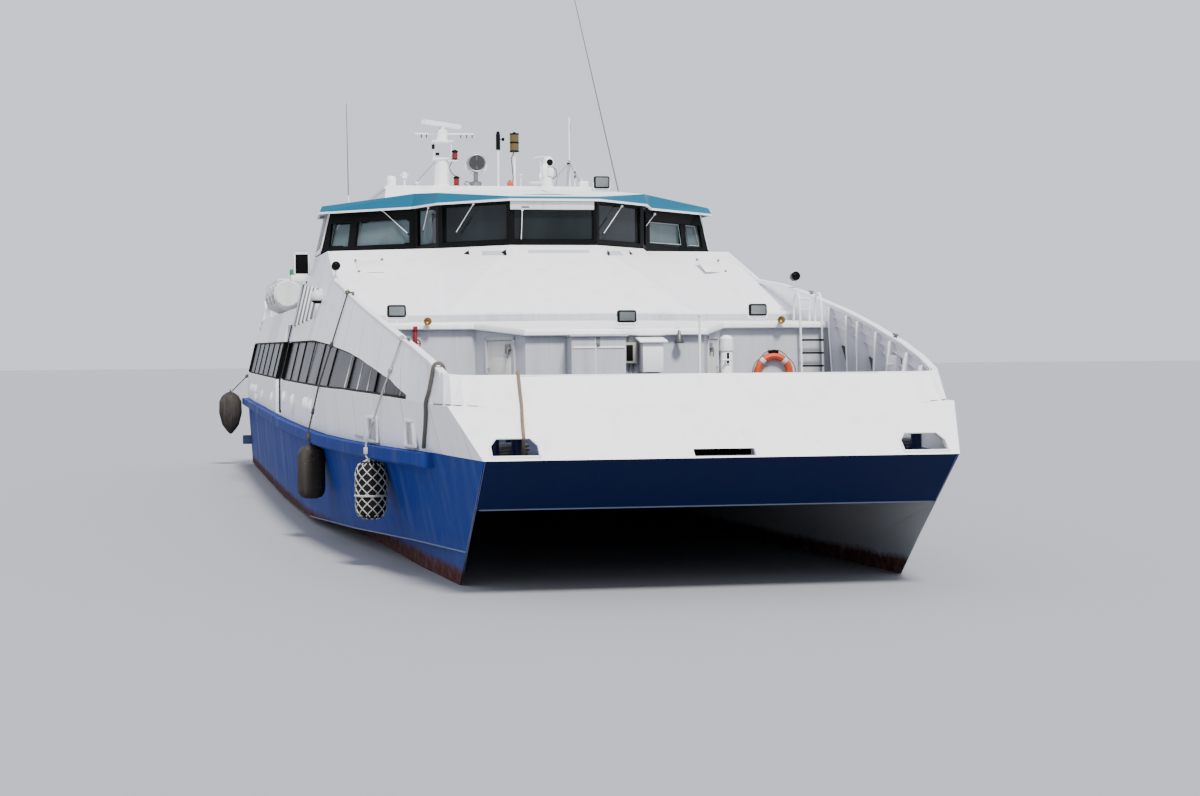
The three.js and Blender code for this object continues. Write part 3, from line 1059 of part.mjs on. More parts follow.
// Fenders on the starboard side: two hang under the rub rail, with their ropes over the rail and up the side
// to its top edge, and one hangs outboard of the rail at the stern
const ROPE_RADIUS = 15;
const PAD_HALF = 30;
function fenderBody(x, y, bottomZ, topZ, radius) {
  const height = topZ - bottomZ;
  return turned([
    [0, 0], [radius * 0.55, height * 0.04], [radius * 0.92, height * 0.2], [radius, height * 0.35],
    [radius, height * 0.65], [radius * 0.9, height * 0.83], [radius * 0.5, height * 0.97], [0, height],
  ], [x, -y, bottomZ], 14);
}
function rope(points) {
  return join(...points.slice(1).map((to, i) => rod(points[i], to, ROPE_RADIUS - i * 0.2, 6)));
}
const HUNG_FENDERS = [
  { name: 'fender_netted', x: 14100, bottomZ: 720, topZ: 1575, radius: 235, seamX: 14560, topX: 15200 },
  { name: 'fender_plain', x: 8500, bottomZ: 690, topZ: 1595, radius: 240, seamX: 8900, topX: 9600 },
];
HUNG_FENDERS.forEach(({ name, x, bottomZ, topZ, radius, seamX, topX }) => {
  const height = topZ - bottomZ;
  const y = Math.max(hullSideY(x, bottomZ + 0.65 * height) + radius,
    hullSideY(x, bottomZ + 0.83 * height) + 0.9 * radius);
  const outsideRail = sideYAtSheer(x) + RAIL_DEPTH + ROPE_RADIUS + 2;
  const edge = { y: side('top', topX), z: side('topZ', topX) };
  const pad = prismY([
    [topX - PAD_HALF, side('topZ', topX - PAD_HALF) + GAP], [topX + PAD_HALF, side('topZ', topX + PAD_HALF) + GAP],
    [topX + PAD_HALF, edge.z + ROPE_RADIUS + 10], [topX - PAD_HALF, edge.z + ROPE_RADIUS + 10],
  ], -edge.y + 12, -edge.y + 58);
  place(name, join(fenderBody(x, y + 10, bottomZ, topZ, radius), pad, rope([
    [x, -y - 10, topZ - 110],
    [x, -outsideRail, topZ - 60],
    [x, -outsideRail, sheerZ(x) + 20],
    [seamX, -side('seam', seamX) - ROPE_RADIUS - 8, side('seamZ', seamX)],
    [topX, -edge.y - ROPE_RADIUS - 6, edge.z + ROPE_RADIUS + 3],
    [topX, -edge.y + 90, edge.z + ROPE_RADIUS + 3],
  ])), 'rubber');
});
const STERN_FENDER = { x: -19000, bottomZ: 900, topZ: 2100, radius: 340 };
const sternFenderY = sideYAtSheer(STERN_FENDER.x) + RAIL_DEPTH + STERN_FENDER.radius + 10;
place('fender_stern', join(
  fenderBody(STERN_FENDER.x, sternFenderY, STERN_FENDER.bottomZ, STERN_FENDER.topZ, STERN_FENDER.radius),
  rope([
    [STERN_FENDER.x, -sternFenderY, STERN_FENDER.topZ - 60],
    [STERN_FENDER.x, -side('seam', STERN_X) - ROPE_RADIUS - 5, 2560],
    [STERN_FENDER.x, -side('seam', STERN_X) - ROPE_RADIUS - 5, 2600],
  ]),
  box(STERN_FENDER.x - PAD_HALF, STERN_FENDER.x + PAD_HALF, -side('seam', STERN_X) - ROPE_RADIUS - 8,
    -side('seam', STERN_X) - GAP, 2560, 2610),
), 'rubber');

// Propeller shafts, brackets, propellers and rudders
const PROP = { x: -17600, y: KEEL_Y, z: -1300, radius: 480 };
const SHAFT_FROM = [-13500, -PROP.y, -1000];
const shaftLine = cut(join(
  rod(SHAFT_FROM, [PROP.x + 300, -PROP.y, PROP.z], 60, 12),
  rod([PROP.x + 300 + 260, -PROP.y, PROP.z], [PROP.x + 170, -PROP.y, PROP.z], 110, 12),
  prismY([[PROP.x + 260, PROP.z], [PROP.x + 500, PROP.z], [PROP.x + 560, -560], [PROP.x + 220, -560]],
    -PROP.y - 18, -PROP.y + 18),
), mirrored(hullPort), shifted(mirrored(hullPort), 0, 0, -0.5));
placePair('shaft_line', shaftLine, 'steel');
function propeller() {
  const hub = rod([PROP.x - 160, -PROP.y, PROP.z], [PROP.x + 170 - GAP, -PROP.y, PROP.z], 95, 12);
  const blades = Array.from({ length: 4 }, (_, i) => {
    const angle = (i * Math.PI) / 2 + Math.PI / 4;
    const at = (radial, across, axial) => [
      PROP.x + axial,
      -PROP.y + Math.cos(angle) * radial - Math.sin(angle) * across,
      PROP.z + Math.sin(angle) * radial + Math.cos(angle) * across,
    ];
    const section = (radial, chord, pitch) => [
      at(radial, -chord, pitch), at(radial, -chord, pitch + 22),
      at(radial, chord, -pitch + 22), at(radial, chord, -pitch),
    ];
    return loft([section(70, 90, 80), section(220, 170, 90), section(360, 200, 75), section(PROP.radius, 60, 25)]);
  });
  return join(hub, blades);
}
placePair('propeller', propeller(), 'bronze');
const rudder = join(
  prismZ([[260, 0], [120, 50], [-420, 7], [-420, -7], [120, -50]].map(([x, y]) => [RUDDER.x + x, y - KEEL_Y]),
    -1780, RUDDER.bossZ - 80),
  rod([RUDDER.x, -KEEL_Y, -900], [RUDDER.x, -KEEL_Y, RUDDER.bossZ - 0.5], 55, 12),
);
placePair('rudder', rudder, 'hull_blue');

export default ferry;
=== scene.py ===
"""Passenger ferry, a 38.8 m catamaran: finishes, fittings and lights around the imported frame, in metres."""

import json
import logging
import math
from dataclasses import dataclass, field
from enum import Enum
from typing import Callable, Iterable, Sequence

import bpy
from mathutils import Matrix, Vector

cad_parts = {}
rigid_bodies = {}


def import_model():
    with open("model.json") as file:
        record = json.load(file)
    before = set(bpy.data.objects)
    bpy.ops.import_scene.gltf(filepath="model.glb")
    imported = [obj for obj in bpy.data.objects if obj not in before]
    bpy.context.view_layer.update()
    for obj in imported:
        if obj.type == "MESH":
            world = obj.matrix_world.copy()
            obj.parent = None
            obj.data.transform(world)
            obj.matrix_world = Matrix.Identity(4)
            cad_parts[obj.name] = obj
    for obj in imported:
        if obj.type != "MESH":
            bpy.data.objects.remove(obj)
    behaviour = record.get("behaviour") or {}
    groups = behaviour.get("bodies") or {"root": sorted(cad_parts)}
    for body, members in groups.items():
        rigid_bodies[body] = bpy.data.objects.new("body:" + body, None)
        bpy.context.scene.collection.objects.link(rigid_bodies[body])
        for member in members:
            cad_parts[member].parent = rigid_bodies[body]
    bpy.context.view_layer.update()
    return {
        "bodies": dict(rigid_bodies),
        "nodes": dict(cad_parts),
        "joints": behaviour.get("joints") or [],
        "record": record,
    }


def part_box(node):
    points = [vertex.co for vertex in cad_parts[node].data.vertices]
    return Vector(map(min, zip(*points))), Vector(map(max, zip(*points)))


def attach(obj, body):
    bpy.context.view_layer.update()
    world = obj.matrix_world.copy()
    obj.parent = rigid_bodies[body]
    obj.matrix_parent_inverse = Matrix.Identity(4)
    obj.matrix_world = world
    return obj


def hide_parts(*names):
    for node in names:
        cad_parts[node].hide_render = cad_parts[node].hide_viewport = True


LOG = logging.getLogger("ferry")
Point = tuple[float, float, float]
Color = tuple[float, float, float]
Object = bpy.types.Object
Socket = bpy.types.NodeSocket
FERRY = "ferry"


class Side(Enum):
    """Which side of the centreline a fitting is on, as the sign of y."""

    STARBOARD = -1
    PORT = 1

    def at(self, x: float, y: float, z: float) -> Point:
        """The point with y measured outwards from the centreline."""
        return (x, self.value * y, z)


class Axis(Enum):
    """Direction of a turned shape or a bar."""

    X = (1.0, 0.0, 0.0)
    Y = (0.0, 1.0, 0.0)
    Z = (0.0, 0.0, 1.0)


BOTH = (Side.STARBOARD, Side.PORT)
LABELLED = ((Side.STARBOARD, "starboard"), (Side.PORT, "port"))


def clear_selection() -> None:
    """Leaves edit mode and selects nothing."""
    if bpy.context.object is not None and bpy.context.object.mode != "OBJECT":
        bpy.ops.object.mode_set(mode="OBJECT")
    bpy.ops.object.select_all(action="DESELECT")


def pick(*objects: Object) -> None:
    """Leaves edit mode and selects only these objects, the first of them active."""
    clear_selection()
    for one in objects:
        one.select_set(True)
    bpy.context.view_layer.objects.active = objects[0]


def settle(smooth: float) -> None:
    """Applies the picked object's place and shades it smooth under an angle in degrees."""
    bpy.ops.object.transform_apply(location=True, rotation=True, scale=True)
    bpy.ops.object.shade_smooth_by_angle(angle=math.radians(smooth))


class Piece:
    """One mesh, modelled in edit mode: each shape that is added is selected alone until the next one."""

    def __init__(self, name: str) -> None:
        """Opens an empty mesh.

        Args:
            name: the piece's name.
        """
        clear_selection()
        bpy.ops.mesh.primitive_plane_add(size=1)
        self.obj = bpy.context.object
        self.obj.name = name
        self.obj.data.name = name
        bpy.ops.object.mode_set(mode="EDIT")
        bpy.ops.mesh.delete(type="VERT")

    def _alone(self) -> None:
        """Goes to this mesh in edit mode and deselects what was made before."""
        if bpy.context.object is not self.obj or self.obj.mode != "EDIT":
            pick(self.obj)
            bpy.ops.object.mode_set(mode="EDIT")
        bpy.ops.mesh.select_all(action="DESELECT")

    def _chain(self, points: Sequence[Point]) -> None:
        """Draws a line of edges by extruding one vertex through the points.

        Args:
            points: the line's corners, in order.
        """
        self._alone()
        bpy.ops.mesh.primitive_plane_add(size=0.001, location=points[0])
        bpy.ops.mesh.merge(type="CENTER")
        self._extrude_through(points)
        bpy.ops.mesh.select_linked()

    def _extrude_through(self, points: Sequence[Point]) -> None:
        """Extrudes what is selected from point to point.

        Args:
            points: where the selection is, and each place that it goes to.
        """
        for a, b in zip(points, points[1:]):
            step = tuple(Vector(b) - Vector(a))
            bpy.ops.mesh.extrude_region_move(TRANSFORM_OT_translate={"value": step})

    def _close(self) -> None:
        """Selects the whole shape and turns its faces outwards."""
        bpy.ops.mesh.select_linked()
        bpy.ops.mesh.normals_make_consistent(inside=False)

    def block(self, low: Point, high: Point, edge: float = 0.006, turn: float = 0.0,
              tilt: float = 0.0) -> "Piece":
        """Adds a box with rounded edges.

        Args:
            low: one corner before turning.
            high: the corner opposite it.
            edge: width of the rounded edge.
            turn: angle about the vertical through its centre, in radians.
            tilt: angle about the crosswise axis through its centre, in radians.

        Returns:
            The piece, so that calls can follow each other.
        """
        self._alone()
        centre = tuple((a + b) / 2 for a, b in zip(low, high))
        size = tuple(max(1e-4, abs(b - a)) for a, b in zip(low, high))
        bpy.ops.mesh.primitive_cube_add(size=1, location=centre, rotation=(0, tilt, turn), scale=size)
        if edge > 0:
            bpy.ops.mesh.bevel(offset=min(edge, min(size) * 0.45), segments=2)
        return self

    def bar(self, start: Point, end: Point, radius: float, sides: int = 12, edge: float = 0.0) -> "Piece":
        """Adds a round bar from one point to another, its rims rounded by edge.

        Args:
            start: centre of one end.
            end: centre of the other end.
            radius: the bar's radius.
            sides: how many sides it has.
            edge: width of the rounded edge of its rims.

        Returns:
            The piece, so that calls can follow each other.
        """
        self._alone()
        a, b = Vector(start), Vector(end)
        turn = (b - a).to_track_quat("Z", "Y").to_euler()
        bpy.ops.mesh.primitive_cylinder_add(
            vertices=sides, radius=radius, depth=(b - a).length, location=tuple((a + b) / 2), rotation=turn)
        if edge > 0:
            self._bevel_rims((b - a).normalized(), edge)
        return self

    def bars(self, points: Sequence[Point], radius: float, sides: int = 8) -> "Piece":
        """Adds a round bar between each point and the next.

        Args:
            points: where the bars meet and end, in order.
            radius: their radius.
            sides: how many sides each has.

        Returns:
            The piece, so that calls can follow each other.
        """
        for a, b in zip(points, points[1:]):
            self.bar(a, b, radius, sides)
        return self

    def _bevel_rims(self, direction: Vector, edge: float) -> None:
        """Rounds the selected bar's two rims.

        Args:
            direction: unit vector along the bar.
            edge: width of the rounded edge.
        """
        bpy.ops.object.mode_set(mode="OBJECT")
        mesh = self.obj.data
        for e in mesh.edges:
            if e.select:
                a, b = (mesh.vertices[i].co for i in e.vertices)
                e.select = abs((b - a).normalized().dot(direction)) < 0.5
        for f in mesh.polygons:
            f.select = False
        for v in mesh.vertices:
            v.select = False
        keep = [e.index for e in mesh.edges if e.select]
        bpy.ops.object.mode_set(mode="EDIT")
        bpy.ops.mesh.select_mode(type="EDGE")
        bpy.ops.mesh.select_all(action="DESELECT")
        bpy.ops.object.mode_set(mode="OBJECT")
        for i in keep:
            mesh.edges[i].select = True
        bpy.ops.object.mode_set(mode="EDIT")
        bpy.ops.mesh.bevel(offset=edge, segments=2)
        bpy.ops.mesh.select_mode(type="VERT")

    def plate(self, outline: Sequence[Point], thickness: Point, edge: float = 0.0) -> "Piece":
        """Adds a flat plate: a drawn outline, filled and extruded.

        Args:
            outline: corners in order.
            thickness: the way and the distance that it is extruded.
            edge: width of the rounded edge.

        Returns:
            The piece.
        """
        self._chain(outline)
        bpy.ops.mesh.edge_face_add()
        bpy.ops.mesh.extrude_region_move(TRANSFORM_OT_translate={"value": thickness})
        self._close()
        if edge > 0:
            bpy.ops.mesh.bevel(offset=edge, segments=2)
        return self

    def rim(self, outline: Sequence[Point], width: float, thickness: Point) -> "Piece":
        """Adds a flat rim inside an outline: filled, inset, its middle taken out, and extruded.

        Args:
            outline: its outer corners, in order.
            width: the rim's width.
            thickness: what its face is extruded by.

        Returns:
            The piece, so that calls can follow each other.
        """
        self._chain(outline)
        bpy.ops.mesh.edge_face_add()
        bpy.ops.mesh.inset(thickness=width, use_boundary=True)
        bpy.ops.mesh.delete(type="ONLY_FACE")
        bpy.ops.mesh.select_linked()
        bpy.ops.mesh.extrude_region_move(TRANSFORM_OT_translate={"value": thickness})
        self._close()
        return self

    def run(self, profile: Sequence[Point], path: Sequence[Point]) -> "Piece":
        """Adds a bar of one section: a drawn profile at the path's start, extruded from point to point.

        Args:
            profile: corners of the section, measured from the path.
            path: points that the section is carried through, unturned.

        Returns:
            The piece.
        """
        self._chain([tuple(Vector(path[0]) + Vector(p)) for p in profile])
        bpy.ops.mesh.edge_face_add()
        self._extrude_through(path)
        self._close()
        return self

    def turned(self, profile: Sequence[tuple[float, float]], foot: Point, axis: Axis | Point = Axis.Z,
               steps: int = 20) -> "Piece":
        """Adds a turned shape by spinning a profile.

        Args:
            profile: radius and distance along the axis, from the axis back to the axis.
            foot: where the axis starts.
            axis: direction of the axis.
            steps: faces round it.

        Returns:
            The piece.
        """
        direction = Vector(axis.value if isinstance(axis, Axis) else axis).normalized()
        across = direction.orthogonal().normalized()
        start = Vector(foot)
        self._chain([tuple(start + across * r + direction * h) for r, h in profile])
        bpy.ops.mesh.spin(steps=steps, angle=2 * math.pi, center=foot, axis=tuple(direction))
        bpy.ops.mesh.select_linked()
        bpy.ops.mesh.remove_doubles(threshold=2e-4)
        bpy.ops.mesh.normals_make_consistent(inside=False)
        return self

    def ring(self, centre: Point, radius: float, tube: float, axis: Axis = Axis.Z, sides: int = 24,
             tube_sides: int = 8) -> "Piece":
        """Adds a round ring.

        Args:
            centre: the ring's centre.
            radius: from there to the middle of the tube.
            tube: the tube's radius.
            axis: what the ring goes round.
            sides: segments round the ring.
            tube_sides: segments round the tube.

        Returns:
            The piece, so that calls can follow each other.
        """
        self._alone()
        turn = Vector(axis.value).to_track_quat("Z", "Y").to_euler()
        bpy.ops.mesh.primitive_torus_add(
            location=centre, rotation=turn, major_radius=radius, minor_radius=tube,
            major_segments=sides, minor_segments=tube_sides)
        return self

    def done(self, finish: "Finish", slot: str, body: str = FERRY) -> Object:
        """Closes the mesh, gives it its finish and lets it ride.

        Args:
            finish: the piece's finish.
            slot: the record's material slot; not used.
            body: the body that it rides on.

        Returns:
            The finished object.
        """
        pick(self.obj)
        settle(40)
        return fitted(self.obj, finish, body)


def pipe(name: str, lines: Sequence[Sequence[Point]], radius: float, resolution: int = 3) -> Object:
    """Round pipes along drawn lines, as one closed mesh.

    Args:
        name: the piece's name.
        lines: the points of each pipe.
        radius: the pipe's radius.
        resolution: fineness of its roundness.

    Returns:
        The object, neither dressed nor riding yet.
    """
    made = []
    for points in lines:
        clear_selection()
        bpy.ops.curve.primitive_bezier_curve_add()
        curve = bpy.context.object
        curve.data.splines.clear()
        line = curve.data.splines.new("POLY")
        line.points.add(len(points) - 1)
        for spot, point in zip(line.points, points):
            spot.co = (*(Vector(point) - curve.location), 1.0)
        curve.data.dimensions = "3D"
        curve.data.bevel_depth = radius
        curve.data.bevel_resolution = resolution
        curve.data.use_fill_caps = True
        bpy.ops.object.convert(target="MESH")
        made.append(bpy.context.object)
    pick(*made)
    if len(made) > 1:
        bpy.ops.object.join()
    whole = bpy.context.object
    whole.name = name
    whole.data.name = name
    bpy.ops.object.mode_set(mode="EDIT")
    bpy.ops.mesh.select_all(action="SELECT")
    bpy.ops.mesh.remove_doubles(threshold=1e-5)
    bpy.ops.mesh.normals_make_consistent(inside=False)
    bpy.ops.object.mode_set(mode="OBJECT")
    settle(50)
    return whole


def eased(points: Sequence[Point], steps: int = 5) -> list[Point]:
    """A line bent smoothly through the points.

    Args:
        points: what the line passes through.
        steps: how many steps join two of the points.

    Returns:
        The points of the bent line.
    """
    line = [Vector(p) for p in points]
    ends = [line[0] * 2 - line[1], *line, line[-1] * 2 - line[-2]]
    made = []
    for a, b, c, d in zip(ends, ends[1:], ends[2:], ends[3:]):
        for i in range(steps):
            t = i / steps
            made.append(tuple(0.5 * ((2 * b) + (c - a) * t + (2 * a - 5 * b + 4 * c - d) * t * t
                                     + (3 * b - a - 3 * c + d) * t ** 3)))
    return [*made, tuple(line[-1])]


def fitted(obj: Object, finish: "Finish", body: str = FERRY) -> Object:
    """Dresses a made object and lets it ride.

    Args:
        obj: the object.
        finish: its finish.
        body: the body that it rides on.

    Returns:
        The same object.
    """
    dress(obj, finish)
    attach(obj, body)
    LOG.info("%s rides on %s", obj.name, body)
    return obj


def fitting(name: str, finish: "Finish", slot: str, rows: Iterable[tuple], body: str = FERRY) -> Object:
    """One piece from rows of shapes.

    Args:
        name: the piece's name.
        finish: the piece's finish.
        slot: the record's material slot.
        rows: the name of a method of Piece and what it is given, for each shape.
        body: the body that the piece rides on.

    Returns:
        The finished object.
    """
    piece = Piece(name)
    for kind, *given in rows:
        getattr(piece, kind)(*given)
    return piece.done(finish, slot, body)


def interpolate(rows: Sequence[Sequence[float]], x: float, column: int) -> float:
    """Value of a column at x, from rows whose first column is x.

    Args:
        rows: the rows, in the order of their first column.
        x: where to read.
        column: what to read.

    Returns:
        The value, carried on in a straight line beyond the first and last row.
    """
    low, high = rows[0], rows[1]
    for a, b in zip(rows, rows[1:]):
        low, high = a, b
        if x <= b[0]:
            break
    part = (x - low[0]) / (high[0] - low[0])
    return low[column] + part * (high[column] - low[column])


# Surfaces that the fittings stand on

# Side plating: x, half-breadth at the sheer and at the seam, the seam's height, half-breadth and
# height of the top edge
SIDE_ROWS = (
    (-19.4, 4.55, 4.55, 2.66, 3.955, 5.12), (0.0, 4.55, 4.55, 2.61, 3.945, 5.12),
    (4.11, 4.51, 4.515, 2.60, 3.915, 5.10), (6.35, 4.46, 4.478, 2.592, 3.96, 4.48),
    (8.0, 4.413, 4.441, 2.588, 3.985, 4.34), (9.7, 4.36, 4.40, 2.585, 3.968, 4.13),
    (11.2, 4.24, 4.28, 2.58, 3.915, 3.925), (12.4, 4.13, 4.17, 2.565, 3.865, 3.765),
    (14.1, 3.92, 3.97, 2.54, 3.755, 3.515), (15.0, 3.79, 3.84, 2.515, 3.68, 3.37),
    (15.8, 3.64, 3.70, 2.49, 3.615, 3.25), (16.9, 3.43, 3.55, 2.465, 3.51, 3.05),
    (17.6, 3.35, 3.48, 2.455, 3.435, 2.89),
)
# Top edge of the rounded corner between the side and the bow
BOW_CORNER = ((17.6, 3.435, 2.89), (17.735, 3.412, 2.868), (17.87, 3.345, 2.852), (17.95, 3.21, 2.843),
              (17.985, 2.96, 2.84), (18.0, 2.5, 2.84))
SHELL_WALL = 0.07


def deck_z(x: float) -> float:
    """Height of the main deck, which rises a little towards the stern."""
    return 1.78 + 0.15 * (19.4 - x) / 38.8


def side_y(x: float, z: float) -> float:
    """Half-breadth of the side plating's outer face at a place.

    Args:
        x: place along the length.
        z: height.

    Returns:
        The distance from the centreline.
    """
    sheer, seam, seam_z, top, top_z = (interpolate(SIDE_ROWS, x, c) for c in range(1, 6))
    if z <= seam_z:
        return sheer + (z - deck_z(x)) / (seam_z - deck_z(x)) * (seam - sheer)
    return seam + (z - seam_z) / (top_z - seam_z) * (top - seam)


# Finishes

class Nodes:
    """Small helper for placing and linking nodes in one tree."""

    def __init__(self, tree: bpy.types.NodeTree) -> None:
        """Keeps the tree."""
        self.tree = tree

    def add(self, kind: str, **values: object) -> bpy.types.Node:
        """Adds a node; values are its settings, or its inputs where the name is an input's.

        Args:
            kind: the node's type.
            **values: its settings, and values or sockets for its inputs.

        Returns:
            The node.
        """
        node = self.tree.nodes.new(kind)
        for key, value in values.items():
            if hasattr(node, key):
                setattr(node, key, value)
            else:
                self.feed(node, key.replace("_", " "), value)
        return node

    def feed(self, node: bpy.types.Node, name: str | int, value: object) -> None:
        """Sets an input, or links another node's output to it.

        Args:
            node: the node.
            name: the input's name or number.
            value: a value, or another node's output.
        """
        socket = node.inputs[name]
        if isinstance(value, Socket):
            self.tree.links.new(value, socket)
        else:
            socket.default_value = value

    def math(self, operation: str, *values: object, clamp: bool = False) -> Socket:
        """A Math node's result.

        Args:
            operation: what it works out.
            *values: its inputs.
            clamp: whether the result is kept within 0..1.

        Returns:
            The result.
        """
        node = self.tree.nodes.new("ShaderNodeMath")
        node.operation = operation
        node.use_clamp = clamp
        for i, value in enumerate(values):
            self.feed(node, i, value)
        return node.outputs[0]

    def times(self, a: object, b: object, clamp: bool = False) -> Socket:
        """The product of two values."""
        return self.math("MULTIPLY", a, b, clamp=clamp)

    def plus(self, a: object, b: object, clamp: bool = False) -> Socket:
        """The sum of two values."""
        return self.math("ADD", a, b, clamp=clamp)

    def here(self) -> Socket:
        """The object's own coordinates at the shaded point."""
        return self.add("ShaderNodeTexCoord").outputs["Object"]

    def split(self, vector: Socket) -> tuple[Socket, ...]:
        """The three parts of a vector.

        Args:
            vector: the vector.

        Returns:
            Its three parts.
        """
        node = self.add("ShaderNodeSeparateXYZ")
        self.feed(node, 0, vector)
        return tuple(node.outputs)

    def facing(self) -> tuple[Socket, ...]:
        """The three parts of the direction that the surface faces."""
        return self.split(self.add("ShaderNodeNewGeometry").outputs["True Normal"])

    def mix(self, factor: object, a: object, b: object) -> Socket:
        """A colour mix's result.

        Args:
            factor: the second colour's share.
            a: the first colour.
            b: the second colour.

        Returns:
            The mixed colour.
        """
        node = self.tree.nodes.new("ShaderNodeMix")
        node.data_type = "RGBA"
        self.feed(node, 0, factor)
        self.feed(node, 6, a)
        self.feed(node, 7, b)
        return node.outputs[2]

    def ramp(self, value: object, low: float, high: float) -> Socket:
        """Value carried from low..high to 0..1, clamped.

        Args:
            value: what is carried over.
            low: what becomes 0.
            high: what becomes 1.

        Returns:
            The result.
        """
        node = self.tree.nodes.new("ShaderNodeMapRange")
        node.clamp = True
        for i, v in enumerate((value, low, high, 0.0, 1.0)):
            self.feed(node, i, v)
        return node.outputs[0]

    def noise(self, vector: object, scale: float, detail: float = 4.0, roughness: float = 0.55) -> Socket:
        """A noise texture's factor.

        Args:
            vector: where it is read.
            scale: its scale.
            detail: its detail.
            roughness: its roughness.

        Returns:
            The factor.
        """
        node = self.add("ShaderNodeTexNoise", Scale=scale, Detail=detail, Roughness=roughness)
        self.feed(node, "Vector", vector)
        return node.outputs["Fac"]

    def scaled(self, vector: object, scale: Point, location: Point = (0.0, 0.0, 0.0)) -> Socket:
        """A mapping of coordinates.

        Args:
            vector: the coordinates.
            scale: what they are multiplied by.
            location: what is then added to them.

        Returns:
            The new coordinates.
        """
        node = self.tree.nodes.new("ShaderNodeMapping")
        self.feed(node, "Vector", vector)
        node.inputs["Scale"].default_value = scale
        node.inputs["Location"].default_value = location
        return node.outputs[0]


def group(name: str, inputs: Iterable[tuple[str, str, object]], outputs: Iterable[tuple[str, str]],
          build: Callable[[Nodes, bpy.types.Node, bpy.types.Node], None]) -> bpy.types.NodeTree:
    """A shader node group, made once.

    Args:
        name: the group's name.
        inputs: name, socket kind and default of each input.
        outputs: name and socket kind of each output.
        build: fills the group, given its nodes, its input node and its output node.

    Returns:
        The group.
    """
    if name in bpy.data.node_groups:
        return bpy.data.node_groups[name]
    tree = bpy.data.node_groups.new(name, "ShaderNodeTree")
    for label, kind, default in inputs:
        socket = tree.interface.new_socket(name=label, in_out="INPUT", socket_type=kind)
        socket.default_value = default
    for label, kind in outputs:
        tree.interface.new_socket(name=label, in_out="OUTPUT", socket_type=kind)
    nodes = Nodes(tree)
    build(nodes, nodes.add("NodeGroupInput"), nodes.add("NodeGroupOutput"))
    return tree


COLOR, FLOAT = "NodeSocketColor", "NodeSocketFloat"


def weather_group() -> bpy.types.NodeTree:
    """Paint that has stood outside: runs, patches, specks, and a slight waviness of the plate.

    Returns:
        The group.
    """
    def build(n: Nodes, given: bpy.types.Node, result: bpy.types.Node) -> None:
        """Fills the group.

        Args:
            n: the group's nodes.
            given: its input node.
            result: its output node.
        """
        here = n.here()
        runs = n.ramp(n.noise(n.scaled(here, (3.2, 3.2, 0.28)), 1.0, 6.0, 0.62), 0.5, 0.78)
        fine_runs = n.ramp(n.noise(n.scaled(here, (14.0, 14.0, 0.9)), 1.0, 4.0, 0.6), 0.55, 0.8)
        patches = n.ramp(n.noise(here, 0.9, 8.0, 0.65), 0.45, 0.8)
        specks = n.ramp(n.noise(here, 22.0, 3.0, 0.6), 0.62, 0.74)
        given = given.outputs
        run_mask = n.times(n.plus(runs, n.times(fine_runs, 0.5)), given["Runs"], clamp=True)
        patch_mask = n.times(patches, given["Patches"], clamp=True)
        speck_mask = n.times(specks, given["Specks"], clamp=True)
        colour = n.mix(patch_mask, given["Paint"], given["Faded"])
        colour = n.mix(run_mask, colour, given["Grime"])
        n.feed(result, "Color", n.mix(speck_mask, colour, given["Grime"]))
        n.feed(result, "Roughness", n.plus(given["Gloss"], n.times(n.plus(run_mask, patch_mask), 0.25),
                                           clamp=True))
        wave = n.times(n.noise(here, 1.3, 2.0, 0.4), given["Waviness"])
        grain = n.times(n.noise(here, 160.0, 2.0, 0.5), given["Grain"])
        n.feed(result, "Height", n.plus(wave, grain))
    return group("weathered paint", [
        ("Paint", COLOR, (0.8, 0.8, 0.8, 1)), ("Faded", COLOR, (0.7, 0.7, 0.7, 1)),
        ("Grime", COLOR, (0.3, 0.3, 0.3, 1)),
        ("Gloss", FLOAT, 0.4), ("Runs", FLOAT, 0.3), ("Patches", FLOAT, 0.3), ("Specks", FLOAT, 0.1),
        ("Waviness", FLOAT, 0.5), ("Grain", FLOAT, 0.1),
    ], [("Color", COLOR), ("Roughness", FLOAT), ("Height", FLOAT)], build)


def seams_group() -> bpy.types.NodeTree:
    """Mask of raked welds at even spacing along the length.

    Returns:
        The group.
    """
    def build(n: Nodes, given: bpy.types.Node, result: bpy.types.Node) -> None:
        """Fills the group.

        Args:
            n: the group's nodes.
            given: its input node.
            result: its output node.
        """
        given = given.outputs
        x, _, z = n.split(n.here())
        rake = n.plus(x, n.times(z, given["Rake"]))
        cell = n.math("FRACT", n.math("DIVIDE", rake, given["Spacing"]))
        away = n.math("ABSOLUTE", n.math("SUBTRACT", cell, 0.5))
        n.feed(result, "Mask", n.ramp(n.times(away, given["Spacing"]), given["Width"], 0.0))
    return group("weld seams", [("Spacing", FLOAT, 1.6), ("Width", FLOAT, 0.02), ("Rake", FLOAT, 0.0)],
                 [("Mask", FLOAT)], build)


def level_group() -> bpy.types.NodeTree:
    """Mask that is 1 below a level, with an edge that wanders a little.

    Returns:
        The group.
    """
    def build(n: Nodes, given: bpy.types.Node, result: bpy.types.Node) -> None:
        """Fills the group.

        Args:
            n: the group's nodes.
            given: its input node.
            result: its output node.
        """
        given = given.outputs
        here = n.here()
        wander = n.times(n.math("SUBTRACT", n.noise(here, 2.5, 5.0, 0.7), 0.5), given["Wander"])
        high = n.plus(given["Level"], given["Softness"])
        n.feed(result, "Mask", n.ramp(n.plus(n.split(here)[2], wander), high, given["Level"]))
    return group("below a level", [("Level", FLOAT, 0.0), ("Softness", FLOAT, 0.01),
                                   ("Wander", FLOAT, 0.02)],
                 [("Mask", FLOAT)], build)


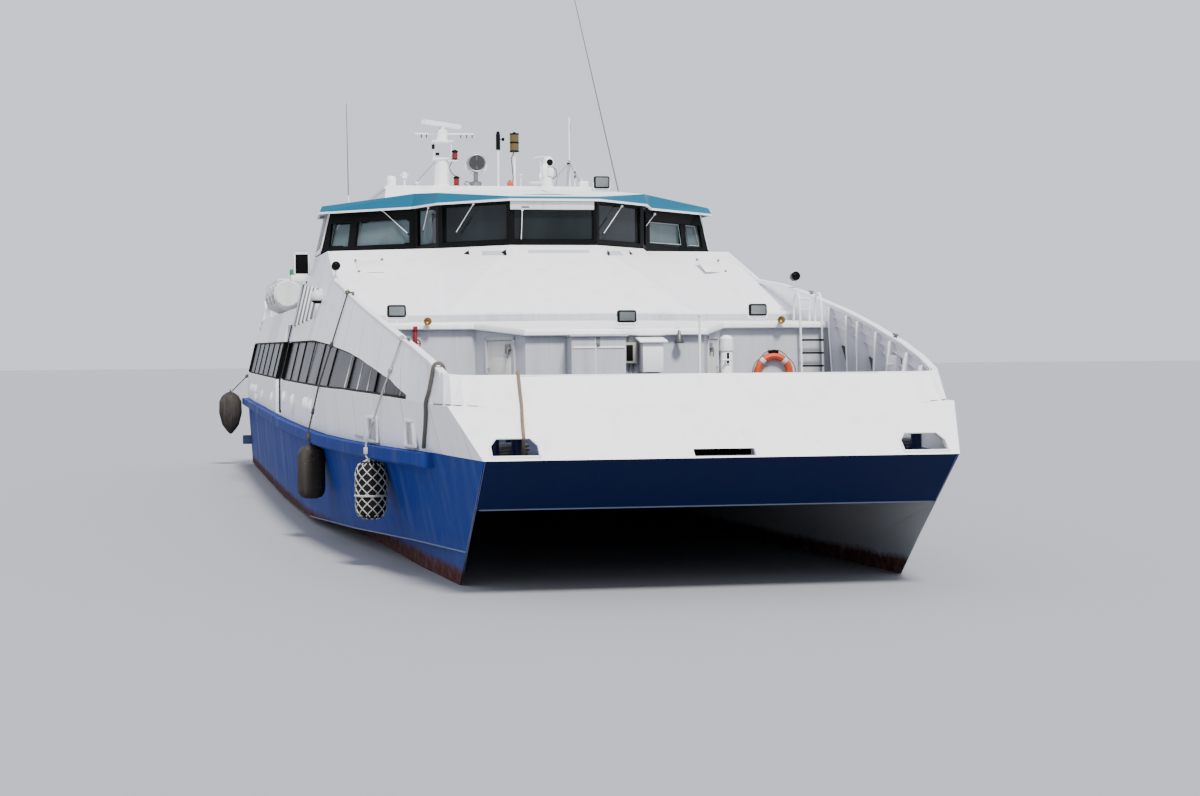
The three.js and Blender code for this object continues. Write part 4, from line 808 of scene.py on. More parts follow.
def principled(name: str, **inputs: object) -> tuple[bpy.types.Material, Nodes, bpy.types.Node]:
    """A new material whose tree holds only a shader and its output.

    Args:
        name: the material's name.
        inputs: values of the shader's inputs, with _ for a space.

    Returns:
        The material, the helper for its tree and the shader.
    """
    material = bpy.data.materials.new(name)
    material.use_nodes = True
    material.node_tree.nodes.clear()
    n = Nodes(material.node_tree)
    shader = n.add("ShaderNodeBsdfPrincipled", **inputs)
    n.feed(n.add("ShaderNodeOutputMaterial"), 0, shader.outputs[0])
    return material, n, shader


@dataclass(frozen=True)
class Finish:
    """A painted, moulded or metal surface and how it has weathered."""

    name: str
    paint: Color
    faded: Color
    grime: Color
    gloss: float = 0.4
    metallic: float = 0.0
    runs: float = 0.25
    patches: float = 0.3
    specks: float = 0.1
    waviness: float = 0.4
    grain: float = 0.05
    bump: float = 0.02
    shine: float = 0.4

    def material(self) -> bpy.types.Material:
        """The finish's material, made once.

        Returns:
            The material.
        """
        if self.name in bpy.data.materials:
            return bpy.data.materials[self.name]
        material, n, shader = principled(self.name, Metallic=self.metallic, Specular_IOR_Level=self.shine)
        weather = n.add("ShaderNodeGroup", node_tree=weather_group(), Paint=(*self.paint, 1),
                        Faded=(*self.faded, 1), Grime=(*self.grime, 1), Gloss=self.gloss, Runs=self.runs,
                        Patches=self.patches, Specks=self.specks, Waviness=self.waviness, Grain=self.grain)
        colour, rough = self.overlay(n, weather.outputs["Color"], weather.outputs["Roughness"])
        n.feed(shader, "Base Color", colour)
        n.feed(shader, "Roughness", rough)
        bump = n.add("ShaderNodeBump", Strength=1.0, Distance=self.bump)
        n.feed(bump, "Height", self.relief(n, weather.outputs["Height"]))
        n.feed(shader, "Normal", bump.outputs[0])
        return material

    def overlay(self, n: Nodes, colour: Socket, rough: Socket) -> tuple[Socket, Socket]:
        """What lies over the paint; a plain finish has nothing there."""
        return colour, rough

    def relief(self, n: Nodes, height: Socket) -> Socket:
        """What stands out of the surface; a plain finish has only its own grain."""
        return height


@dataclass(frozen=True)
class HullFinish(Finish):
    """Blue topsides over dull red antifouling, and light grey on the tunnel side of each hull."""

    tunnel: Color = (0.42, 0.43, 0.44)
    antifouling: Color = (0.07, 0.030, 0.027)
    worn: Color = (0.17, 0.105, 0.10)
    aft_streaks: Color = (0.20, 0.22, 0.27)
    boot_top: float = 0.18
    tunnel_half: float = 3.095
    streaks_between: tuple[float, float] = (9.0, -14.0)

    def overlay(self, n: Nodes, colour: Socket, rough: Socket) -> tuple[Socket, Socket]:
        """Tunnel side, pale streaks aft, waterline stain and antifouling over the blue.

        Args:
            n: the material's nodes.
            colour: the colour so far.
            rough: the roughness so far.

        Returns:
            The new colour and roughness.
        """
        here = n.here()
        x, y, _ = n.split(here)
        inside = n.ramp(n.math("ABSOLUTE", y), self.tunnel_half + 0.002, self.tunnel_half - 0.002)
        ahead, across, _ = n.facing()
        inward = n.ramp(n.times(across, n.math("SIGN", y)), -0.02, -0.06)
        stern = n.ramp(ahead, -0.6, -0.7)
        grey = n.times(n.math("MAXIMUM", inside, inward), n.math("SUBTRACT", 1.0, stern))
        colour = n.mix(grey, colour, (*self.tunnel, 1))
        aft = n.ramp(x, *self.streaks_between)
        streak = n.ramp(n.noise(n.scaled(here, (1.6, 1.6, 0.22)), 1.0, 6.0, 0.6), 0.48, 0.72)
        colour = n.mix(n.times(n.times(aft, streak), 0.6), colour, (*self.aft_streaks, 1))
        stain, bottom = (n.add("ShaderNodeGroup", node_tree=level_group(), Level=self.boot_top,
                               Softness=soft,
                               Wander=wander).outputs[0] for soft, wander in ((0.5, 0.25), (0.10, 0.22)))
        colour = n.mix(n.times(stain, 0.35), colour, (*self.grime, 1))
        worn = n.ramp(n.noise(here, 7.0, 8.0, 0.7), 0.45, 0.7)
        red = n.mix(n.times(worn, 0.7), (*self.antifouling, 1), (*self.worn, 1))
        return n.mix(bottom, colour, red), n.plus(rough, n.times(bottom, 0.4), clamp=True)


@dataclass(frozen=True)
class PlatedFinish(Finish):
    """Welded plating: seams show as faint grey lines that stand a little proud."""

    spacing: float = 1.55
    rake: float = 0.3
    seam: float = 0.65
    seam_width: float = 0.035
    seam_relief: float = 0.3

    def _mask(self, n: Nodes) -> Socket:
        """The seams' mask, on what faces sideways.

        Args:
            n: the material's nodes.

        Returns:
            The mask.
        """
        sideways = n.ramp(n.math("ABSOLUTE", n.facing()[1]), 0.45, 0.55)
        seams = n.add("ShaderNodeGroup", node_tree=seams_group(), Spacing=self.spacing,
                      Width=self.seam_width, Rake=self.rake)
        return n.times(sideways, seams.outputs[0])

    def overlay(self, n: Nodes, colour: Socket, rough: Socket) -> tuple[Socket, Socket]:
        """Seams over the paint."""
        return n.mix(n.times(self._mask(n), self.seam), colour, (*self.grime, 1)), rough

    def relief(self, n: Nodes, height: Socket) -> Socket:
        """Seams stand out of the plate."""
        return n.plus(height, n.times(self._mask(n), self.seam_relief))


@dataclass(frozen=True)
class RoofFinish(Finish):
    """Teal on the brim's leaning face, and white on the lip under it and on the top."""

    white: Color = (0.76, 0.77, 0.80)
    whip_grey: Color = (0.16, 0.165, 0.18)
    face: tuple[float, float] = (5.936, 6.195)
    centre_dip: float = 0.13
    whips_from: float = 6.33

    def overlay(self, n: Nodes, colour: Socket, rough: Socket) -> tuple[Socket, Socket]:
        """White wherever the surface lies flat, or is under or above the face; the whips over it are grey.

        Args:
            n: the material's nodes.
            colour: the colour so far.
            rough: the roughness so far.

        Returns:
            The new colour and roughness.
        """
        _, y, z = n.split(n.here())
        steep = n.ramp(n.math("ABSOLUTE", n.facing()[2]), 0.82, 0.80)
        low, high = self.face
        above = n.ramp(z, low, low + 0.002)
        dip = n.times(n.ramp(n.math("ABSOLUTE", y), 1.2, 0.9), self.centre_dip)
        below = n.ramp(n.plus(z, dip), high + 0.002, high)
        teal = n.times(steep, n.times(above, below))
        whips = n.ramp(z, self.whips_from, self.whips_from + 0.01)
        rest = n.mix(whips, (*self.white, 1), (*self.whip_grey, 1))
        return n.mix(teal, rest, colour), rough


@dataclass(frozen=True)
class BandedFinish(Finish):
    """Grey leaf that is black within the height of the window band."""

    band: tuple[float, float] = (2.63, 3.44)
    black: Color = (0.003, 0.003, 0.0035)

    def overlay(self, n: Nodes, colour: Socket, rough: Socket) -> tuple[Socket, Socket]:
        """Black between two heights.

        Args:
            n: the material's nodes.
            colour: the colour so far.
            rough: the roughness so far.

        Returns:
            The new colour and roughness.
        """
        z = n.split(n.here())[2]
        low, high = self.band
        inside = n.times(n.ramp(z, low, low + 0.002), n.ramp(z, high + 0.002, high))
        return n.mix(inside, colour, (*self.black, 1)), rough


@dataclass(frozen=True)
class Glazing:
    """Tinted glass with a film of salt and pale streaks of painted reflection; what lies further out than the
    wings' start can have its own tint.
    """

    name: str
    tint: Color
    clearness: float
    roughness: float = 0.03
    shine: float = 0.2
    wing_tint: Color | None = None
    wing_from: float = 2.0

    def material(self) -> bpy.types.Material:
        """The glass, made once.

        Returns:
            The material.
        """
        if self.name in bpy.data.materials:
            return bpy.data.materials[self.name]
        material, n, shader = principled(self.name, Metallic=0.0, Transmission_Weight=self.clearness,
                                         IOR=1.45, Specular_IOR_Level=self.shine)
        here = n.here()
        salt_and_reflection = n.ramp(n.noise(n.scaled(here, (2.0, 2.0, 0.6)), 1.0, 5.0, 0.6), 0.4, 0.8)
        # pale streaks that paint reflections on the glass, added to the salt film
        streaks = n.ramp(n.noise(n.scaled(here, (1.1, 1.1, 0.12)), 1.0, 3.0, 0.5), 0.42, 0.62)
        salt_and_reflection = n.times(n.plus(salt_and_reflection, streaks), 0.35, clamp=True)
        pale = tuple(min(1.0, 2.4 * c + 0.01) for c in self.tint)
        colour = n.mix(salt_and_reflection, (*self.tint, 1), (*pale, 1))
        if self.wing_tint is not None:
            wing = n.ramp(n.math("ABSOLUTE", n.split(here)[1]), self.wing_from, self.wing_from + 0.02)
            colour = n.mix(wing, colour, n.mix(salt_and_reflection, (*self.wing_tint, 1),
                                               (*(1.7 * c for c in self.wing_tint), 1)))
        n.feed(shader, "Base Color", colour)
        n.feed(shader, "Roughness", n.plus(n.times(salt_and_reflection, 0.12), self.roughness))
        return material


WHITE = PlatedFinish("white topside paint", (0.9, 0.905, 0.93), (0.83, 0.84, 0.87), (0.42, 0.42, 0.43),
                     gloss=0.38, runs=0.22, patches=0.35, specks=0.08, waviness=1.0, bump=0.012)
WHITE_PLAIN = Finish("white fitting paint", (0.88, 0.885, 0.9), (0.79, 0.8, 0.82), (0.34, 0.31, 0.28),
                     patches=0.25, specks=0.12, bump=0.002)
BLUE = HullFinish("hull blue", (0.008, 0.03, 0.2), (0.018, 0.052, 0.25), (0.09, 0.12, 0.22), gloss=0.55,
                  shine=0.03, runs=0.5, patches=0.5, specks=0.12, waviness=1.0, bump=0.012)
# Hull blue made much darker: painted shade on the bridge deck, whose front plate under the bow faces down
# into shade
BOW_BLUE_PAINTED_SHADE = HullFinish("bow blue in painted shade", (0.0018, 0.0075, 0.046), (0.0024, 0.0095, 0.056), (0.006, 0.01, 0.03),
                  gloss=0.5, shine=0.06, runs=0.35, specks=0.08, waviness=1.0, bump=0.012, tunnel_half=-1.0)
BULKHEAD_GREY = Finish("bulkhead grey", (0.5, 0.52, 0.55), (0.44, 0.46, 0.49), (0.22, 0.2, 0.19),
                       gloss=0.45, runs=0.4, patches=0.4, specks=0.15, waviness=0.8, bump=0.008)
DECK = Finish("non-slip deck paint", (0.24, 0.26, 0.27), (0.3, 0.31, 0.31), (0.12, 0.11, 0.1), gloss=0.75,
              runs=0.0, patches=0.6, specks=0.35, waviness=0.3, grain=1.0, bump=0.004)
TEAL = RoofFinish("teal roof paint", (0.01, 0.115, 0.2), (0.014, 0.135, 0.225), (0.05, 0.13, 0.17),
                  gloss=0.5, shine=0.1, patches=0.4, specks=0.08, waviness=0.6, bump=0.006)
BLACK = Finish("black frame paint", (0.0025, 0.0027, 0.003), (0.004, 0.0042, 0.0045), (0.01, 0.01, 0.01),
               gloss=0.5, shine=0.08, bump=0.003)
RUBBER = Finish("fender rubber", (0.006, 0.006, 0.0065), (0.012, 0.012, 0.0125), (0.05, 0.048, 0.042),
                gloss=0.7, shine=0.15, runs=0.5, patches=0.7, specks=0.5, waviness=0.8, grain=0.4,
                bump=0.01)
ORANGE = Finish("lifebuoy orange", (0.55, 0.055, 0.012), (0.5, 0.09, 0.03), (0.3, 0.12, 0.06), gloss=0.55,
                runs=0.1, patches=0.5, specks=0.2, grain=0.3, bump=0.002)
CANISTER = Finish("canister gelcoat", (0.66, 0.67, 0.66), (0.58, 0.58, 0.56), (0.28, 0.26, 0.22),
                  gloss=0.35, runs=0.4, patches=0.4, specks=0.15, bump=0.003)
STEEL = Finish("worn steel", (0.3, 0.3, 0.3), (0.33, 0.32, 0.31), (0.18, 0.11, 0.07), gloss=0.38,
               metallic=1.0, runs=0.4, patches=0.5, specks=0.3, grain=0.4, bump=0.003)
CAST = Finish("cast grey steel", (0.2, 0.21, 0.22), (0.15, 0.155, 0.16), (0.16, 0.09, 0.05), gloss=0.5,
              metallic=0.4, runs=0.5, patches=0.5, specks=0.4, grain=0.6, bump=0.004)
BRONZE = Finish("propeller bronze", (0.46, 0.29, 0.12), (0.36, 0.25, 0.13), (0.12, 0.15, 0.1), gloss=0.3,
                metallic=1.0, runs=0.2, patches=0.5, specks=0.2, bump=0.003)
BELL = Finish("bell metal", (0.1, 0.1, 0.1), (0.075, 0.077, 0.08), (0.1, 0.09, 0.08), gloss=0.35,
              metallic=0.7, runs=0.3, patches=0.4, specks=0.2, bump=0.001)
BROWN_RUBBER = Finish("worn fender rubber", (0.034, 0.029, 0.025), (0.085, 0.075, 0.066),
                      (0.15, 0.135, 0.12), gloss=0.85, shine=0.12, runs=0.5, patches=0.8, specks=0.7,
                      waviness=1.0, grain=0.6, bump=0.014)
DARK_ROPE = Finish("dark hemp rope", (0.12, 0.11, 0.095), (0.18, 0.165, 0.145), (0.03, 0.028, 0.025),
                   gloss=0.9, runs=0.2, patches=0.6, specks=0.6, grain=1.0, bump=0.006)
TAN_ROPE = Finish("tan mooring rope", (0.18, 0.125, 0.09), (0.26, 0.2, 0.15), (0.07, 0.05, 0.04), gloss=0.9,
                  runs=0.2, patches=0.6, specks=0.6, grain=1.0, bump=0.006)
NAVY_PLAIN = Finish("bollard navy", (0.012, 0.022, 0.11), (0.02, 0.035, 0.14), (0.05, 0.05, 0.07),
                    gloss=0.45, runs=0.3, patches=0.5, specks=0.3, bump=0.002)
GREEN = Finish("green lamp glass", (0.02, 0.22, 0.08), (0.03, 0.18, 0.08), (0.05, 0.08, 0.06), gloss=0.15,
               runs=0.1, bump=0.001)
DOOR_GREY = BandedFinish("boarding door grey", (0.34, 0.355, 0.4), (0.29, 0.305, 0.35), (0.18, 0.18, 0.18),
                         gloss=0.5, shine=0.15, runs=0.35, patches=0.35, specks=0.15, bump=0.003)
BRASS = Finish("horn brass", (0.55, 0.38, 0.16), (0.42, 0.3, 0.14), (0.12, 0.1, 0.06), gloss=0.32,
               metallic=1.0, runs=0.2, patches=0.4, specks=0.2, bump=0.001)
SEAT = Finish("seat cloth", (0.03, 0.045, 0.09), (0.05, 0.07, 0.12), (0.02, 0.02, 0.03), gloss=0.85,
              runs=0.0, patches=0.4, specks=0.4, grain=1.0, bump=0.003)
ENGINE = Finish("engine paint", (0.18, 0.24, 0.22), (0.14, 0.18, 0.17), (0.05, 0.045, 0.04), gloss=0.5,
                runs=0.5, patches=0.5, specks=0.4, bump=0.004)
RED = Finish("red fitting paint", (0.19, 0.004, 0.01), (0.15, 0.006, 0.012), (0.15, 0.05, 0.04), runs=0.3,
             patches=0.4, specks=0.2, bump=0.001)
AMBER = Finish("amber lamp", (0.1, 0.072, 0.022), (0.08, 0.06, 0.025), (0.2, 0.15, 0.08), gloss=0.15,
               runs=0.1, bump=0.001)
ROPE = Finish("weathered rope", (0.055, 0.047, 0.038), (0.12, 0.105, 0.085), (0.02, 0.018, 0.016),
              gloss=0.9, runs=0.2, patches=0.6, specks=0.6, grain=1.0, bump=0.006)
NET = Finish("fender net rope", (0.45, 0.45, 0.42), (0.36, 0.36, 0.33), (0.12, 0.11, 0.09), gloss=0.9,
             runs=0.2, patches=0.6, specks=0.6, grain=1.0, bump=0.004)
FRAME_GREY = Finish("window frame grey", (0.36, 0.39, 0.4), (0.3, 0.32, 0.33), (0.14, 0.14, 0.13),
                    gloss=0.35, metallic=0.3, runs=0.2, bump=0.001)
FRAME_WHITE = Finish("box grey-white", (0.58, 0.6, 0.61), (0.5, 0.52, 0.53), (0.25, 0.23, 0.21), runs=0.35,
                     specks=0.15, bump=0.001)
BOX_BEIGE = Finish("switch box beige", (0.36, 0.345, 0.31), (0.3, 0.29, 0.265), (0.16, 0.14, 0.12),
                   gloss=0.5, runs=0.4)
HULL_LINE = Finish("hull weld grey", (0.13, 0.17, 0.28), (0.2, 0.23, 0.3), (0.1, 0.1, 0.1), gloss=0.6,
                   runs=0.5)
PAD_GREY = Finish("non-slip pad grey", (0.5, 0.51, 0.53), (0.44, 0.45, 0.47), (0.25, 0.24, 0.23), gloss=0.8,
                  runs=0.1, patches=0.4, specks=0.4, grain=1.0, bump=0.002)
CREAM = Finish("door leaf cream", (0.66, 0.66, 0.62), (0.58, 0.58, 0.54), (0.28, 0.25, 0.21), gloss=0.42,
               runs=0.35, patches=0.35, specks=0.15, bump=0.002)
SIDE_GLASS = Glazing("side glass", (0.026, 0.027, 0.03), 0.03, 0.25, 0.06)
DOOR_GLASS = Glazing("door glass", (0.003, 0.0034, 0.004), 0.02, 0.3, 0.02)
WHEELHOUSE_GLASS = Glazing("wheelhouse glass", (0.01, 0.014, 0.016), 0.3, 0.03, 0.12, (0.1, 0.14, 0.15))
LENS = Glazing("lamp glass", (0.13, 0.145, 0.15), 0.3, 0.12)
SEARCH_GLASS = Glazing("searchlight glass", (0.03, 0.032, 0.034), 0.3, 0.1, 0.3)

NODE_FINISHES: dict[str, Finish | Glazing] = {
    "hull": BLUE, "rudder": BLUE, "bridge_deck": BOW_BLUE_PAINTED_SHADE, "side_shell": WHITE, "bow_bulwark": WHITE,
    "front_roof": WHITE, "stern_bulkhead": WHITE_PLAIN, "upper_saloon_glass": SIDE_GLASS,
    "upper_saloon_door": WHITE_PLAIN, "upper_saloon_roof": WHITE_PLAIN, "upper_saloon": WHITE,
    "guard_rail": WHITE_PLAIN, "radar_mast": WHITE_PLAIN, "radar_scanner": WHITE_PLAIN,
    "wheelhouse_door": WHITE_PLAIN, "engine_room_cover": DECK, "upper_deck": DECK,
    "foredeck_bulkhead": BULKHEAD_GREY, "foredeck_door": CREAM, "stern_door": WHITE_PLAIN,
    "stairs": BULKHEAD_GREY, "foredeck_locker_lid": BULKHEAD_GREY, "foredeck_locker": BULKHEAD_GREY,
    "wheelhouse_glass": WHEELHOUSE_GLASS, "wheelhouse_roof": TEAL, "wheelhouse": BLACK,
    "side_light_screen": BLACK, "boarding_door": DOOR_GREY, "side_glass": SIDE_GLASS, "liferafts": CANISTER,
    "helm_station": BLACK, "cabin_seats": SEAT, "lifebuoy": ORANGE, "windlass": CAST, "searchlight": STEEL,
    "shaft_line": STEEL, "propeller": BRONZE, "fender": RUBBER, "engine": ENGINE,
}


def dress(obj: Object, finish: Finish | Glazing) -> None:
    """Gives an object one finish all over."""
    obj.data.materials.clear()
    obj.data.materials.append(finish.material())


def dress_frame(nodes: dict[str, Object]) -> None:
    """Gives every carried-over node the finish whose key its name starts with, the longest key first.

    Args:
        nodes: the carried-over nodes by name.
    """
    keys = sorted(NODE_FINISHES, key=len, reverse=True)
    for name, node in nodes.items():
        key = next(k for k in keys if name.startswith(k))
        dress(node, NODE_FINISHES[key])
    LOG.info("dressed %d nodes", len(nodes))


@dataclass
class BulwarkTrim:
    """Cap rails along the bulwark's top edge, and the frames and stringers inside it."""

    cap_from_x: float = 6.35
    cap_width: float = 0.11
    cap_depth: float = 0.06
    proud: float = 0.012
    frame_x: tuple[float, ...] = (11.3, 12.42, 13.16, 14.35, 15.25, 16.3, 17.2)
    frame_foot: float = 0.26
    frame_head: float = 0.09
    frame_web: float = 0.012
    flange: float = 0.06
    stringer_drop: tuple[float, ...] = (0.21, 0.36)
    stringer_depth: float = 0.06
    # Points along the seam where it rounds the bow corner; dark bars there paint the shadow line under the
    # upper plate's edge
    seam_shadow_line: tuple[Point, ...] = ((17.4, 3.497, 2.462), (17.889, 3.451, 2.464), (18.167, 3.383, 2.462),
                                (18.311, 3.272, 2.456), (18.392, 3.150, 2.449), (18.434, 3.046, 2.444))

    def caps(self) -> None:
        """Rounded flat bars on the top edges, round the corners and tapered to the bow's thin edge."""
        piece = Piece("bulwark_cap_rails")
        low, top = -self.cap_depth, 0.006
        for side in BOTH:
            outer, inner = side.value * self.proud, side.value * (self.proud - self.cap_width)
            lip = 0.012 * side.value
            section = [(0, outer, low), (0, outer, top - 0.012), (0, outer - lip, top),
                       (0, inner + lip, top), (0, inner, top - 0.012), (0, inner, low)]
            piece.run(section, [side.at(r[0], r[4], r[5]) for r in SIDE_ROWS if r[0] >= self.cap_from_x])
            corner = [side.at(x, y - 0.03, z - 0.016) for x, y, z in BOW_CORNER]
            piece.run([(0, 0, 0), (0.03, 0, 0), (0.03, 0, 0.02), (0, 0, 0.02)],
                      [corner[-1], side.at(17.97, 0.0, 2.824)])
            piece.bars(corner, 0.022)
        piece.done(WHITE_PLAIN, "white_paint")

    def frames(self) -> None:
        """Tapered webs with a flange, from the deck to under the cap rail."""
        piece = Piece("bulwark_frames")
        for side in BOTH:
            for x in self.frame_x:
                top_z = interpolate(SIDE_ROWS, x, 5) - self.cap_depth
                foot = deck_z(x) + 0.002
                levels = (foot, interpolate(SIDE_ROWS, x, 3), top_z)
                wall = [(side_y(x, z) - SHELL_WALL + 0.01, z) for z in levels]
                inner = [(wall[2][0] - self.frame_head, top_z), (wall[0][0] - self.frame_foot, foot)]
                piece.plate([side.at(x, y, z) for y, z in (*wall, *inner)], (self.frame_web, 0, 0))
                half = (self.flange - self.frame_web) / 2
                (y0, z0), (y1, z1) = inner
                strip = [side.at(x - half, y0, z0), side.at(x - half, y1, z1),
                         side.at(x - half, y1 - 0.01, z1), side.at(x - half, y0 - 0.01, z0)]
                piece.plate(strip, (self.flange, 0, 0))
        piece.done(WHITE_PLAIN, "white_paint")

    def stringers(self) -> None:
        """Flat bars along the inside of the bulwark."""
        piece = Piece("bulwark_stringers")
        xs = [11.0, *[r[0] for r in SIDE_ROWS if 11.0 < r[0] < 17.5], 17.5]
        for side in BOTH:
            for drop in self.stringer_drop:
                path = []
                for x in xs:
                    z = interpolate(SIDE_ROWS, x, 5) - drop
                    path.append(side.at(x, side_y(x, z) - SHELL_WALL + 0.01, z))
                depth = -side.value * self.stringer_depth
                piece.run([(0, 0, 0), (0, depth, 0), (0, depth, 0.01), (0, 0, 0.01)], path)
        piece.done(WHITE_PLAIN, "white_paint")

    def fairleads(self) -> None:
        """Rounded rims round the fairleads in the sides and the mooring openings in the bow, grey boxes
        behind the fairleads and a black block in the bow slot as painted shade, and dark bars along the bow's
        seam as a painted shadow line.
        """
        piece, recess, dark = Piece("fairlead_rims"), Piece("fairlead_recesses"), Piece("fairlead_rollers")
        # black block in the bow slot: painted shadow in the opening
        shadow = Piece("bow_slot_lining")
        shadow.block((18.80, -0.46, 1.79), (18.88, 0.46, 1.96), 0.004)
        for side in BOTH:
            for x0, x1, z0, z1 in ((13.5, 14.15, 1.84, 2.20), (15.7, 16.2, 1.84, 2.20)):
                y = side_y((x0 + x1) / 2, 2.0)
                slope = (side_y(x1, 2.0) - side_y(x0, 2.0)) / 2
                corners = [side.at(x0, y - slope, z0), side.at(x1, y + slope, z0),
                           side.at(x1, y + slope, z1), side.at(x0, y - slope, z1)]
                line = [tuple(Vector(c) + Vector((0, side.value * 0.012, 0)))
                        for c in (*corners, corners[0], corners[1])]
                piece.bars(line, 0.03, 10)
                # grey boxes behind each fairlead: painted shade inside the opening
                recess.block(side.at(x0 - 0.03, y - 0.28, z0 - 0.02),
                             side.at(x1 + 0.03, y - 0.25, z1 + 0.04))
                recess.block(side.at(x1 + 0.01, y - 0.26, z0), side.at(x1 + 0.03, y - 0.03, z1), 0.002)
                dark.bar(side.at(x0 + 0.05, y - 0.13, z0 + 0.07), side.at(x1 - 0.05, y - 0.13, z0 + 0.07),
                         0.05, 14, 0.01)
                dark.bar(side.at(x0 + 0.3, y - 0.13, z0), side.at(x0 + 0.3, y - 0.13, z1), 0.03, 12)
            for corner_y in (2.385, 3.005):
                piece.bar(side.at(19.345, corner_y, 1.83), side.at(19.175, corner_y, 1.958), 0.014, 8)
            inner, outer = side.at(19.05, 2.475, 2.052), side.at(19.05, 2.915, 2.052)
            piece.bar(inner, outer, 0.014, 8)
            piece.bar(inner, side.at(19.175, 2.385, 1.958), 0.014, 8)
            piece.bar(outer, side.at(19.175, 3.005, 1.958), 0.014, 8)
            piece.block(side.at(19.30, 2.38, 1.80), side.at(19.375, 3.01, 1.842), 0.012)
        piece.done(WHITE_PLAIN, "white_paint")
        # dark bars along the bow's seam: painted shadow under the upper plate
        for side in BOTH:
            dark.bars([side.at(*p) for p in self.seam_shadow_line], 0.011)
        recess.done(FRAME_GREY, "panel_grey")
        dark.done(CAST, "steel")
        shadow.done(BLACK, "wheelhouse_black")

    def build(self) -> None:
        """Builds all of it."""
        self.caps()
        self.frames()
        self.stringers()
        self.fairleads()


@dataclass
class SideWindows:
    """Joints and borders of the glass in the side bands, and the glazed leaves of the boarding doors."""

    aft: tuple[float, float] = (-19.0, -3.42)
    fore: tuple[float, float] = (-0.98, 15.8)
    pitch: tuple[float, float] = (2.6, 2.0)
    joint: float = 0.07
    border: float = 0.03
    glass_inset: float = 0.07

    BAND = ((-19.0, 2.66, 3.51), (-2.9, 2.615, 3.44), (1.0, 2.61, 3.42), (5.2, 2.60, 3.41),
            (7.5, 2.59, 3.35), (9.0, 2.585, 3.30), (10.3, 2.582, 3.23), (11.4, 2.58, 3.16),
            (12.4, 2.565, 3.07),
            (13.5, 2.55, 2.94), (14.8, 2.52, 2.77), (15.8, 2.495, 2.56))

    def _glass(self, side: Side, x: float, z: float, proud: float) -> Point:
        """A place in front of the glass."""
        return side.at(x, side_y(x, z) - self.glass_inset + proud, z)

    def joints(self) -> None:
        """Upright black joints between the panes."""
        piece = Piece("side_window_joints")
        for side in BOTH:
            for (x0, x1), pitch in zip((self.aft, self.fore), self.pitch):
                count = max(2, round((x1 - x0) / pitch))
                for i in range(1, count):
                    x = x0 + (x1 - x0) * i / count
                    low, high = (interpolate(self.BAND, x, c) for c in (1, 2))
                    if high - low < 0.15:
                        continue
                    seam = interpolate(SIDE_ROWS, x, 3) + 0.03
                    levels = [low + 0.004, high - 0.004]
                    if seam > low + 0.02:
                        levels.insert(1, seam)
                    face = [self._glass(side, x, z, 0.022) for z in levels]
                    back = [self._glass(side, x, z, 0.001) for z in reversed(levels)]
                    piece.plate([*face, *back], (self.joint, 0, 0))
        piece.done(BLACK, "wheelhouse_black")

    def borders(self) -> None:
        """Rubber borders along the top and bottom edges of the glass."""
        piece = Piece("side_window_borders")
        for side in BOTH:
            for x0, x1 in (self.aft, self.fore):
                xs = [x0, *[b[0] for b in self.BAND if x0 < b[0] < x1 - 0.05], x1 - 0.02]
                for column, step in ((1, self.border), (2, -self.border)):
                    path = [self._glass(side, x, interpolate(self.BAND, x, column), 0.0) for x in xs]
                    depth = side.value * 0.045
                    piece.run([(0, 0, 0), (0, depth, 0), (0, depth, step), (0, 0, step)], path)
        piece.done(RUBBER, "wheelhouse_black")

    def door_panes(self) -> None:
        """Two dark panes on each boarding door."""
        for side, label in LABELLED:
            body = f"boarding_door_{label}"
            face = max(abs(corner[1]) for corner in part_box(body))
            pane = Piece(f"boarding_door_pane_{label}")
            for x0 in (-3.22, -2.16):
                (z0, y0), (z1, y1) = (2.72, face - 0.017), (3.46, face - 0.195)
                corners = [side.at(x0, y0, z0), side.at(x0 + 0.98, y0, z0), side.at(x0 + 0.98, y1, z1),
                           side.at(x0, y1, z1)]
                pane.plate(corners, (0, -side.value * 0.012, 0), 0.003)
            pane.done(DOOR_GLASS, "dark_glass", body)

    def doorways(self) -> None:
        """Black cover plates beside the doorways, and black linings on the jambs and the band's end."""
        plates = Piece("boarding_door_surrounds")
        for side in BOTH:
            for x0, x1 in ((-3.42, -3.29), (-1.11, -0.98)):
                low, high = (interpolate(self.BAND, x1, c) for c in (1, 2))
                rows = [(x, side_y(x, z) + 0.001, z)
                        for x, z in ((x0, low), (x1, low), (x1, high), (x0, high))]
                plates.plate([side.at(*row) for row in rows], (0, side.value * 0.006, 0))
            for x, low, high in ((-3.298, 2.62, 3.44), (-0.979, 2.64, 3.40), (-18.999, 2.69, 3.48)):
                jamb = [side.at(x, side_y(x, z) + inset, z) for z, inset in
                        ((low, 0.004), (high, 0.004), (high, -SHELL_WALL), (low, -SHELL_WALL))]
                plates.plate(jamb, (0.006, 0, 0))
        plates.done(BLACK, "wheelhouse_black")

    def build(self) -> None:
        """Builds all of it."""
        self.joints()
        self.borders()
        self.door_panes()
        self.doorways()


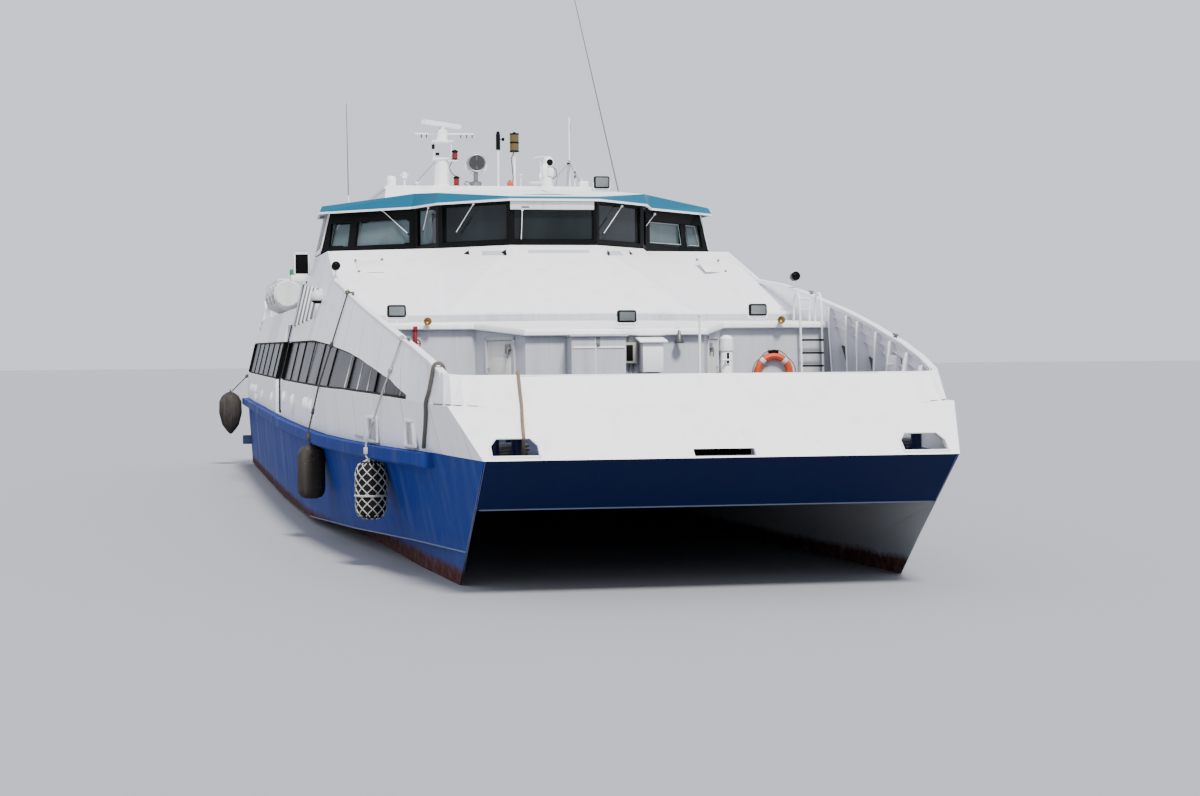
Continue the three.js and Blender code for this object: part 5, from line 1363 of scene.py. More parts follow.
@dataclass
class SidePlatingFittings:
    """Cowls, slats and grilles on the white side plating, and weld lines and outlets on the hulls."""

    cowls: tuple[tuple[float, float], ...] = (
        (-15.8, 2.28), (-14.2, 2.28), (-12.9, 2.28), (-12.9, 2.08), (-9.4, 2.2), (-4.4, 2.22), (0.6, 2.3),
        (3.2, 2.28), (3.0, 2.08), (6.2, 2.28), (6.7, 2.28), (7.4, 2.26))
    chine: tuple[Point, ...] = ((4.68, 4.33, 0.12), (7.46, 4.15, 0.21), (10.24, 3.97, 0.30),
                                (12.46, 3.725, 0.37),
                                (14.69, 3.48, 0.44), (16.17, 3.2985, 0.47), (17.645, 3.117, 0.5))
    grilles: tuple[tuple[float, float, float, float], ...] = ((-17.6, 4.02, 0.34, 0.1),
                                                              (-17.6, 3.86, 0.34, 0.1))
    slats: int = 11
    slats_from: float = -0.6
    slat_pitch: float = 0.52
    weld: float = 0.011

    def cowls_and_slats(self) -> None:
        """Cowls over the drains, and raked slats under the wheelhouse with dark bars between them that paint
        the shade in the gaps.
        """
        piece, slat_shade = Piece("side_drain_cowls"), Piece("side_slat_gaps")
        for side in BOTH:
            for x, z in self.cowls:
                y = side_y(x, z)
                piece.turned([(0.0, 0.0), (0.075, 0.0), (0.085, 0.03), (0.07, 0.15), (0.035, 0.20),
                              (0.0, 0.205)],
                             side.at(x, y + 0.005, z - 0.1), steps=12)
            for i in range(self.slats):
                x = self.slats_from + self.slat_pitch * i
                low, high = 3.72 + 0.01 * i, 4.62 - 0.025 * i
                foot = side.at(x, side_y(x, low) + 0.01, low)
                head = side.at(x + 0.12, side_y(x, high) + 0.02, high)
                # every other slat is a dark bar: painted shade in the gaps between the white slats
                made, radius = (slat_shade, 0.034) if i % 2 else (piece, 0.036)
                made.bar(foot, head, radius, 12, 0.01)
        piece.done(WHITE_PLAIN, "white_paint")
        slat_shade.done(CAST, "steel")

    def hull_lines(self) -> None:
        """A weld along each chine and across the front plate, and an outlet pipe at each quarter."""
        line, shaft = Piece("hull_weld_lines"), Piece("side_outlets")
        for side in BOTH:
            line.bars([side.at(*p) for p in self.chine], self.weld)
            shaft.bar(side.at(-19.15, 4.35, 0.72), side.at(-19.15, 4.72, 0.72), 0.13, 20, 0.02)
        line.bar((18.513, -3.06, 1.113), (18.513, 3.06, 1.113), self.weld, 8)
        line.done(HULL_LINE, "panel_grey")
        shaft.done(BLUE, "hull_blue")

    def vents(self) -> None:
        """Dark grilles aft, of three bars each."""
        grille = Piece("side_grilles")
        for side in BOTH:
            for x, z, length, height in self.grilles:
                for row in range(3):
                    low = z + row * height / 3
                    y = side_y(x, low)
                    grille.block(side.at(x, y - 0.03, low),
                                 side.at(x + length, y + 0.006, low + height / 5), 0.002)
        grille.done(BLACK, "wheelhouse_black")

    def build(self) -> None:
        """Builds all of it."""
        self.cowls_and_slats()
        self.hull_lines()
        self.vents()


def outline_offset(points: Sequence[tuple[float, float]], distance: float) -> list[tuple[float, float]]:
    """Closed plan outline moved outwards (counter-clockwise outlines) by a distance, with sharp corners.

    Args:
        points: the outline's corners.
        distance: how far it is moved.

    Returns:
        The moved corners.
    """
    moved = []
    count = len(points)
    for i, here in enumerate(points):
        before, after = Vector(points[i - 1]), Vector(points[(i + 1) % count])
        d1, d2 = (Vector(here) - before).normalized(), (after - Vector(here)).normalized()
        n1, n2 = Vector((d1.y, -d1.x)), Vector((d2.y, -d2.x))
        bisector = (n1 + n2).normalized()
        moved.append(tuple(Vector(here) + bisector * (distance / bisector.dot(n1))))
    return moved


@dataclass
class Wheelhouse:
    """Brim lips, window frames, wipers and the visor box of the wheelhouse."""

    brim: tuple[tuple[float, float], ...] = (
        (0.86, 2.72), (0.86, 3.88), (2.56, 3.96), (4.33, 2.33), (5.42, 2.01), (6.76, 0.84))
    plan: tuple[tuple[float, float], ...] = (
        (0.9, 2.64), (0.9, 3.925), (2.46, 3.925), (4.21, 2.25), (5.31, 1.95), (6.66, 0.8))
    underside: float = 5.899
    lip_height: float = 0.03
    lean: float = 0.24
    sill: float = 5.12
    wing_half: float = 3.925
    wing_face: float = 3.93
    wipers: tuple[tuple[Point, Point], ...] = (
        ((3.613, -2.821, 5.91), (4.063, -2.391, 5.45)), ((4.849, -2.076, 5.89), (4.595, -2.145, 5.479)),
        ((5.981, -1.378, 5.88), (5.656, -1.655, 5.385)), ((6.66, -0.577, 5.74), (6.66, -0.6, 5.206)),
        ((5.956, 1.399, 5.861), (6.482, 0.951, 5.329)), ((3.994, 2.456, 5.838), (4.239, 2.222, 5.59)))

    def lips(self) -> None:
        """Pale lip along the brim's lower edge."""
        lip = Piece("wheelhouse_brim_lip")
        starboard = [(x, -y) for x, y in self.brim]
        whole = starboard + [(x, y) for x, y in reversed(self.brim)]
        outer = outline_offset(whole, 0.012)
        inner = outline_offset(whole, -0.03)
        for i in range(len(whole) - 1):
            lip.plate([(*p, self.underside) for p in (outer[i], outer[i + 1], inner[i + 1], inner[i])],
                      (0, 0, self.lip_height))
        lip.done(WHITE_PLAIN, "white_paint")

    def _on_wall(self, side: Side, wall: int, part: float, z: float, out: float) -> Point:
        """A place on one of the window walls: part of its length, height, and distance in front of it.

        Args:
            side: which side of the centreline.
            wall: which wall of the plan.
            part: share of the wall's length.
            z: height.
            out: distance in front of the wall.

        Returns:
            The place.
        """
        (ax, ay), (bx, by) = self.plan[wall], self.plan[wall + 1]
        rise = (z - self.sill) * self.lean
        ay, by = (y - rise if y == self.wing_half else y for y in (ay, by))
        length = math.hypot(bx - ax, by - ay)
        nx, ny = (by - ay) / -length, (bx - ax) / length
        x, y = ax + (bx - ax) * part + nx * out, ay + (by - ay) * part + ny * out
        return side.at(x, y, z)

    def _pane_rim(self, piece: Piece, side: Side, wall: int, span: tuple[float, float],
                  heights: tuple[float, float], width: float, out: tuple[float, float]) -> None:
        """A flat rim round a pane.

        Args:
            piece: what the rim is added to.
            side: which side of the centreline.
            wall: which wall of the plan.
            span: where the pane starts and ends, as shares of the wall's length.
            heights: its lower and upper edge.
            width: the rim's width.
            out: distances of the rim's back and of its face in front of the wall.
        """
        corners = [(span[0], heights[0]), (span[1], heights[0]), (span[1], heights[1]),
                   (span[0], heights[1])]
        back = [Vector(self._on_wall(side, wall, p, z, out[0])) for p, z in corners]
        face = Vector(self._on_wall(side, wall, span[0], heights[0], out[1]))
        piece.rim([tuple(c) for c in back], width, tuple(face - back[0]))

    def frames(self) -> None:
        """Rubber seals round every pane, and the pale sliding frames of the wing windows."""
        seal = Piece("wheelhouse_window_seals")
        pale = Piece("wheelhouse_wing_window_frames")
        panes = ((1, (0.14, 0.86), (5.25, 5.71)), (2, (0.08, 0.30), (5.25, 5.71)),
                 (2, (0.38, 0.94), (5.25, 5.71)),
                 (3, (0.08, 0.90), (5.19, 5.87)), (4, (0.06, 0.95), (5.19, 5.87)))
        for side in BOTH:
            for wall, span, heights in panes:
                self._pane_rim(seal, side, wall, span, heights, 0.022, (-0.03, 0.008))
                if wall in (1, 2):
                    inner = (span[0] + 0.02, span[1] - 0.02)
                    self._pane_rim(pale, side, wall, inner, (heights[0] + 0.03, heights[1] - 0.02), 0.016,
                                   (-0.052, -0.028))
        seal.rim([(6.63, -0.74, 5.19), (6.63, 0.74, 5.19), (6.63, 0.74, 5.87), (6.63, -0.74, 5.87)], 0.022,
                 (0.038, 0, 0))
        seal.done(BLACK, "wheelhouse_black")
        pale.done(FRAME_GREY, "steel")

    def wing_posts(self) -> None:
        """Grey-white strips on the outer wall of each wing and at its corners."""
        piece = Piece("wheelhouse_wing_posts")
        for side in BOTH:
            for x0, x1 in ((0.905, 1.01), (1.5, 1.56), (2.02, 2.08), (2.36, 2.455)):
                y0, y1 = self.wing_face, self.wing_face - self.lean * 0.82
                corners = [side.at(x0, y0, 5.13), side.at(x1, y0, 5.13), side.at(x1, y1, 5.95),
                           side.at(x0, y1, 5.95)]
                piece.plate(corners, (0, side.value * 0.02, 0), 0.003)
            strip = [side.at(x, y, z) for x, y, z in (
                (0.905, self.wing_face, 5.13), (2.455, self.wing_face, 5.13), (2.455, 3.91, 5.22),
                (0.905, 3.91, 5.22))]
            piece.plate(strip, (0, side.value * 0.024, 0), 0.003)
        piece.done(WHITE_PLAIN, "white_paint")

    def wiper_arms(self) -> None:
        """White wipers parked over the panes: a pivot under the brim, an arm, and a blade low on it."""
        arms = Piece("wheelhouse_wiper_arms")
        blades = Piece("wheelhouse_wiper_blades")
        for top, foot in self.wipers:
            a, b = Vector(top), Vector(foot)
            out = Vector((1.0, 0.15 * (1 if a.y > 0 else -1), 0.0)).normalized() * 0.045
            arms.bar(tuple(a - out * 0.4), tuple(a + out * 1.2), 0.022, 12, 0.004)
            arms.bar(tuple(a + out), tuple(b + out), 0.0065, 8)
            middle = a + (b - a) * 0.42
            blades.bar(tuple(middle + out * 0.55), tuple(b + (b - a) * 0.06 + out * 0.55), 0.011, 6)
        arms.done(WHITE_PLAIN, "white_paint")
        blades.done(RUBBER, "wheelhouse_black")

    def visor(self) -> None:
        """Pale box over the centre window, with a small dark slot."""
        box = Piece("wheelhouse_visor_box")
        box.block((6.625, -0.8, 5.745), (6.72, 0.74, 5.897), 0.008)
        box.done(FRAME_WHITE, "white_paint")
        slot = Piece("wheelhouse_visor_slot")
        slot.block((6.7, -0.60, 5.775), (6.724, -0.46, 5.797), 0.003)
        slot.done(BLACK, "wheelhouse_black")

    def doors(self) -> None:
        """Window rim, kick plate and lever handle on each wheelhouse door."""
        for side, label in LABELLED:
            body = f"wheelhouse_door_{label}"
            rim = Piece(f"wheelhouse_door_rim_{label}")
            corners = [side.at(0.896, y, z) for y, z in ((2.92, 5.0), (3.38, 5.0), (3.38, 5.68),
                                                         (2.92, 5.68))]
            rim.rim(corners, 0.035, (-0.012, 0, 0))
            rim.done(RUBBER, "wheelhouse_black", body)
            pane = Piece(f"wheelhouse_door_pane_{label}")
            pane.block(side.at(0.902, 2.95, 5.03), side.at(0.891, 3.35, 5.65), 0.003)
            pane.done(SIDE_GLASS, "dark_glass", body)
            handle = Piece(f"wheelhouse_door_handle_{label}")
            handle.block(side.at(0.9, 2.85, 4.95), side.at(0.885, 2.91, 5.13), 0.004)
            handle.bar(side.at(0.89, 2.88, 5.06), side.at(0.845, 2.88, 5.06), 0.011, 10)
            handle.bar(side.at(0.85, 2.875, 5.06), side.at(0.85, 2.99, 5.055), 0.01, 10, 0.003)
            handle.done(STEEL, "steel", body)

    def build(self) -> None:
        """Builds all of it."""
        self.lips()
        self.frames()
        self.wing_posts()
        self.wiper_arms()
        self.visor()
        self.doors()


@dataclass
class FrontRoof:
    """Pads, vents, hatch lids and trims on the sloped facets and the low roof."""

    trim_x: tuple[float, ...] = (11.0, 11.0, 12.34)
    trim_y: tuple[float, ...] = (3.86, 2.05, 1.44)
    trim_z: tuple[float, ...] = (3.62, 3.62, 3.50)

    def pads(self) -> None:
        """Flat grey non-slip pads in an arc under the windows, with a small dark wedge at the end of each."""
        pads = Piece("facet_pads")
        centre = [(6.88, -0.51, 4.997), (6.88, 0.61, 4.997), (7.005, 0.59, 4.938), (7.008, -0.53, 4.936)]
        rows = [centre]
        for s in (-1, 1):
            rows.append([(6.38, s * 1.275, 5.001), (6.81, s * 0.954, 4.982), (7.0, s * 0.983, 4.901),
                         (6.574, s * 1.303, 4.92)])
            rows.append([(5.84, s * 1.77, 4.970), (6.12, s * 1.545, 4.958), (6.27, s * 1.565, 4.899),
                         (5.99, s * 1.79, 4.909)])
        for corners in rows:
            a, b, c = (Vector(p) for p in corners[:3])
            normal = (b - a).cross(c - b).normalized()
            if normal.z < 0:
                normal.negate()
            pads.plate([tuple(Vector(p) - normal * 0.004) for p in corners], tuple(normal * 0.014), 0.003)
        pads.done(PAD_GREY, "deck_grey")
        wedges = Piece("facet_vents")
        for s in (-1, 1):
            for (x0, y0, z0), (x1, y1, z1) in (((7.02, 0.93, 4.93), (6.83, 1.03, 4.955)),
                                               ((6.26, 1.50, 4.95), (6.08, 1.62, 4.963))):
                foot = [(x0 + 0.05, s * y0, z0 - 0.03), (x1 + 0.02, s * y1, z1 - 0.03),
                        (x0 - 0.05, s * y0, z0 + 0.07)]
                wedges.plate(foot, (-0.05, 0, 0.01))
        wedges.done(BLACK, "wheelhouse_black")

    def hatches(self) -> None:
        """A lid in a thin raised frame for each hatch, its hinges, and foot strips below it; the frame's grey
        is partly its own colour and partly painted shadow round the lid.
        """
        frame, lids = Piece("facet_hatch_frames"), Piece("facet_hatch_lids")
        knobs = Piece("facet_hatch_hinges")
        rungs = Piece("facet_foot_strips")
        for side in BOTH:
            corners = [side.at(*p) for p in ((5.06, 3.47, 4.866), (5.28, 3.0, 4.876), (5.93, 3.01, 4.642),
                                             (5.68, 3.46, 4.635))]
            normal = Vector((0.33, 0.0, 0.94)) * 0.02
            # grey frame: partly its own colour, partly painted shadow round the raised lid
            frame.rim(corners, 0.036, tuple(normal))
            lids.plate([tuple(Vector(c) - normal * 0.3) for c in corners], tuple(normal * 0.8), 0.004)
            for c in (corners[0], corners[1], corners[3]):
                at = Vector(c) + normal
                knobs.bar(tuple(at - normal), tuple(at + normal * 1.2), 0.024, 12, 0.005)
            for i in range(6):
                part = i / 5
                a = Vector(side.at(6.10 + 0.72 * part, 3.46, 4.475 - 0.275 * part))
                b = Vector(side.at(6.16 + 0.85 * part, 2.98, 4.515 - 0.31 * part))
                rungs.bar(tuple(a), tuple(b), 0.009, 6)
        frame.done(FRAME_GREY, "panel_grey")
        lids.done(WHITE_PLAIN, "white_paint")
        knobs.done(CAST, "steel")
        rungs.done(PAD_GREY, "deck_grey")

    def low_roof_trim(self) -> None:
        """Thick rounded trim round the low roof's front edge, a shadow gap and a grey riser band above, whose
        grey is painted shade on the upright riser.
        """
        trim = Piece("low_roof_trim")
        plan = [(x, -y, z) for x, y, z in zip(self.trim_x, self.trim_y, self.trim_z)]
        plan += [(x, y, z) for x, y, z in zip(self.trim_x, self.trim_y, self.trim_z)][::-1]
        for a, b in zip(plan, plan[1:]):
            length = Vector((b[0] - a[0], b[1] - a[1]))
            out = Vector((length.y, -length.x, 0)).normalized()
            if out.x < 0:
                out.negate()
            along = Vector((length.x, length.y, 0)).normalized() * 0.02
            start, end = Vector(a) - along, Vector(b) + along
            section = [(0, 0, -0.10), out * 0.03 + Vector((0, 0, -0.10)),
                       out * 0.045 + Vector((0, 0, -0.085)),
                       out * 0.045 + Vector((0, 0, -0.02)), out * 0.03 + Vector((0, 0, 0.004)),
                       -out * 0.06 + Vector((0, 0, 0.008)), -out * 0.06 + Vector((0, 0, -0.02)),
                       (0, 0, -0.02)]
            trim.run([tuple(p) for p in section], [tuple(start), tuple(end)])
        trim.done(WHITE_PLAIN, "white_paint")
        # grey band on the upright riser: painted shade on the face that stands up from the low roof
        band = Piece("riser_band")
        line = [(8.562, 4.0, 3.0), (8.562, 2.214, 3.0), (9.363, 0.806, 3.0)]
        whole = [(x, -y) for x, y, _ in line] + [(x, y) for x, y, _ in reversed(line)]
        for a, b in zip(whole, whole[1:]):
            outer = [(*a, 3.70), (*b, 3.70), (*b, 3.80), (*a, 3.80)]
            band.plate(outer, (-0.02, 0, 0))
        band.done(BULKHEAD_GREY, "panel_grey")

    def build(self) -> None:
        """Builds all of it."""
        self.pads()
        self.hatches()
        self.low_roof_trim()


@dataclass(frozen=True)
class DoorWall:
    """The angled length of the foredeck bulkhead, measured along it and out from it."""

    start: tuple[float, float] = (10.94, 2.05)
    line: tuple[float, float] = (0.9101, -0.4143)

    def at(self, side: Side, along: float, out: float, z: float) -> Point:
        """A place on it."""
        u, v = self.line
        return side.at(self.start[0] + u * along - v * out, self.start[1] + v * along + u * out, z)

    def slab(self, piece: Piece, side: Side, along: tuple[float, float], out: tuple[float, float],
             heights: tuple[float, float], edge: float = 0.004) -> None:
        """A block that lies along it.

        Args:
            piece: what the block is added to.
            side: which side of the centreline.
            along: where it starts and ends along the wall.
            out: its back and its face, out from the wall.
            heights: its underside and its top.
            edge: width of the rounded edge.
        """
        (a0, a1), (o0, o1), (z0, z1) = along, out, heights
        piece.plate([self.at(side, a0, o0, z0), self.at(side, a1, o0, z0), self.at(side, a1, o1, z0),
                     self.at(side, a0, o1, z0)], (0, 0, z1 - z0), edge)


@dataclass
class ForedeckBulkhead:
    """Doors, lockers, boxes and pipes on the grey bulkhead behind the foredeck."""

    wall: DoorWall = field(default_factory=DoorWall)
    face_x: float = 12.28
    buoy: Point = (11.0, 2.93, 2.79)
    buoy_radius: float = 0.27
    riser: tuple[float, float] = (11.02, -3.03)
    valve_z: float = 3.30

    def doors(self) -> None:
        """A raised frame round each doorway, a lock case, a lever and a raised panel on each leaf."""
        frame = Piece("foredeck_door_frames")
        for side, label in LABELLED:
            body = f"foredeck_door_{label}"
            for along, heights in (((0.315, 0.37), (1.93, 3.39)), ((1.13, 1.185), (1.93, 3.39)),
                                   ((0.315, 1.185), (3.34, 3.39))):
                self.wall.slab(frame, side, along, (-0.01, 0.02), heights)
            lock = Piece(f"foredeck_door_lock_{label}")
            self.wall.slab(lock, side, (0.93, 1.05), (0.0, 0.035), (3.13, 3.28), 0.006)
            a = self.wall.at(side, 1.06, 0.0, 3.2)
            b = self.wall.at(side, 1.06, 0.07, 3.2)
            lock.bar(a, b, 0.014, 12)
            lock.bar(b, self.wall.at(side, 1.06, 0.07, 3.05), 0.011, 10, 0.003)
            lock.done(CAST, "steel", body)
            panel = Piece(f"foredeck_door_panel_{label}")
            self.wall.slab(panel, side, (0.45, 1.05), (0.0, 0.009), (2.04, 3.06), 0.003)
            panel.done(CREAM, "panel_grey", body)
        frame.done(BULKHEAD_GREY, "panel_grey")

    def panel_seams(self) -> None:
        """Upright seams between the bulkhead's plates."""
        piece = Piece("bulkhead_seams")
        for y in (-1.25, -1.03, 0.2, 1.15):
            piece.block((self.face_x, y - 0.006, 1.82), (self.face_x + 0.004, y + 0.006, 3.39), 0.001)
        for side in BOTH:
            for y in (2.35, 3.35):
                piece.block(side.at(10.94, y - 0.006, 1.82), side.at(10.944, y + 0.006, 3.5), 0.001)
        piece.done(BULKHEAD_GREY, "panel_grey")

    def lockers(self) -> None:
        """Hinges and hasp of the starboard locker, and the closed locker to port of it with its lid."""
        gear = Piece("foredeck_locker_fittings")
        for y in (-0.62, -0.08):
            gear.block((12.283, y - 0.04, 3.40), (12.375, y + 0.04, 3.425), 0.004)
        gear.done(CAST, "steel")
        hasp = Piece("foredeck_locker_hasp")
        hasp.block((12.69, -0.39, 3.26), (12.712, -0.33, 3.40), 0.004)
        hasp.block((12.70, -0.385, 3.24), (12.735, -0.335, 3.31), 0.006)
        hasp.done(CAST, "steel")
        split = Piece("foredeck_locker_split")
        split.block((12.70, -0.405, 1.83), (12.708, -0.395, 3.36), 0.002)
        split.block((12.70, -0.76, 3.20), (12.712, 0.06, 3.23), 0.003)
        split.done(WHITE_PLAIN, "panel_grey")
        body = Piece("foredeck_port_locker")
        body.block((self.face_x, 0.37, 2.82), (12.62, 0.70, 3.30), 0.012)
        body.plate([(self.face_x, 0.31, 3.345), (12.67, 0.31, 3.285), (12.67, 0.31, 3.31),
                    (self.face_x, 0.31, 3.385)],
                   (0, 0.45, 0), 0.005)
        body.block((self.face_x, 0.40, 1.80), (12.5, 0.44, 2.83), 0.006)
        body.block((self.face_x, 0.63, 1.80), (12.5, 0.67, 2.83), 0.006)
        body.done(WHITE_PLAIN, "panel_grey")

    def electrics(self) -> None:
        """Switch box with a dark window, and conduits down to the deck."""
        box = Piece("foredeck_switch_box")
        box.block((self.face_x, 0.115, 2.95), (12.39, 0.335, 3.29), 0.01)
        box.block((12.385, 0.13, 2.965), (12.402, 0.32, 3.275), 0.006)
        box.done(BOX_BEIGE, "panel_grey")
        window = Piece("foredeck_switch_box_window")
        window.block((12.40, 0.15, 3.0), (12.409, 0.255, 3.25), 0.004)
        window.done(BLACK, "wheelhouse_black")
        runs = [[(12.31, y, 1.83), (12.31, y, 2.955)] for y in (0.16, 0.22, 0.28)]
        runs.append([(12.31, 0.36, 3.40), (12.31, 0.20, 3.40), (12.31, 0.20, 3.28)])
        fitted(pipe("foredeck_conduits", runs, 0.012, 2), CAST)

    def bell(self) -> None:
        """Grey bell on a bracket under the roof trim, with its lanyard."""
        bell = Piece("ships_bell")
        bell.turned([(0.0, 0.0), (0.075, 0.005), (0.078, 0.02), (0.055, 0.07), (0.045, 0.13), (0.02, 0.16),
                     (0.0, 0.162)],
                    (12.42, 1.0, 3.27), steps=24)
        bell.ring((12.42, 1.0, 3.45), 0.022, 0.006, Axis.X, 16, 6)
        bell.done(BELL, "steel")
        bracket = Piece("ships_bell_bracket")
        bracket.bar((12.27, 1.0, 3.47), (12.44, 1.0, 3.47), 0.012, 10, 0.003)
        bracket.block((self.face_x, 0.96, 3.42), (12.292, 1.04, 3.52), 0.003)
        bracket.done(CAST, "steel")

    def tank_unit(self) -> None:
        """Pipe unit by the port door: a column with a cap, two handles and a dark slot."""
        piece = Piece("foredeck_port_column")
        at = self.wall.at(Side.PORT, 0.16, 0.12, 0.0)
        x, y = at[0], at[1]
        piece.turned([(0.0, 0.0), (0.10, 0.0), (0.10, 1.30), (0.085, 1.34), (0.0, 1.345)], (x, y, 1.84),
                     steps=24)
        piece.turned([(0.0, 0.0), (0.115, 0.0), (0.12, 0.03), (0.11, 0.2), (0.06, 0.25), (0.0, 0.26)],
                     (x, y, 3.15), steps=24)
        for z in (2.75, 3.0):
            piece.bar((x + 0.09, y - 0.03, z), (x + 0.16, y - 0.05, z), 0.012, 10)
            piece.bar((x + 0.155, y - 0.11, z), (x + 0.155, y + 0.03, z), 0.014, 10, 0.004)
        piece.done(WHITE_PLAIN, "white_paint")
        slot = Piece("foredeck_port_column_slot")
        slot.block((x + 0.07, y - 0.02, 2.95), (x + 0.106, y + 0.02, 3.12), 0.004)
        slot.done(BLACK, "wheelhouse_black")

    def standpipe(self) -> None:
        """Red fire standpipe with its valve wheel, on the starboard side of the bulkhead."""
        (x, y), z = self.riser, self.valve_z
        fitting("fire_standpipe", RED, "lifebuoy_orange", [
            ("bar", (x, y, 1.82), (x, y, 3.52), 0.033, 14, 0.004),
            ("bar", (x, y, z), (x + 0.12, y, z), 0.03, 14, 0.004),
            ("ring", (x + 0.15, y, z), 0.065, 0.01, Axis.X, 20, 6),
            ("bar", (x + 0.145, y - 0.065, z), (x + 0.145, y + 0.065, z), 0.007, 6),
            ("bar", (x, y, 3.50), (x, y, 3.58), 0.045, 14, 0.006)])

    def ladder(self) -> None:
        """Ladder to the low roof on the port side, with handholds over the top."""
        rails = []
        for y in (3.37, 3.74):
            rails.append([(11.08, y + 0.05, 1.83), (11.05, y + 0.01, 3.60), (11.04, y, 3.95),
                          (11.0, y, 4.05),
                          (10.93, y, 4.10), (10.82, y, 4.10), (10.73, y, 4.05), (10.69, y, 3.95),
                          (10.69, y, 3.64)])
        fitted(pipe("foredeck_ladder_rails", rails, 0.019, 3), WHITE_PLAIN)
        rungs = Piece("foredeck_ladder_rungs")
        for i in range(7):
            z = 2.03 + 0.215 * i
            rungs.bar((11.07, 3.40, z), (11.07, 3.77, z), 0.016, 8)
        rungs.done(BLACK, "wheelhouse_black")
        upper = [[(11.04, 3.37, z), (10.70, 3.64, z)] for z in (3.83, 4.0)]
        upper.append([(10.70, 3.64, 3.64), (10.70, 3.64, 4.03)])
        fitted(pipe("foredeck_ladder_guard", upper, 0.015, 2), WHITE_PLAIN)

    def lifebuoy(self) -> None:
        """Grey bands and the grab line of the lifebuoy, and its bracket."""
        centre = Vector(self.buoy)
        bands = Piece("lifebuoy_bands")
        for turn in (0.785, 2.356, 3.927, 5.498):
            spot = centre + Vector((0, math.cos(turn), math.sin(turn))) * self.buoy_radius
            along = Vector((0, -math.sin(turn), math.cos(turn)))
            bands.bar(tuple(spot - along * 0.035), tuple(spot + along * 0.035), 0.064, 20, 0.004)
        bands.done(FRAME_WHITE, "white_paint")
        line = []
        for i in range(33):
            turn = 2 * math.pi * i / 32
            away = 0.335 + 0.035 * abs(math.sin(2 * (turn - 0.785)))
            line.append(tuple(centre + Vector((0.03, away * math.cos(turn), away * math.sin(turn)))))
        fitted(pipe("lifebuoy_grab_line", [line[:-1]], 0.007, 2), ROPE)
        bracket = Piece("lifebuoy_bracket")
        bracket.block((10.94, 2.85, 3.10), (11.03, 3.01, 3.16), 0.006)
        bracket.block((10.94, 2.83, 2.40), (11.09, 3.03, 2.425), 0.004)
        bracket.block((11.075, 2.83, 2.42), (11.09, 3.03, 2.52), 0.004)
        bracket.done(BLACK, "steel")

    def horns(self) -> None:
        """Two brass horns that look forward from under the roof trim."""
        piece = Piece("brass_horns")
        for side in BOTH:
            y = 2.84 if side is Side.STARBOARD else 3.03
            foot = side.at(10.93, y, 3.655)
            piece.turned([(0.0, 0.0), (0.022, 0.0), (0.022, 0.08), (0.028, 0.14), (0.05, 0.2),
                          (0.066, 0.215), (0.062, 0.215), (0.04, 0.19), (0.0, 0.12)], foot, Axis.X, 20)
            piece.block(side.at(10.95, y - 0.015, 3.60), side.at(11.02, y + 0.015, 3.645), 0.003)
        piece.done(BRASS, "bronze")

    def build(self) -> None:
        """Builds all of it."""
        self.doors()
        self.panel_seams()
        self.lockers()
        self.electrics()
        self.bell()
        self.tank_unit()
        self.standpipe()
        self.ladder()
        self.lifebuoy()
        self.horns()


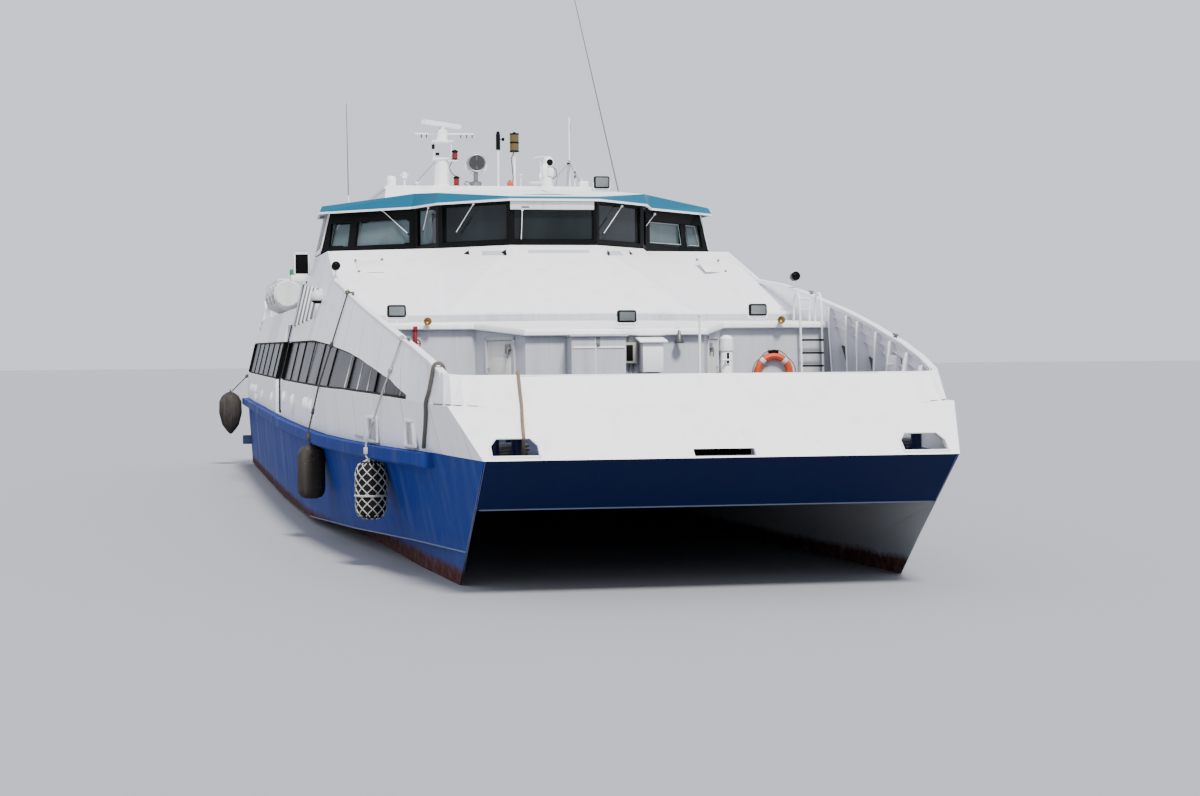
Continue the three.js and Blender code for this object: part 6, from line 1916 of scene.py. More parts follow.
@dataclass
class Lamps:
    """Floodlights, dome lamps and searchlights on brackets."""

    floods: tuple[tuple[float, float, float, float, float], ...] = (
        (9.21, -3.14, 3.86, 0.32, 0.21), (9.21, 3.14, 3.86, 0.32, 0.21), (12.2, 0.2, 3.705, 0.31, 0.20),
        (-0.5, 2.29, 6.80, 0.34, 0.26))
    foot_z: tuple[float, ...] = (3.672, 3.672, 3.515, 6.28)

    def floodlight(self) -> None:
        """Rounded black lamps with a grey lens, on white brackets."""
        bodies = Piece("floodlight_bodies")
        lenses = Piece("floodlight_lenses")
        brackets = []
        for (x, y, z, width, height), foot in zip(self.floods, self.foot_z):
            h, w = height / 2, width / 2
            bodies.block((x - 0.06, y - w, z - h), (x + 0.055, y + w, z + h), 0.035)
            for i in range(5):
                fin = y - w * 0.7 + i * w * 0.35
                bodies.block((x - 0.09, fin - 0.006, z - h * 0.7), (x - 0.05, fin + 0.006, z + h * 0.7),
                             0.002)
            lenses.block((x + 0.04, y - w + 0.03, z - h + 0.03), (x + 0.06, y + w - 0.03, z + h - 0.03),
                         0.012)
            low = z - h - 0.035
            brackets.append([(x, y - w - 0.012, z), (x, y - w - 0.012, low + 0.02), (x, y - w + 0.02, low),
                             (x, y + w - 0.02, low), (x, y + w + 0.012, low + 0.02), (x, y + w + 0.012, z)])
            brackets.append([(x, y, foot), (x, y, low)])
        bodies.done(BLACK, "wheelhouse_black")
        lenses.done(LENS, "dark_glass")
        fitted(pipe("floodlight_brackets", brackets, 0.013, 2), WHITE_PLAIN)

    def cap_lamps(self) -> None:
        """Black searchlights on curved white brackets, and a white dome lamp, on the cap rails."""
        posts = []
        heads = Piece("cap_searchlights")
        glasses = Piece("cap_searchlight_glasses")
        for x, y, z, foot in ((6.3, -3.93, 4.72, 4.49), (8.8, 3.93, 4.44, 4.245)):
            posts.append([(x - 0.05, y, foot - 0.02), (x - 0.07, y, (z + foot) / 2),
                          (x - 0.02, y, z - 0.10), (x, y, z - 0.06)])
            heads.turned([(0.0, 0.0), (0.05, 0.0), (0.075, 0.03), (0.08, 0.17), (0.07, 0.175), (0.07, 0.16),
                          (0.0, 0.155)],
                         (x - 0.1, y, z), (0.95, 0.0, 0.12), 20)
            glasses.turned([(0.0, 0.0), (0.068, 0.0), (0.05, 0.012), (0.0, 0.018)],
                           (x + 0.048, y, z + 0.019), (0.95, 0.0, 0.12), 20)
        heads.done(BLACK, "wheelhouse_black")
        glasses.done(DOOR_GLASS, "dark_glass")
        fitted(pipe("cap_searchlight_posts", posts, 0.022, 2), WHITE_PLAIN)
        dome = Piece("cap_dome_lamp")
        dome.turned([(0.0, 0.0), (0.10, 0.0), (0.125, 0.03), (0.125, 0.09), (0.10, 0.16), (0.05, 0.2),
                     (0.0, 0.21)],
                    (5.0, -4.18, 4.14), steps=24)
        dome.done(FRAME_WHITE, "white_paint")
        base = Piece("cap_dome_lamp_base")
        base.turned([(0.0, 0.0), (0.06, 0.0), (0.105, 0.04), (0.105, 0.06), (0.0, 0.06)],
                    (5.0, -4.18, 4.09), steps=20)
        base.bar((5.0, -4.18, 4.12), (5.0, -4.06, 4.12), 0.02, 8)
        base.done(BLACK, "wheelhouse_black")

    def raft_lamps(self) -> None:
        """White floodlights on arms by the life rafts and at the quarter."""
        heads = Piece("deck_floodlights")
        arms = []
        for side in BOTH:
            for x, y, z in ((-7.2, 3.92, 4.72), (-15.9, 4.04, 4.62)):
                heads.block(side.at(x - 0.07, y - 0.11, z - 0.08), side.at(x + 0.07, y + 0.11, z + 0.08),
                            0.03)
                arms.append([side.at(x - 0.02, 3.9, 4.05), side.at(x - 0.02, 3.9, z - 0.16),
                             side.at(x, y, z - 0.08)])
        heads.done(FRAME_WHITE, "white_paint")
        fitted(pipe("deck_floodlight_arms", arms, 0.017, 2), WHITE_PLAIN)

    def build(self) -> None:
        """Builds all of it."""
        self.floodlight()
        self.cap_lamps()
        self.raft_lamps()


@dataclass
class RoofGear:
    """Lamps, aerials and instruments on the two roofs."""

    lanterns: tuple[Point, ...] = ((-1.93, -0.69, 7.37), (-1.93, -0.66, 6.80))
    hangers: tuple[float, ...] = (-0.27, -0.39, -0.52, -1.28, -1.39)
    light_at: Point = (-1.768, -0.23, 7.30)

    def lanterns_and_amber(self) -> None:
        """Red lanterns with black caps, and the double amber lamp over its black rings."""
        red, black = [], []
        for spot in self.lanterns:
            red.append(("turned", [(0, 0.03), (0.055, 0.03), (0.062, 0.1), (0.055, 0.17), (0, 0.17)], spot))
            black.append(("turned", [(0, 0), (0.075, 0), (0.075, 0.02), (0.05, 0.032), (0, 0.032)], spot))
            black.append(("turned", [(0, 0.168), (0.075, 0.17), (0.072, 0.195), (0.03, 0.225), (0, 0.23)],
                          spot))
        x, y = -1.9, 0.62
        amber = [("turned", [(0, z), (0.097, z), (0.101, z + 0.08), (0.097, z + 0.16), (0, z + 0.16)],
                  (x, y, 0.0))
                 for z in (7.585, 7.775)]
        for z in (7.555, 7.745, 7.935):
            black.append(("turned", [(0, z), (0.104, z), (0.104, z + 0.03), (0, z + 0.03)], (x, y, 0.0)))
        black.append(("turned", [(0, 7.96), (0.04, 7.96), (0.03, 7.99), (0, 8.0)], (x, y, 0.0)))
        black.append(("turned", [(0, 7.6), (0.047, 7.6), (0.047, 7.93), (0.03, 8.003), (0, 8.003)],
                      (x, 0.26, 0.0)))
        black.append(("turned", [(0, 7.79), (0.03, 7.80), (0.035, 7.83), (0.03, 7.86), (0, 7.87)],
                      (x, 0.37, 0.0)))
        black += [("bar", (x, 0.26, 7.83), (x, 0.37, 7.83), 0.008, 6)]
        black += [("bar", (-2.2, y, 7.965), (-2.2, y, 7.875), 0.011, 6) for y in self.hangers]
        black += [("block", (-2.07, -1.18, 7.62), (-2.0, -1.12, 7.72)),
                  ("block", (-2.06, -1.1, 7.48), (-2.0, -1.02, 7.54))]
        fitting("roof_lanterns", RED, "lifebuoy_orange", red)
        fitting("roof_amber_lamp", AMBER, "bronze", amber)
        fitting("roof_black_fittings", BLACK, "wheelhouse_black", black)
        fitting("roof_lantern_bracket", WHITE_PLAIN, "white_paint", [
            ("bar", (-2.05, -0.82, 7.36), (-1.93, -0.69, 7.36), 0.014, 8),
            ("block", (-2.0, -0.76, 7.35), (-1.86, -0.62, 7.37)),
        ])

    def searchlight(self) -> None:
        """Bright rim, glass, reflector and yoke of the searchlight, and its base's flange."""
        x, y, z = self.light_at
        fitting("searchlight_rim", STEEL, "steel", [
            ("ring", (x, y, z), 0.182, 0.016, Axis.X, 36),
            ("turned", [(0, 0), (0.13, 0), (0.13, 0.02), (0.06, 0.045), (0, 0.045)], (x - 0.18, y, 6.875)),
            ("bar", (x + 0.012, y, z - 0.17), (x + 0.012, y, z + 0.17), 0.006, 6),
            ("ring", (x + 0.006, y, z), 0.07, 0.008, Axis.X, 24),
        ])
        glass = [("turned", [(0, 0), (0.172, 0), (0.12, 0.014), (0, 0.02)], (x, y, z), Axis.X, 32)]
        fitting("searchlight_glass", SEARCH_GLASS, "dark_glass", glass)
        half = [(0.225, 0.0), (0.22, -0.1), (0.17, -0.2), (0.08, -0.26), (0.0, -0.275)]
        line = [(x - 0.18, y - a, z + b) for a, b in half] + [(x - 0.18, y + a, z + b) for a,
                                                              b in half[-2::-1]]
        fitted(pipe("searchlight_yoke", [line], 0.017, 2), WHITE_PLAIN)

    def camera_unit(self) -> None:
        """Instrument cluster on its white drum, with a round dark eye, a flat dish and side plates."""
        fitting("roof_instrument", WHITE_PLAIN, "white_paint", [
            ("turned", [(0, 0), (0.135, 0), (0.13, 0.26), (0, 0.26)], (-2.25, 1.40, 6.775)),
            ("block", (-2.3, 1.28, 7.03), (-2.12, 1.40, 7.33), 0.02),
            ("block", (-2.22, 1.40, 7.05), (-2.1, 1.53, 7.24), 0.02),
            ("bar", (-2.33, 1.45, 7.36), (-2.15, 1.45, 7.36), 0.09, 20, 0.01),
            ("bar", (-2.13, 1.245, 6.95), (-2.13, 1.245, 7.28), 0.018, 8),
            ("block", (-2.2, 1.2, 7.0), (-2.1, 1.26, 7.1)),
            ("turned", [(0, 0), (0.04, 0), (0.16, 0.035), (0.16, 0.05), (0, 0.06)], (-1.85, 1.08, 6.85)),
            ("bar", (-1.85, 1.08, 6.775), (-1.85, 1.08, 6.87), 0.025, 10),
            ("plate", [(-2.3, 1.06, 7.45), (-2.1, 1.10, 7.45), (-2.1, 1.34, 7.49), (-2.3, 1.30, 7.49)],
             (0, 0, 0.012)),
            ("bar", (-2.2, 1.25, 7.32), (-2.2, 1.22, 7.47), 0.012, 8),
            ("turned", [(0, 0), (0.04, 0), (0.04, 0.02), (0, 0.03)], (-1.9, 0.76, 7.05)),
            ("bar", (-1.9, 0.76, 6.77), (-1.9, 0.76, 7.06), 0.011, 8),
            ("bar", (-1.95, 1.97, 6.77), (-1.95, 1.97, 7.2), 0.011, 8),
            ("bar", (-1.95, 2.13, 6.77), (-1.95, 2.13, 7.0), 0.011, 8),
            ("bar", (-1.6, -1.56, 6.77), (-1.6, -1.56, 6.84), 0.012, 8),
            ("turned", [(0, 0), (0.05, 0), (0.045, 0.02), (0, 0.035)], (-1.6, -1.56, 6.835)),
            ("turned", [(0, 0), (0.104, 0), (0.107, 0.1), (0.104, 0.19), (0.08, 0.225), (0, 0.245)],
             (-1.8, -2.1, 6.77)),
            ("bar", (-1.8, -1.90, 7.03), (-1.8, -1.72, 7.03), 0.01, 8),
            ("block", (-1.62, 2.0, 6.77), (-1.52, 2.2, 6.9), 0.02),
        ])
        fitting("roof_instrument_eye", BLACK, "wheelhouse_black", [
            ("turned", [(0, 0), (0.075, 0), (0.055, 0.02), (0, 0.012)], (-2.15, 1.45, 7.36), Axis.X),
            ("turned", [(0, 0), (0.05, 0), (0.03, 0.03), (0, 0.03)], (-2.1, 1.86, 7.32)),
            ("block", (-1.9, 1.955, 7.0), (-1.94, 1.985, 7.06)),
            ("block", (-1.9, 1.955, 7.1), (-1.94, 1.985, 7.15)),
        ])
        fitting("roof_aerial_foot", FRAME_GREY, "steel", [("bar", (-2.1, 1.83, 6.77), (-2.1, 1.88, 7.40),
                                                           0.03, 12)])
        fitting("roof_beacon", ORANGE, "lifebuoy_orange", [
            ("block", (-1.84, 0.44, 6.79), (-1.72, 0.57, 6.90), 0.02),
            ("bar", (-1.78, 0.5, 6.77), (-1.78, 0.5, 6.93), 0.03, 12)])

    def lines(self) -> None:
        """Thin stays of the aerial and the mast, and the cables clipped along the poles."""
        fitted(pipe("roof_stays", [
            [(-2.1, 1.86, 7.33), (-2.1, 1.62, 7.08), (-2.1, 1.56, 6.785)],
            [(-2.1, 1.88, 7.35), (-2.1, 2.19, 6.785)], [(-2.1, -1.1, 7.35), (-2.1, -1.62, 6.785)],
            [(-2.1, 1.89, 7.9), (-2.1, 1.905, 8.2)],
        ], 0.005, 1), BLACK)
        fitted(pipe("roof_cables", [
            [(-1.86, 0.60, 7.56), (-1.85, 0.54, 7.4), (-1.86, 0.56, 7.25), (-1.88, 0.585, 7.0),
             (-1.86, 0.57, 6.785)],
            [(-2.12, 1.5, 7.26), (-2.08, 1.58, 7.18), (-2.08, 1.58, 7.05), (-2.12, 1.5, 6.99)],
            [(-1.8, -0.42, 6.785), (-1.8, -0.5, 6.84), (-1.8, -0.47, 6.90), (-1.8, -0.4, 6.88),
             (-1.8, -0.36, 6.82)],
            [(-1.93, -0.75, 7.34), (-1.97, -0.82, 7.2), (-1.93, -0.74, 7.06), (-1.93, -0.68, 7.03)],
        ], 0.009, 2), BLACK)

    def build(self) -> None:
        """Builds all of it."""
        self.lanterns_and_amber()
        self.searchlight()
        self.camera_unit()
        self.lines()


@dataclass(frozen=True)
class Fender:
    """A hanging fender: its place, its size and the line that it hangs on."""

    name: str
    place: tuple[float, float]
    heights: tuple[float, float]
    radius: float
    line: tuple[Point, ...]
    finish: Finish
    netted: bool = False
    net_strands: int = 9
    net_turn: float = 3.9
    form: tuple[tuple[float, float], ...] = (
        (0.0, 0.45), (0.03, 0.74), (0.10, 0.93), (0.22, 1.0), (0.78, 1.0), (0.90, 0.90), (0.97, 0.66),
        (1.0, 0.3))

    def width(self, part: float) -> float:
        """Radius at a part of its height."""
        return self.radius * interpolate(self.form, part, 1)

    def net(self) -> None:
        """Diamond net of thick yarn, its middle band and its gathered neck."""
        (x, y), (low, high) = self.place, self.heights
        strands = []
        for turn in (1, -1):
            for k in range(self.net_strands):
                line = []
                for i in range(17):
                    part, angle = i / 16, 2 * math.pi * k / self.net_strands + turn * self.net_turn * i / 16
                    r = self.width(part) + 0.006
                    line.append((x + r * math.cos(angle), y + r * math.sin(angle),
                                 low + part * (high - low)))
                strands.append([*line, (x, y, high + 0.07)])
        fitted(pipe(f"{self.name}_net", strands, 0.0085, 1), NET)
        band = [("ring", (x, y, low + 0.4 * (high - low)), self.radius + 0.012, 0.015, Axis.Z, 40),
                ("turned", [(0, 0), (0.07, 0), (0.04, 0.06), (0.03, 0.11), (0, 0.12)], (x, y, high - 0.01))]
        fitting(f"{self.name}_band", NET, "fender_rubber", band)

    def build(self) -> None:
        """Body, hanging line with its knots, and the net where there is one."""
        (x, y), (low, high) = self.place, self.heights
        parts = (0.0, 0.015, 0.03, 0.06, 0.10, 0.16, 0.22, 0.5, 0.78, 0.84, 0.90, 0.94, 0.97, 1.0)
        profile = [(0.0, 0.0), *[(self.width(p), p * (high - low)) for p in parts],
                   (0.0, high - low + 0.015)]
        body = fitting(self.name + "_body", self.finish, "fender_rubber", [
            ("turned", profile, (x, y, low), Axis.Z, 36), ("ring", (x, y, high + 0.02), 0.05, 0.016, Axis.Y,
                                                           20)])
        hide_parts(self.name)
        yarn = NET if self.netted else ROPE
        fitted(pipe(f"{self.name}_line", [self.line], 0.015, 2), yarn)
        knots = []
        for i, size in ((1, 0.05), (2, 0.035), (3, 0.04)):
            if i < len(self.line) - 1:
                a, b = Vector(self.line[i]), Vector(self.line[i + 1])
                way = (b - a).normalized() * 0.05
                middle = a + (b - a) * 0.45
                knots.append(("bar", tuple(middle - way), tuple(middle + way), size * 0.75, 10, 0.008))
        knots.append(("ring", self.line[-2], 0.03, 0.014, Axis.X, 14))
        fitting(f"{self.name}_knots", yarn, "fender_rubber", knots)
        if self.netted:
            self.net()
        LOG.info("fender %s, line of %d points", self.name, len(self.line))


@dataclass
class Ropes:
    """Fenders, the ropes over the bow bulwark, and the coils and bollards inside it."""

    inside: tuple[Point, ...] = ((17.22, -3.27, 2.58), (17.30, -3.33, 2.85), (17.36, -3.38, 2.985),
                                 (17.36, -3.455, 3.0))
    outside: tuple[tuple[float, float], ...] = (
        (17.34, 2.95), (17.27, 2.80), (17.17, 2.62), (17.04, 2.48), (16.93, 2.34), (16.76, 2.14),
        (16.62, 1.98), (16.52, 1.85))
    painter: tuple[Point, ...] = (
        (17.85, -2.45, 2.62), (17.93, -2.45, 2.86), (17.99, -2.455, 2.868), (18.06, -2.46, 2.84),
        (18.3, -2.48, 2.66),
        (18.56, -2.50, 2.455), (18.8, -2.53, 2.275), (19.06, -2.555, 2.08), (19.02, -2.55, 2.0),
        (18.9, -2.53, 1.84))

    def fenders(self) -> tuple[Fender, ...]:
        """The fenders, with lines that end on the side plating's top edge or seam.

        Returns:
            The three fenders.
        """
        def line(x: float, y: float, top: float, seam_x: float, top_x: float) -> tuple[Point, ...]:
            """Line from a fender's top, round the rub rail, up the side and over its top edge.

            Args:
                x: the fender's place along the length.
                y: its distance from the centreline.
                top: height of its top.
                seam_x: where the line crosses the seam.
                top_x: where it crosses the top edge.

            Returns:
                The line's points.
            """
            out = side_y(x, deck_z(x)) + 0.19
            seam_z, edge, edge_z = (interpolate(SIDE_ROWS, v, c) for v,
                                    c in ((seam_x, 3), (top_x, 4), (top_x, 5)))
            return ((x, -y, top - 0.02), (x, -out, top + 0.06), (x, -out, deck_z(x) + 0.02),
                    (seam_x, -side_y(seam_x, seam_z) - 0.022, seam_z), (top_x, -edge - 0.02, edge_z + 0.02),
                    (top_x, -edge + 0.09, edge_z + 0.02))
        stern = ((-19.0, -5.07, 2.08), (-19.0, -4.60, 2.55), (-19.0, -4.575, 2.585))
        return (Fender("fender_netted", (14.1, -4.041), (0.72, 1.575), 0.225,
                       line(14.1, 4.041, 1.575, 14.56, 15.2), RUBBER, netted=True),
                Fender("fender_plain", (8.5, -4.547), (0.69, 1.595), 0.238,
                       line(8.5, 4.547, 1.595, 8.9, 9.6), BROWN_RUBBER),
                Fender("fender_stern", (-19.0, -5.07), (0.9, 2.1), 0.335, stern, BROWN_RUBBER, form=(
                    (0.0, 0.1), (0.1, 0.42), (0.22, 0.72), (0.4, 0.95), (0.6, 1.0), (0.78, 0.95),
                    (0.92, 0.7), (1.0, 0.25))))

    def hanging(self) -> None:
        """The dark rope that hangs free over the starboard cap rail, and the tan one in the opening."""
        dark = [*self.inside, *(Side.STARBOARD.at(x, side_y(x, z) + 0.028, z) for x, z in self.outside)]
        for name, points, radius, finish, far_end, lay in (
                ("bow_dark_rope", dark, 0.027, DARK_ROPE, "bare", "hanging"),
                ("bow_tan_rope", self.painter, 0.021, TAN_ROPE, "object", "hanging")):
            path = eased(points)
            rope = fitted(pipe(name, [path], radius, 3), finish)
            length = sum((Vector(b) - Vector(a)).length for a, b in zip(path, path[1:]))
            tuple(path[0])
        fitting("bow_rope_cleat_bars", STEEL, "steel", [
            ("bar", (17.25, -3.18, 2.56), (17.25, -3.40, 2.56), 0.022, 10, 0.004),
            ("bar", (17.85, -2.35, 2.60), (17.85, -2.55, 2.60), 0.02, 10, 0.004),
            ("block", (17.86, -2.47, 2.57), (17.97, -2.43, 2.63)),
            ("block", (17.23, -3.43, 2.54), (17.27, -3.39, 2.58))])

    def coil(self, name: str, centre: Point, radius: float, turns: int, yarn: float,
             finish: Finish) -> None:
        """A coiled mooring rope on the deck.

        Args:
            name: the piece's name.
            centre: the coil's centre on the deck.
            radius: about the radius of its widest turn.
            turns: how many turns it has.
            yarn: the rope's radius.
            finish: its finish.
        """
        x, y, z = centre
        path = []
        for i in range(24 * turns + 1):
            part, angle = i / 24, 2 * math.pi * i / 24
            layer, lane = divmod(part, 2.0)
            r = radius - 2.3 * yarn * abs(lane - 1.0) + 0.4 * yarn * math.sin(layer * 2.1)
            path.append((x + r * math.cos(angle), y + r * math.sin(angle), z + yarn * (1.05 + 1.08 * part)))
        rope = fitted(pipe(name, [path], yarn, 2), finish)
        length = sum((Vector(b) - Vector(a)).length for a, b in zip(path, path[1:]))
        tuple(path[0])

    def foredeck(self) -> None:
        """Twin bollards, the windlass's drums and levers, cleats, the jackstaff and a small box."""
        steel, blue = [], []
        for side in BOTH:
            for x, y in ((18.45, 2.55), (18.45, 2.85), (14.0, 3.45), (13.65, 3.47)):
                z = deck_z(x)
                blue.append(("turned", [(0, 0), (0.085, 0), (0.075, 0.02), (0.07, 0.24), (0.09, 0.26),
                                        (0.09, 0.285), (0, 0.30)],
                             side.at(x, y, z)))
            blue += [("block", side.at(18.3, 2.42, deck_z(18.4)), side.at(18.6, 2.98, deck_z(18.4) + 0.02)),
                     ("block", side.at(13.5, 3.35, deck_z(14)), side.at(14.15, 3.57, deck_z(14) + 0.02))]
            steel += [("bar", side.at(15.42, y, 2.15), side.at(15.42, y + 0.05, 2.15), 0.2, 24, 0.008)
                      for y in (0.24, 0.4)]
            steel += [("turned", [(0, 0), (0.13, 0), (0.1, 0.05), (0.09, 0.12), (0.13, 0.16), (0.13, 0.175),
                                  (0, 0.18)],
                       side.at(15.42, 0.45, 2.15), side.at(0, 1, 0), 24)]
            for x, y, z in ((9.85, 3.92, 4.115), (15.35, 3.60, 3.325)):
                steel += [("bar", side.at(x - 0.11, y, z + 0.05), side.at(x + 0.11, y, z + 0.05 - 0.02),
                           0.018, 8, 0.005),
                          ("block", side.at(x - 0.03, y - 0.02, z - 0.03),
                           side.at(x + 0.03, y + 0.02, z + 0.05))]
        steel += [("block", (15.2, -0.1, 2.24), (15.62, 0.1, 2.30), 0.02),
                  ("bar", (15.5, 0.05, 2.25), (15.62, 0.2, 2.62), 0.014, 8)]
        fitting("foredeck_bollards", NAVY_PLAIN, "bow_navy", blue)
        fitting("windlass_drums_and_cleats", CAST, "steel", steel)
        fitting("jackstaff", WHITE_PLAIN, "white_paint", [
            ("bar", (13.5, 1.075, 1.82), (13.5, 1.075, 3.70), 0.02, 12),
            ("turned", [(0, 0), (0.03, 0), (0.032, 0.03), (0, 0.05)], (13.5, 1.075, 3.68)),
            ("turned", [(0, 0), (0.08, 0), (0.07, 0.02), (0.025, 0.04), (0, 0.04)], (13.5, 1.075, 1.82)),
            ("block", (15.13, 3.52, 2.81), (15.62, 3.60, 3.06), 0.015),
            ("bar", (15.3, 3.5, 2.93), (15.45, 3.5, 2.93), 0.01, 8)])

    def build(self) -> None:
        """Builds all of it."""
        for fender in self.fenders():
            fender.build()
        self.hanging()
        for side, label in LABELLED:
            self.coil(f"bow_mooring_coil_{label}", side.at(18.0, 2.65, deck_z(18.0) + 0.002), 0.33, 6, 0.02,
                      NET)
            self.coil(f"quarter_mooring_coil_{label}", side.at(-18.9, 3.3, deck_z(-18.9) + 0.002), 0.28, 5,
                      0.018, ROPE)
        self.foredeck()


@dataclass
class UpperWorks:
    """Saloon windows and doors, raft straps, light screens, stern fittings, running gear, cushions."""

    windows: tuple[float, ...] = (-10.9, -9.5, -8.1, -6.7, -5.3, -3.9)
    rafts: tuple[float, ...] = (-7.5, -9.0, -10.5)
    raft_centre: tuple[float, float] = (4.1, 4.59)

    def saloon(self) -> None:
        """Rubber rims round the saloon's windows, and the after door's pane and handle."""
        rims = []
        for side in BOTH:
            for x in self.windows:
                corners = [side.at(u, 2.652 - 0.151 * (z - 4.0), z) for u, z in (
                    (x - 0.03, 4.82), (x + 1.18, 4.82), (x + 1.18, 5.68), (x - 0.03, 5.68))]
                rims.append(("rim", corners, 0.06, (0, side.value * 0.014, 0)))
        fitting("saloon_window_rims", BLACK, "wheelhouse_black", rims)
        fitting("saloon_door_pane", SIDE_GLASS, "dark_glass",
                [("block", (-11.54, -0.27, 4.95), (-11.52, 0.27, 5.75), 0.006)], "upper_saloon_door")
        fitting("saloon_door_handle", STEEL, "steel", [
            ("block", (-11.535, 0.31, 4.95), (-11.52, 0.37, 5.12)),
            ("bar", (-11.53, 0.34, 5.05), (-11.58, 0.34, 5.05), 0.011),
            ("bar", (-11.58, 0.345, 5.05), (-11.58, 0.23, 5.045), 0.01)], "upper_saloon_door")
        fitting("stern_door_pane", SIDE_GLASS, "dark_glass",
                [("block", (-18.46, -1.45, 2.85), (-18.44, -0.95, 3.5), 0.006)], "stern_door")
        fitting("stern_door_handle", STEEL, "steel", [
            ("bar", (-18.45, -0.78, 2.85), (-18.5, -0.78, 2.85), 0.011),
            ("bar", (-18.5, -0.775, 2.85), (-18.5, -0.89, 2.845), 0.01)], "stern_door")

    def life_rafts(self) -> None:
        """Straps and the middle joint of each canister, and a release box under each."""
        straps, joints = [], []
        y, z = self.raft_centre
        for side in BOTH:
            for x in self.rafts:
                straps += [("bar", side.at(x + d, y, z), side.at(x + d + 0.045, y, z), 0.334, 36)
                           for d in (0.25, 0.92)]
                joints.append(("bar", side.at(x + 0.575, y, z), side.at(x + 0.63, y, z), 0.34, 36, 0.006))
                straps.append(("block", side.at(x + 0.5, 3.79, 4.09), side.at(x + 0.62, 3.88, 4.2), 0.01))
        fitting("liferaft_straps", BLACK, "wheelhouse_black", straps)
        fitting("liferaft_joints", FRAME_WHITE, "canister_white", joints)

    def screens(self) -> None:
        """Slats, pale frame and coloured lamp of each side light's screen."""
        slats, frame = [], []
        for side, lens, label in ((Side.STARBOARD, GREEN, "starboard"), (Side.PORT, RED, "port")):
            slats += [("block", side.at(-0.19, 4.315, 4.82 + 0.07 * i),
                       side.at(0.19, 4.295, 4.86 + 0.07 * i), 0.003)
                      for i in range(6)]
            slats += [("block", side.at(0.2, 4.03 + 0.05 * i, 4.82), side.at(0.212, 4.05 + 0.05 * i, 5.2),
                       0.003) for i in range(5)]
            frame += [("block", side.at(0.19, 4.005, z), side.at(0.225, 4.325, z + 0.04), 0.006)
                      for z in (4.775, 5.215)]
            frame += [("block", side.at(0.19, y, 4.78), side.at(0.225, y + 0.035, 5.25), 0.006)
                      for y in (4.0, 4.295)]
            frame.append(("block", side.at(-0.26, 4.385, 4.685), side.at(0.26, 4.36, 4.79), 0.006))
            frame.append(("block", side.at(0.25, 3.99, 4.66), side.at(0.268, 4.37, 4.79), 0.004))
            lamp = ("turned", [(0, 0), (0.06, 0), (0.068, 0.06), (0.06, 0.12), (0, 0.125)],
                    side.at(0.13, 4.345, 4.79))
            fitting(f"side_light_{label}", lens, "dark_glass", [lamp])
        fitting("side_light_slats", BLACK, "wheelhouse_black", slats)
        fitting("side_light_frames", WHITE_PLAIN, "white_paint", frame)

    def stern(self) -> None:
        """Bollards on the quarters, two lamps on the stern bulkhead, and the flagstaff with its light."""
        white, dark = [], []
        for side in BOTH:
            for y in (3.75, 4.05):
                dark.append(("turned", [(0, 0), (0.08, 0), (0.07, 0.2), (0.09, 0.23), (0, 0.25)],
                             side.at(-19.15, y, deck_z(-19.15))))
            dark.append(("block", side.at(-19.28, 3.62, deck_z(-19.2)),
                         side.at(-19.02, 4.18, deck_z(-19.2) + 0.02)))
            white += [("block", side.at(-18.47, y, 3.55), side.at(-18.54, y + 0.26, 3.66), 0.02)
                      for y in (1.9, 3.6)]
            dark += [("block", side.at(-18.475, y + 0.02, 3.53), side.at(-18.53, y + 0.24, 3.555), 0.006)
                     for y in (1.9, 3.6)]
        white += [("bar", (-18.86, 0, 4.0), (-19.0, 0, 5.9), 0.022, 12),
                  ("block", (-18.93, -0.09, 4.42), (-18.85, 0.09, 4.58), 0.015),
                  ("turned", [(0, 0), (0.045, 0), (0.05, 0.09), (0, 0.1)], (-18.99, 0.0, 4.46))]
        fitting("stern_bollards_and_vents", CAST, "steel", dark)
        fitting("stern_lights_and_flagstaff", WHITE_PLAIN, "white_paint", white)

    def running_gear(self) -> None:
        """Nose cones on the propellers and anodes on the rudders."""
        for side, label in LABELLED:
            cone = [(0, 0), (0.1, 0), (0.085, 0.06), (0.05, 0.12), (0, 0.14)]
            fitting(f"propeller_cone_{label}", BRONZE, "bronze",
                    [("turned", cone, side.at(-17.75, 3.25, -1.3), (-1, 0, 0), 24)], f"propeller_{label}")
            rows = [("block", side.at(-18.75, y, z), side.at(-18.45, y + 0.03, z + 0.1), 0.012)
                    for y in (3.295, 3.175) for z in (-0.95, -1.5)]
            fitting(f"rudder_anodes_{label}", STEEL, "steel", rows, f"rudder_{label}")

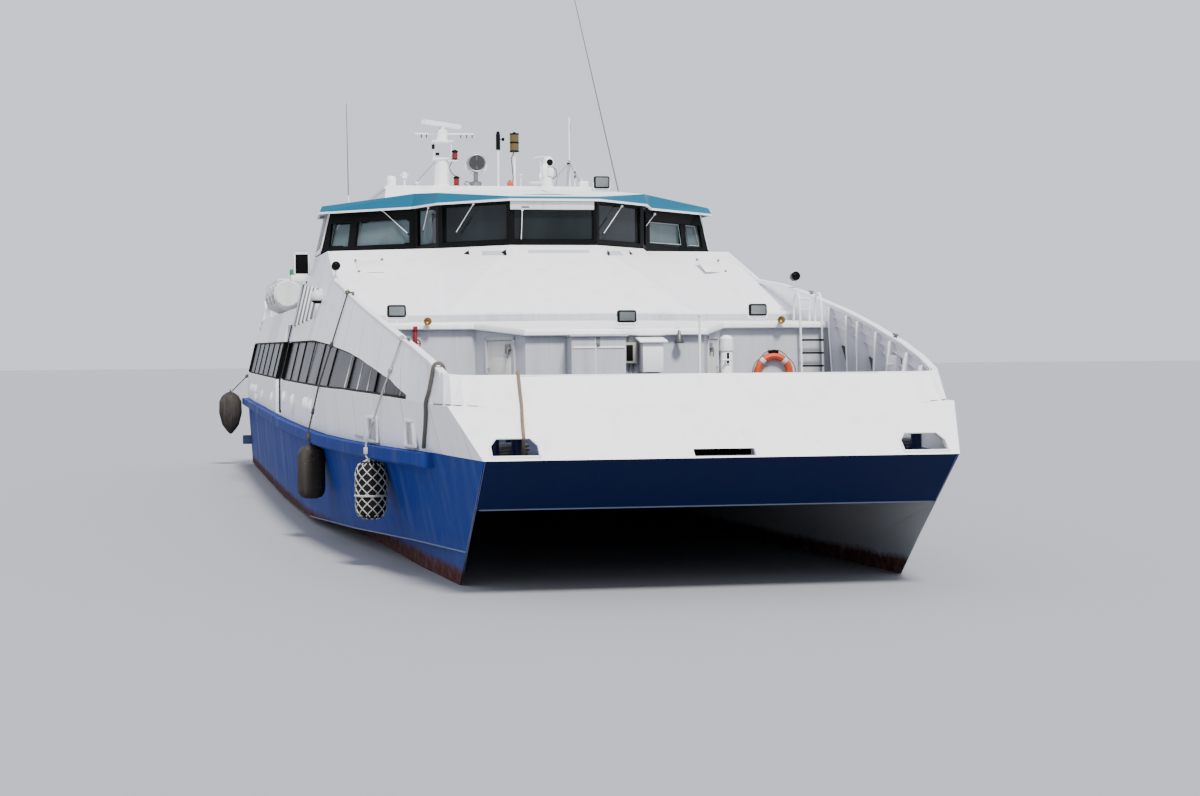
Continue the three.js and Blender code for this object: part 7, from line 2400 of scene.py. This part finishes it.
    def cushions(self) -> None:
        """Seat and back cushions of the cabin rows and the helm chairs, crowned, with a seam round each."""
        def pad(name: str, size: Point, place: Point, tilt: float) -> Object:
            """One crowned cushion with piping along its middle, about its own centre before it is placed.

            Args:
                name: the cushion's name.
                size: its size along x, y and z.
                place: where its centre goes.
                tilt: how far it leans, in radians.

            Returns:
                The cushion.
            """
            clear_selection()
            bpy.ops.mesh.primitive_cube_add(size=1, scale=size)
            bpy.ops.object.transform_apply(location=False, rotation=False, scale=True)
            bpy.ops.object.mode_set(mode="EDIT")
            bpy.ops.mesh.select_all(action="SELECT")
            bpy.ops.mesh.subdivide(number_cuts=3)
            bpy.ops.mesh.vertices_smooth(factor=0.5, repeat=2)
            bpy.ops.object.mode_set(mode="OBJECT")
            form = bpy.context.object
            w, d = size[0] * 0.455, size[1] * 0.475
            corners = [(-w, -d * 0.8), (-w, d * 0.8), (-w * 0.8, d), (w * 0.8, d), (w, d * 0.8),
                       (w, -d * 0.8), (w * 0.8, -d), (-w * 0.8, -d), (-w, -d * 0.8)]
            seam = pipe("seam", [[(a, b, 0.0) for a, b in corners]], 0.006, 1)
            pick(form, seam)
            bpy.ops.object.join()
            bpy.ops.transform.rotate(value=-tilt, orient_axis="Y", center_override=(0, 0, 0))
            bpy.ops.transform.translate(value=place)
            form.name = name
            settle(60)
            return form

        def rows(name: str, steps: Sequence[Point], finish: Finish, made: list[Object]) -> None:
            """Copies the made cushions by steps from the first place and joins them into one padded piece.

            Args:
                name: the joined piece's name.
                steps: from the first place to each further one.
                finish: its finish.
                made: the cushions at the first place.
            """
            whole = list(made)
            for step in steps:
                pick(*made)
                bpy.ops.object.duplicate(linked=False)
                bpy.ops.transform.translate(value=step)
                bpy.ops.object.transform_apply(location=True, rotation=True, scale=True)
                whole += list(bpy.context.selected_objects)
            pick(*whole)
            bpy.ops.object.join()
            made[0].name = name
            made[0].data.name = name
            fitted(made[0], finish)

        for group_name, x, count in (("aft", -14.5, 9), ("fore", 1.25, 8)):
            for side, label in LABELLED:
                made = []
                for k in range(3):
                    y = side.value * (2.99 + 0.46 * k)
                    made.append(pad("seat", (0.46, 0.45, 0.10), (x + 0.29, y, 2.45), 0.0))
                    made.append(pad("back", (0.62, 0.44, 0.10), (x + 0.115, y, 2.78), math.radians(83)))
                rows(f"cabin_cushions_{group_name}_{label}", [(1.05 * i, 0, 0) for i in range(1, count)],
                     SEAT, made)
        chair = [pad("seat", (0.5, 0.54, 0.12), (3.9, -0.65, 4.76), 0.0),
                 pad("back", (0.62, 0.54, 0.12), (3.72, -0.65, 5.08), math.radians(87))]
        rows("helm_chair_cushions", [(0, 1.3, 0)], SEAT, chair)

    def build(self) -> None:
        """Builds all of it."""
        self.saloon()
        self.life_rafts()
        self.screens()
        self.stern()
        self.running_gear()
        self.cushions()


@dataclass
class Studio:
    """Camera at the photograph's place, soft lights and a pale floor at the waterline."""

    eye: Point = (47.47, -7.07, 3.10)
    yaw: float = 10.96
    pitch: float = -1.09
    roll: float = -0.43
    lens: float = 68.2
    sensor: float = 36.0
    floor_half: float = 600.0
    floor_colour: Color = (0.30, 0.31, 0.33)
    haze: Color = (0.70, 0.73, 0.82)
    haze_strength: float = 1.4
    sun_strength: float = 6.0
    sun_width: float = 12.0
    sun_colour: Color = (1.0, 0.97, 0.93)
    sun_from: Point = (0.75, 0.10, 1.0)

    def camera(self) -> None:
        """Places the camera."""
        yaw, pitch, roll = (math.radians(a) for a in (self.yaw, self.pitch, self.roll))
        ahead = Vector((-math.cos(yaw) * math.cos(pitch), math.sin(yaw) * math.cos(pitch), math.sin(pitch)))
        right = ahead.cross(Vector((0, 0, 1))).normalized()
        up = right.cross(ahead)
        tilted_right = math.cos(roll) * right + math.sin(roll) * up
        tilted_up = -math.sin(roll) * right + math.cos(roll) * up
        data = bpy.data.cameras.new("camera")
        data.lens = self.lens
        data.sensor_width = self.sensor
        data.clip_end = 2000.0
        camera = bpy.data.objects.new("camera", data)
        bpy.context.scene.collection.objects.link(camera)
        turn = Matrix((tilted_right, tilted_up, -ahead)).transposed().to_4x4()
        camera.matrix_world = Matrix.Translation(self.eye) @ turn
        bpy.context.scene.camera = camera

    def floor(self) -> None:
        """A pale floor."""
        clear_selection()
        bpy.ops.mesh.primitive_plane_add(size=2 * self.floor_half, location=(0, 0, 0))
        floor = bpy.context.object
        floor.name = "floor"
        material = bpy.data.materials.new("pale floor")
        material.use_nodes = True
        shader = material.node_tree.nodes["Principled BSDF"]
        shader.inputs["Base Color"].default_value = (*self.floor_colour, 1)
        shader.inputs["Roughness"].default_value = 0.75
        floor.data.materials.append(material)

    def lights(self) -> None:
        """A bright hazy sky and a soft sun ahead and to port of the bow."""
        world = bpy.data.worlds.new("haze")
        bpy.context.scene.world = world
        world.use_nodes = True
        ground = world.node_tree.nodes["Background"]
        ground.inputs["Color"].default_value = (*self.haze, 1)
        ground.inputs["Strength"].default_value = self.haze_strength
        sun = bpy.data.lights.new("sun", "SUN")
        sun.energy = self.sun_strength
        sun.angle = math.radians(self.sun_width)
        sun.color = self.sun_colour
        lamp = bpy.data.objects.new("sun", sun)
        bpy.context.scene.collection.objects.link(lamp)
        lamp.rotation_euler = Vector(self.sun_from).to_track_quat("Z", "Y").to_euler()

    def build(self) -> None:
        """Places all of it."""
        self.camera()
        self.floor()
        self.lights()


def main() -> None:
    """Builds the ferry's looks around the frame."""
    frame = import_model()
    Studio().build()
    dress_frame(frame["nodes"])
    for part in (BulwarkTrim(), SideWindows(), SidePlatingFittings(), Wheelhouse(), FrontRoof(),
                 ForedeckBulkhead(), Lamps(), RoofGear(), Ropes(), UpperWorks()):
        part.build()
        LOG.info("built %s", type(part).__name__)


if __name__ == "__main__":
    logging.basicConfig(level=logging.INFO)
    main()
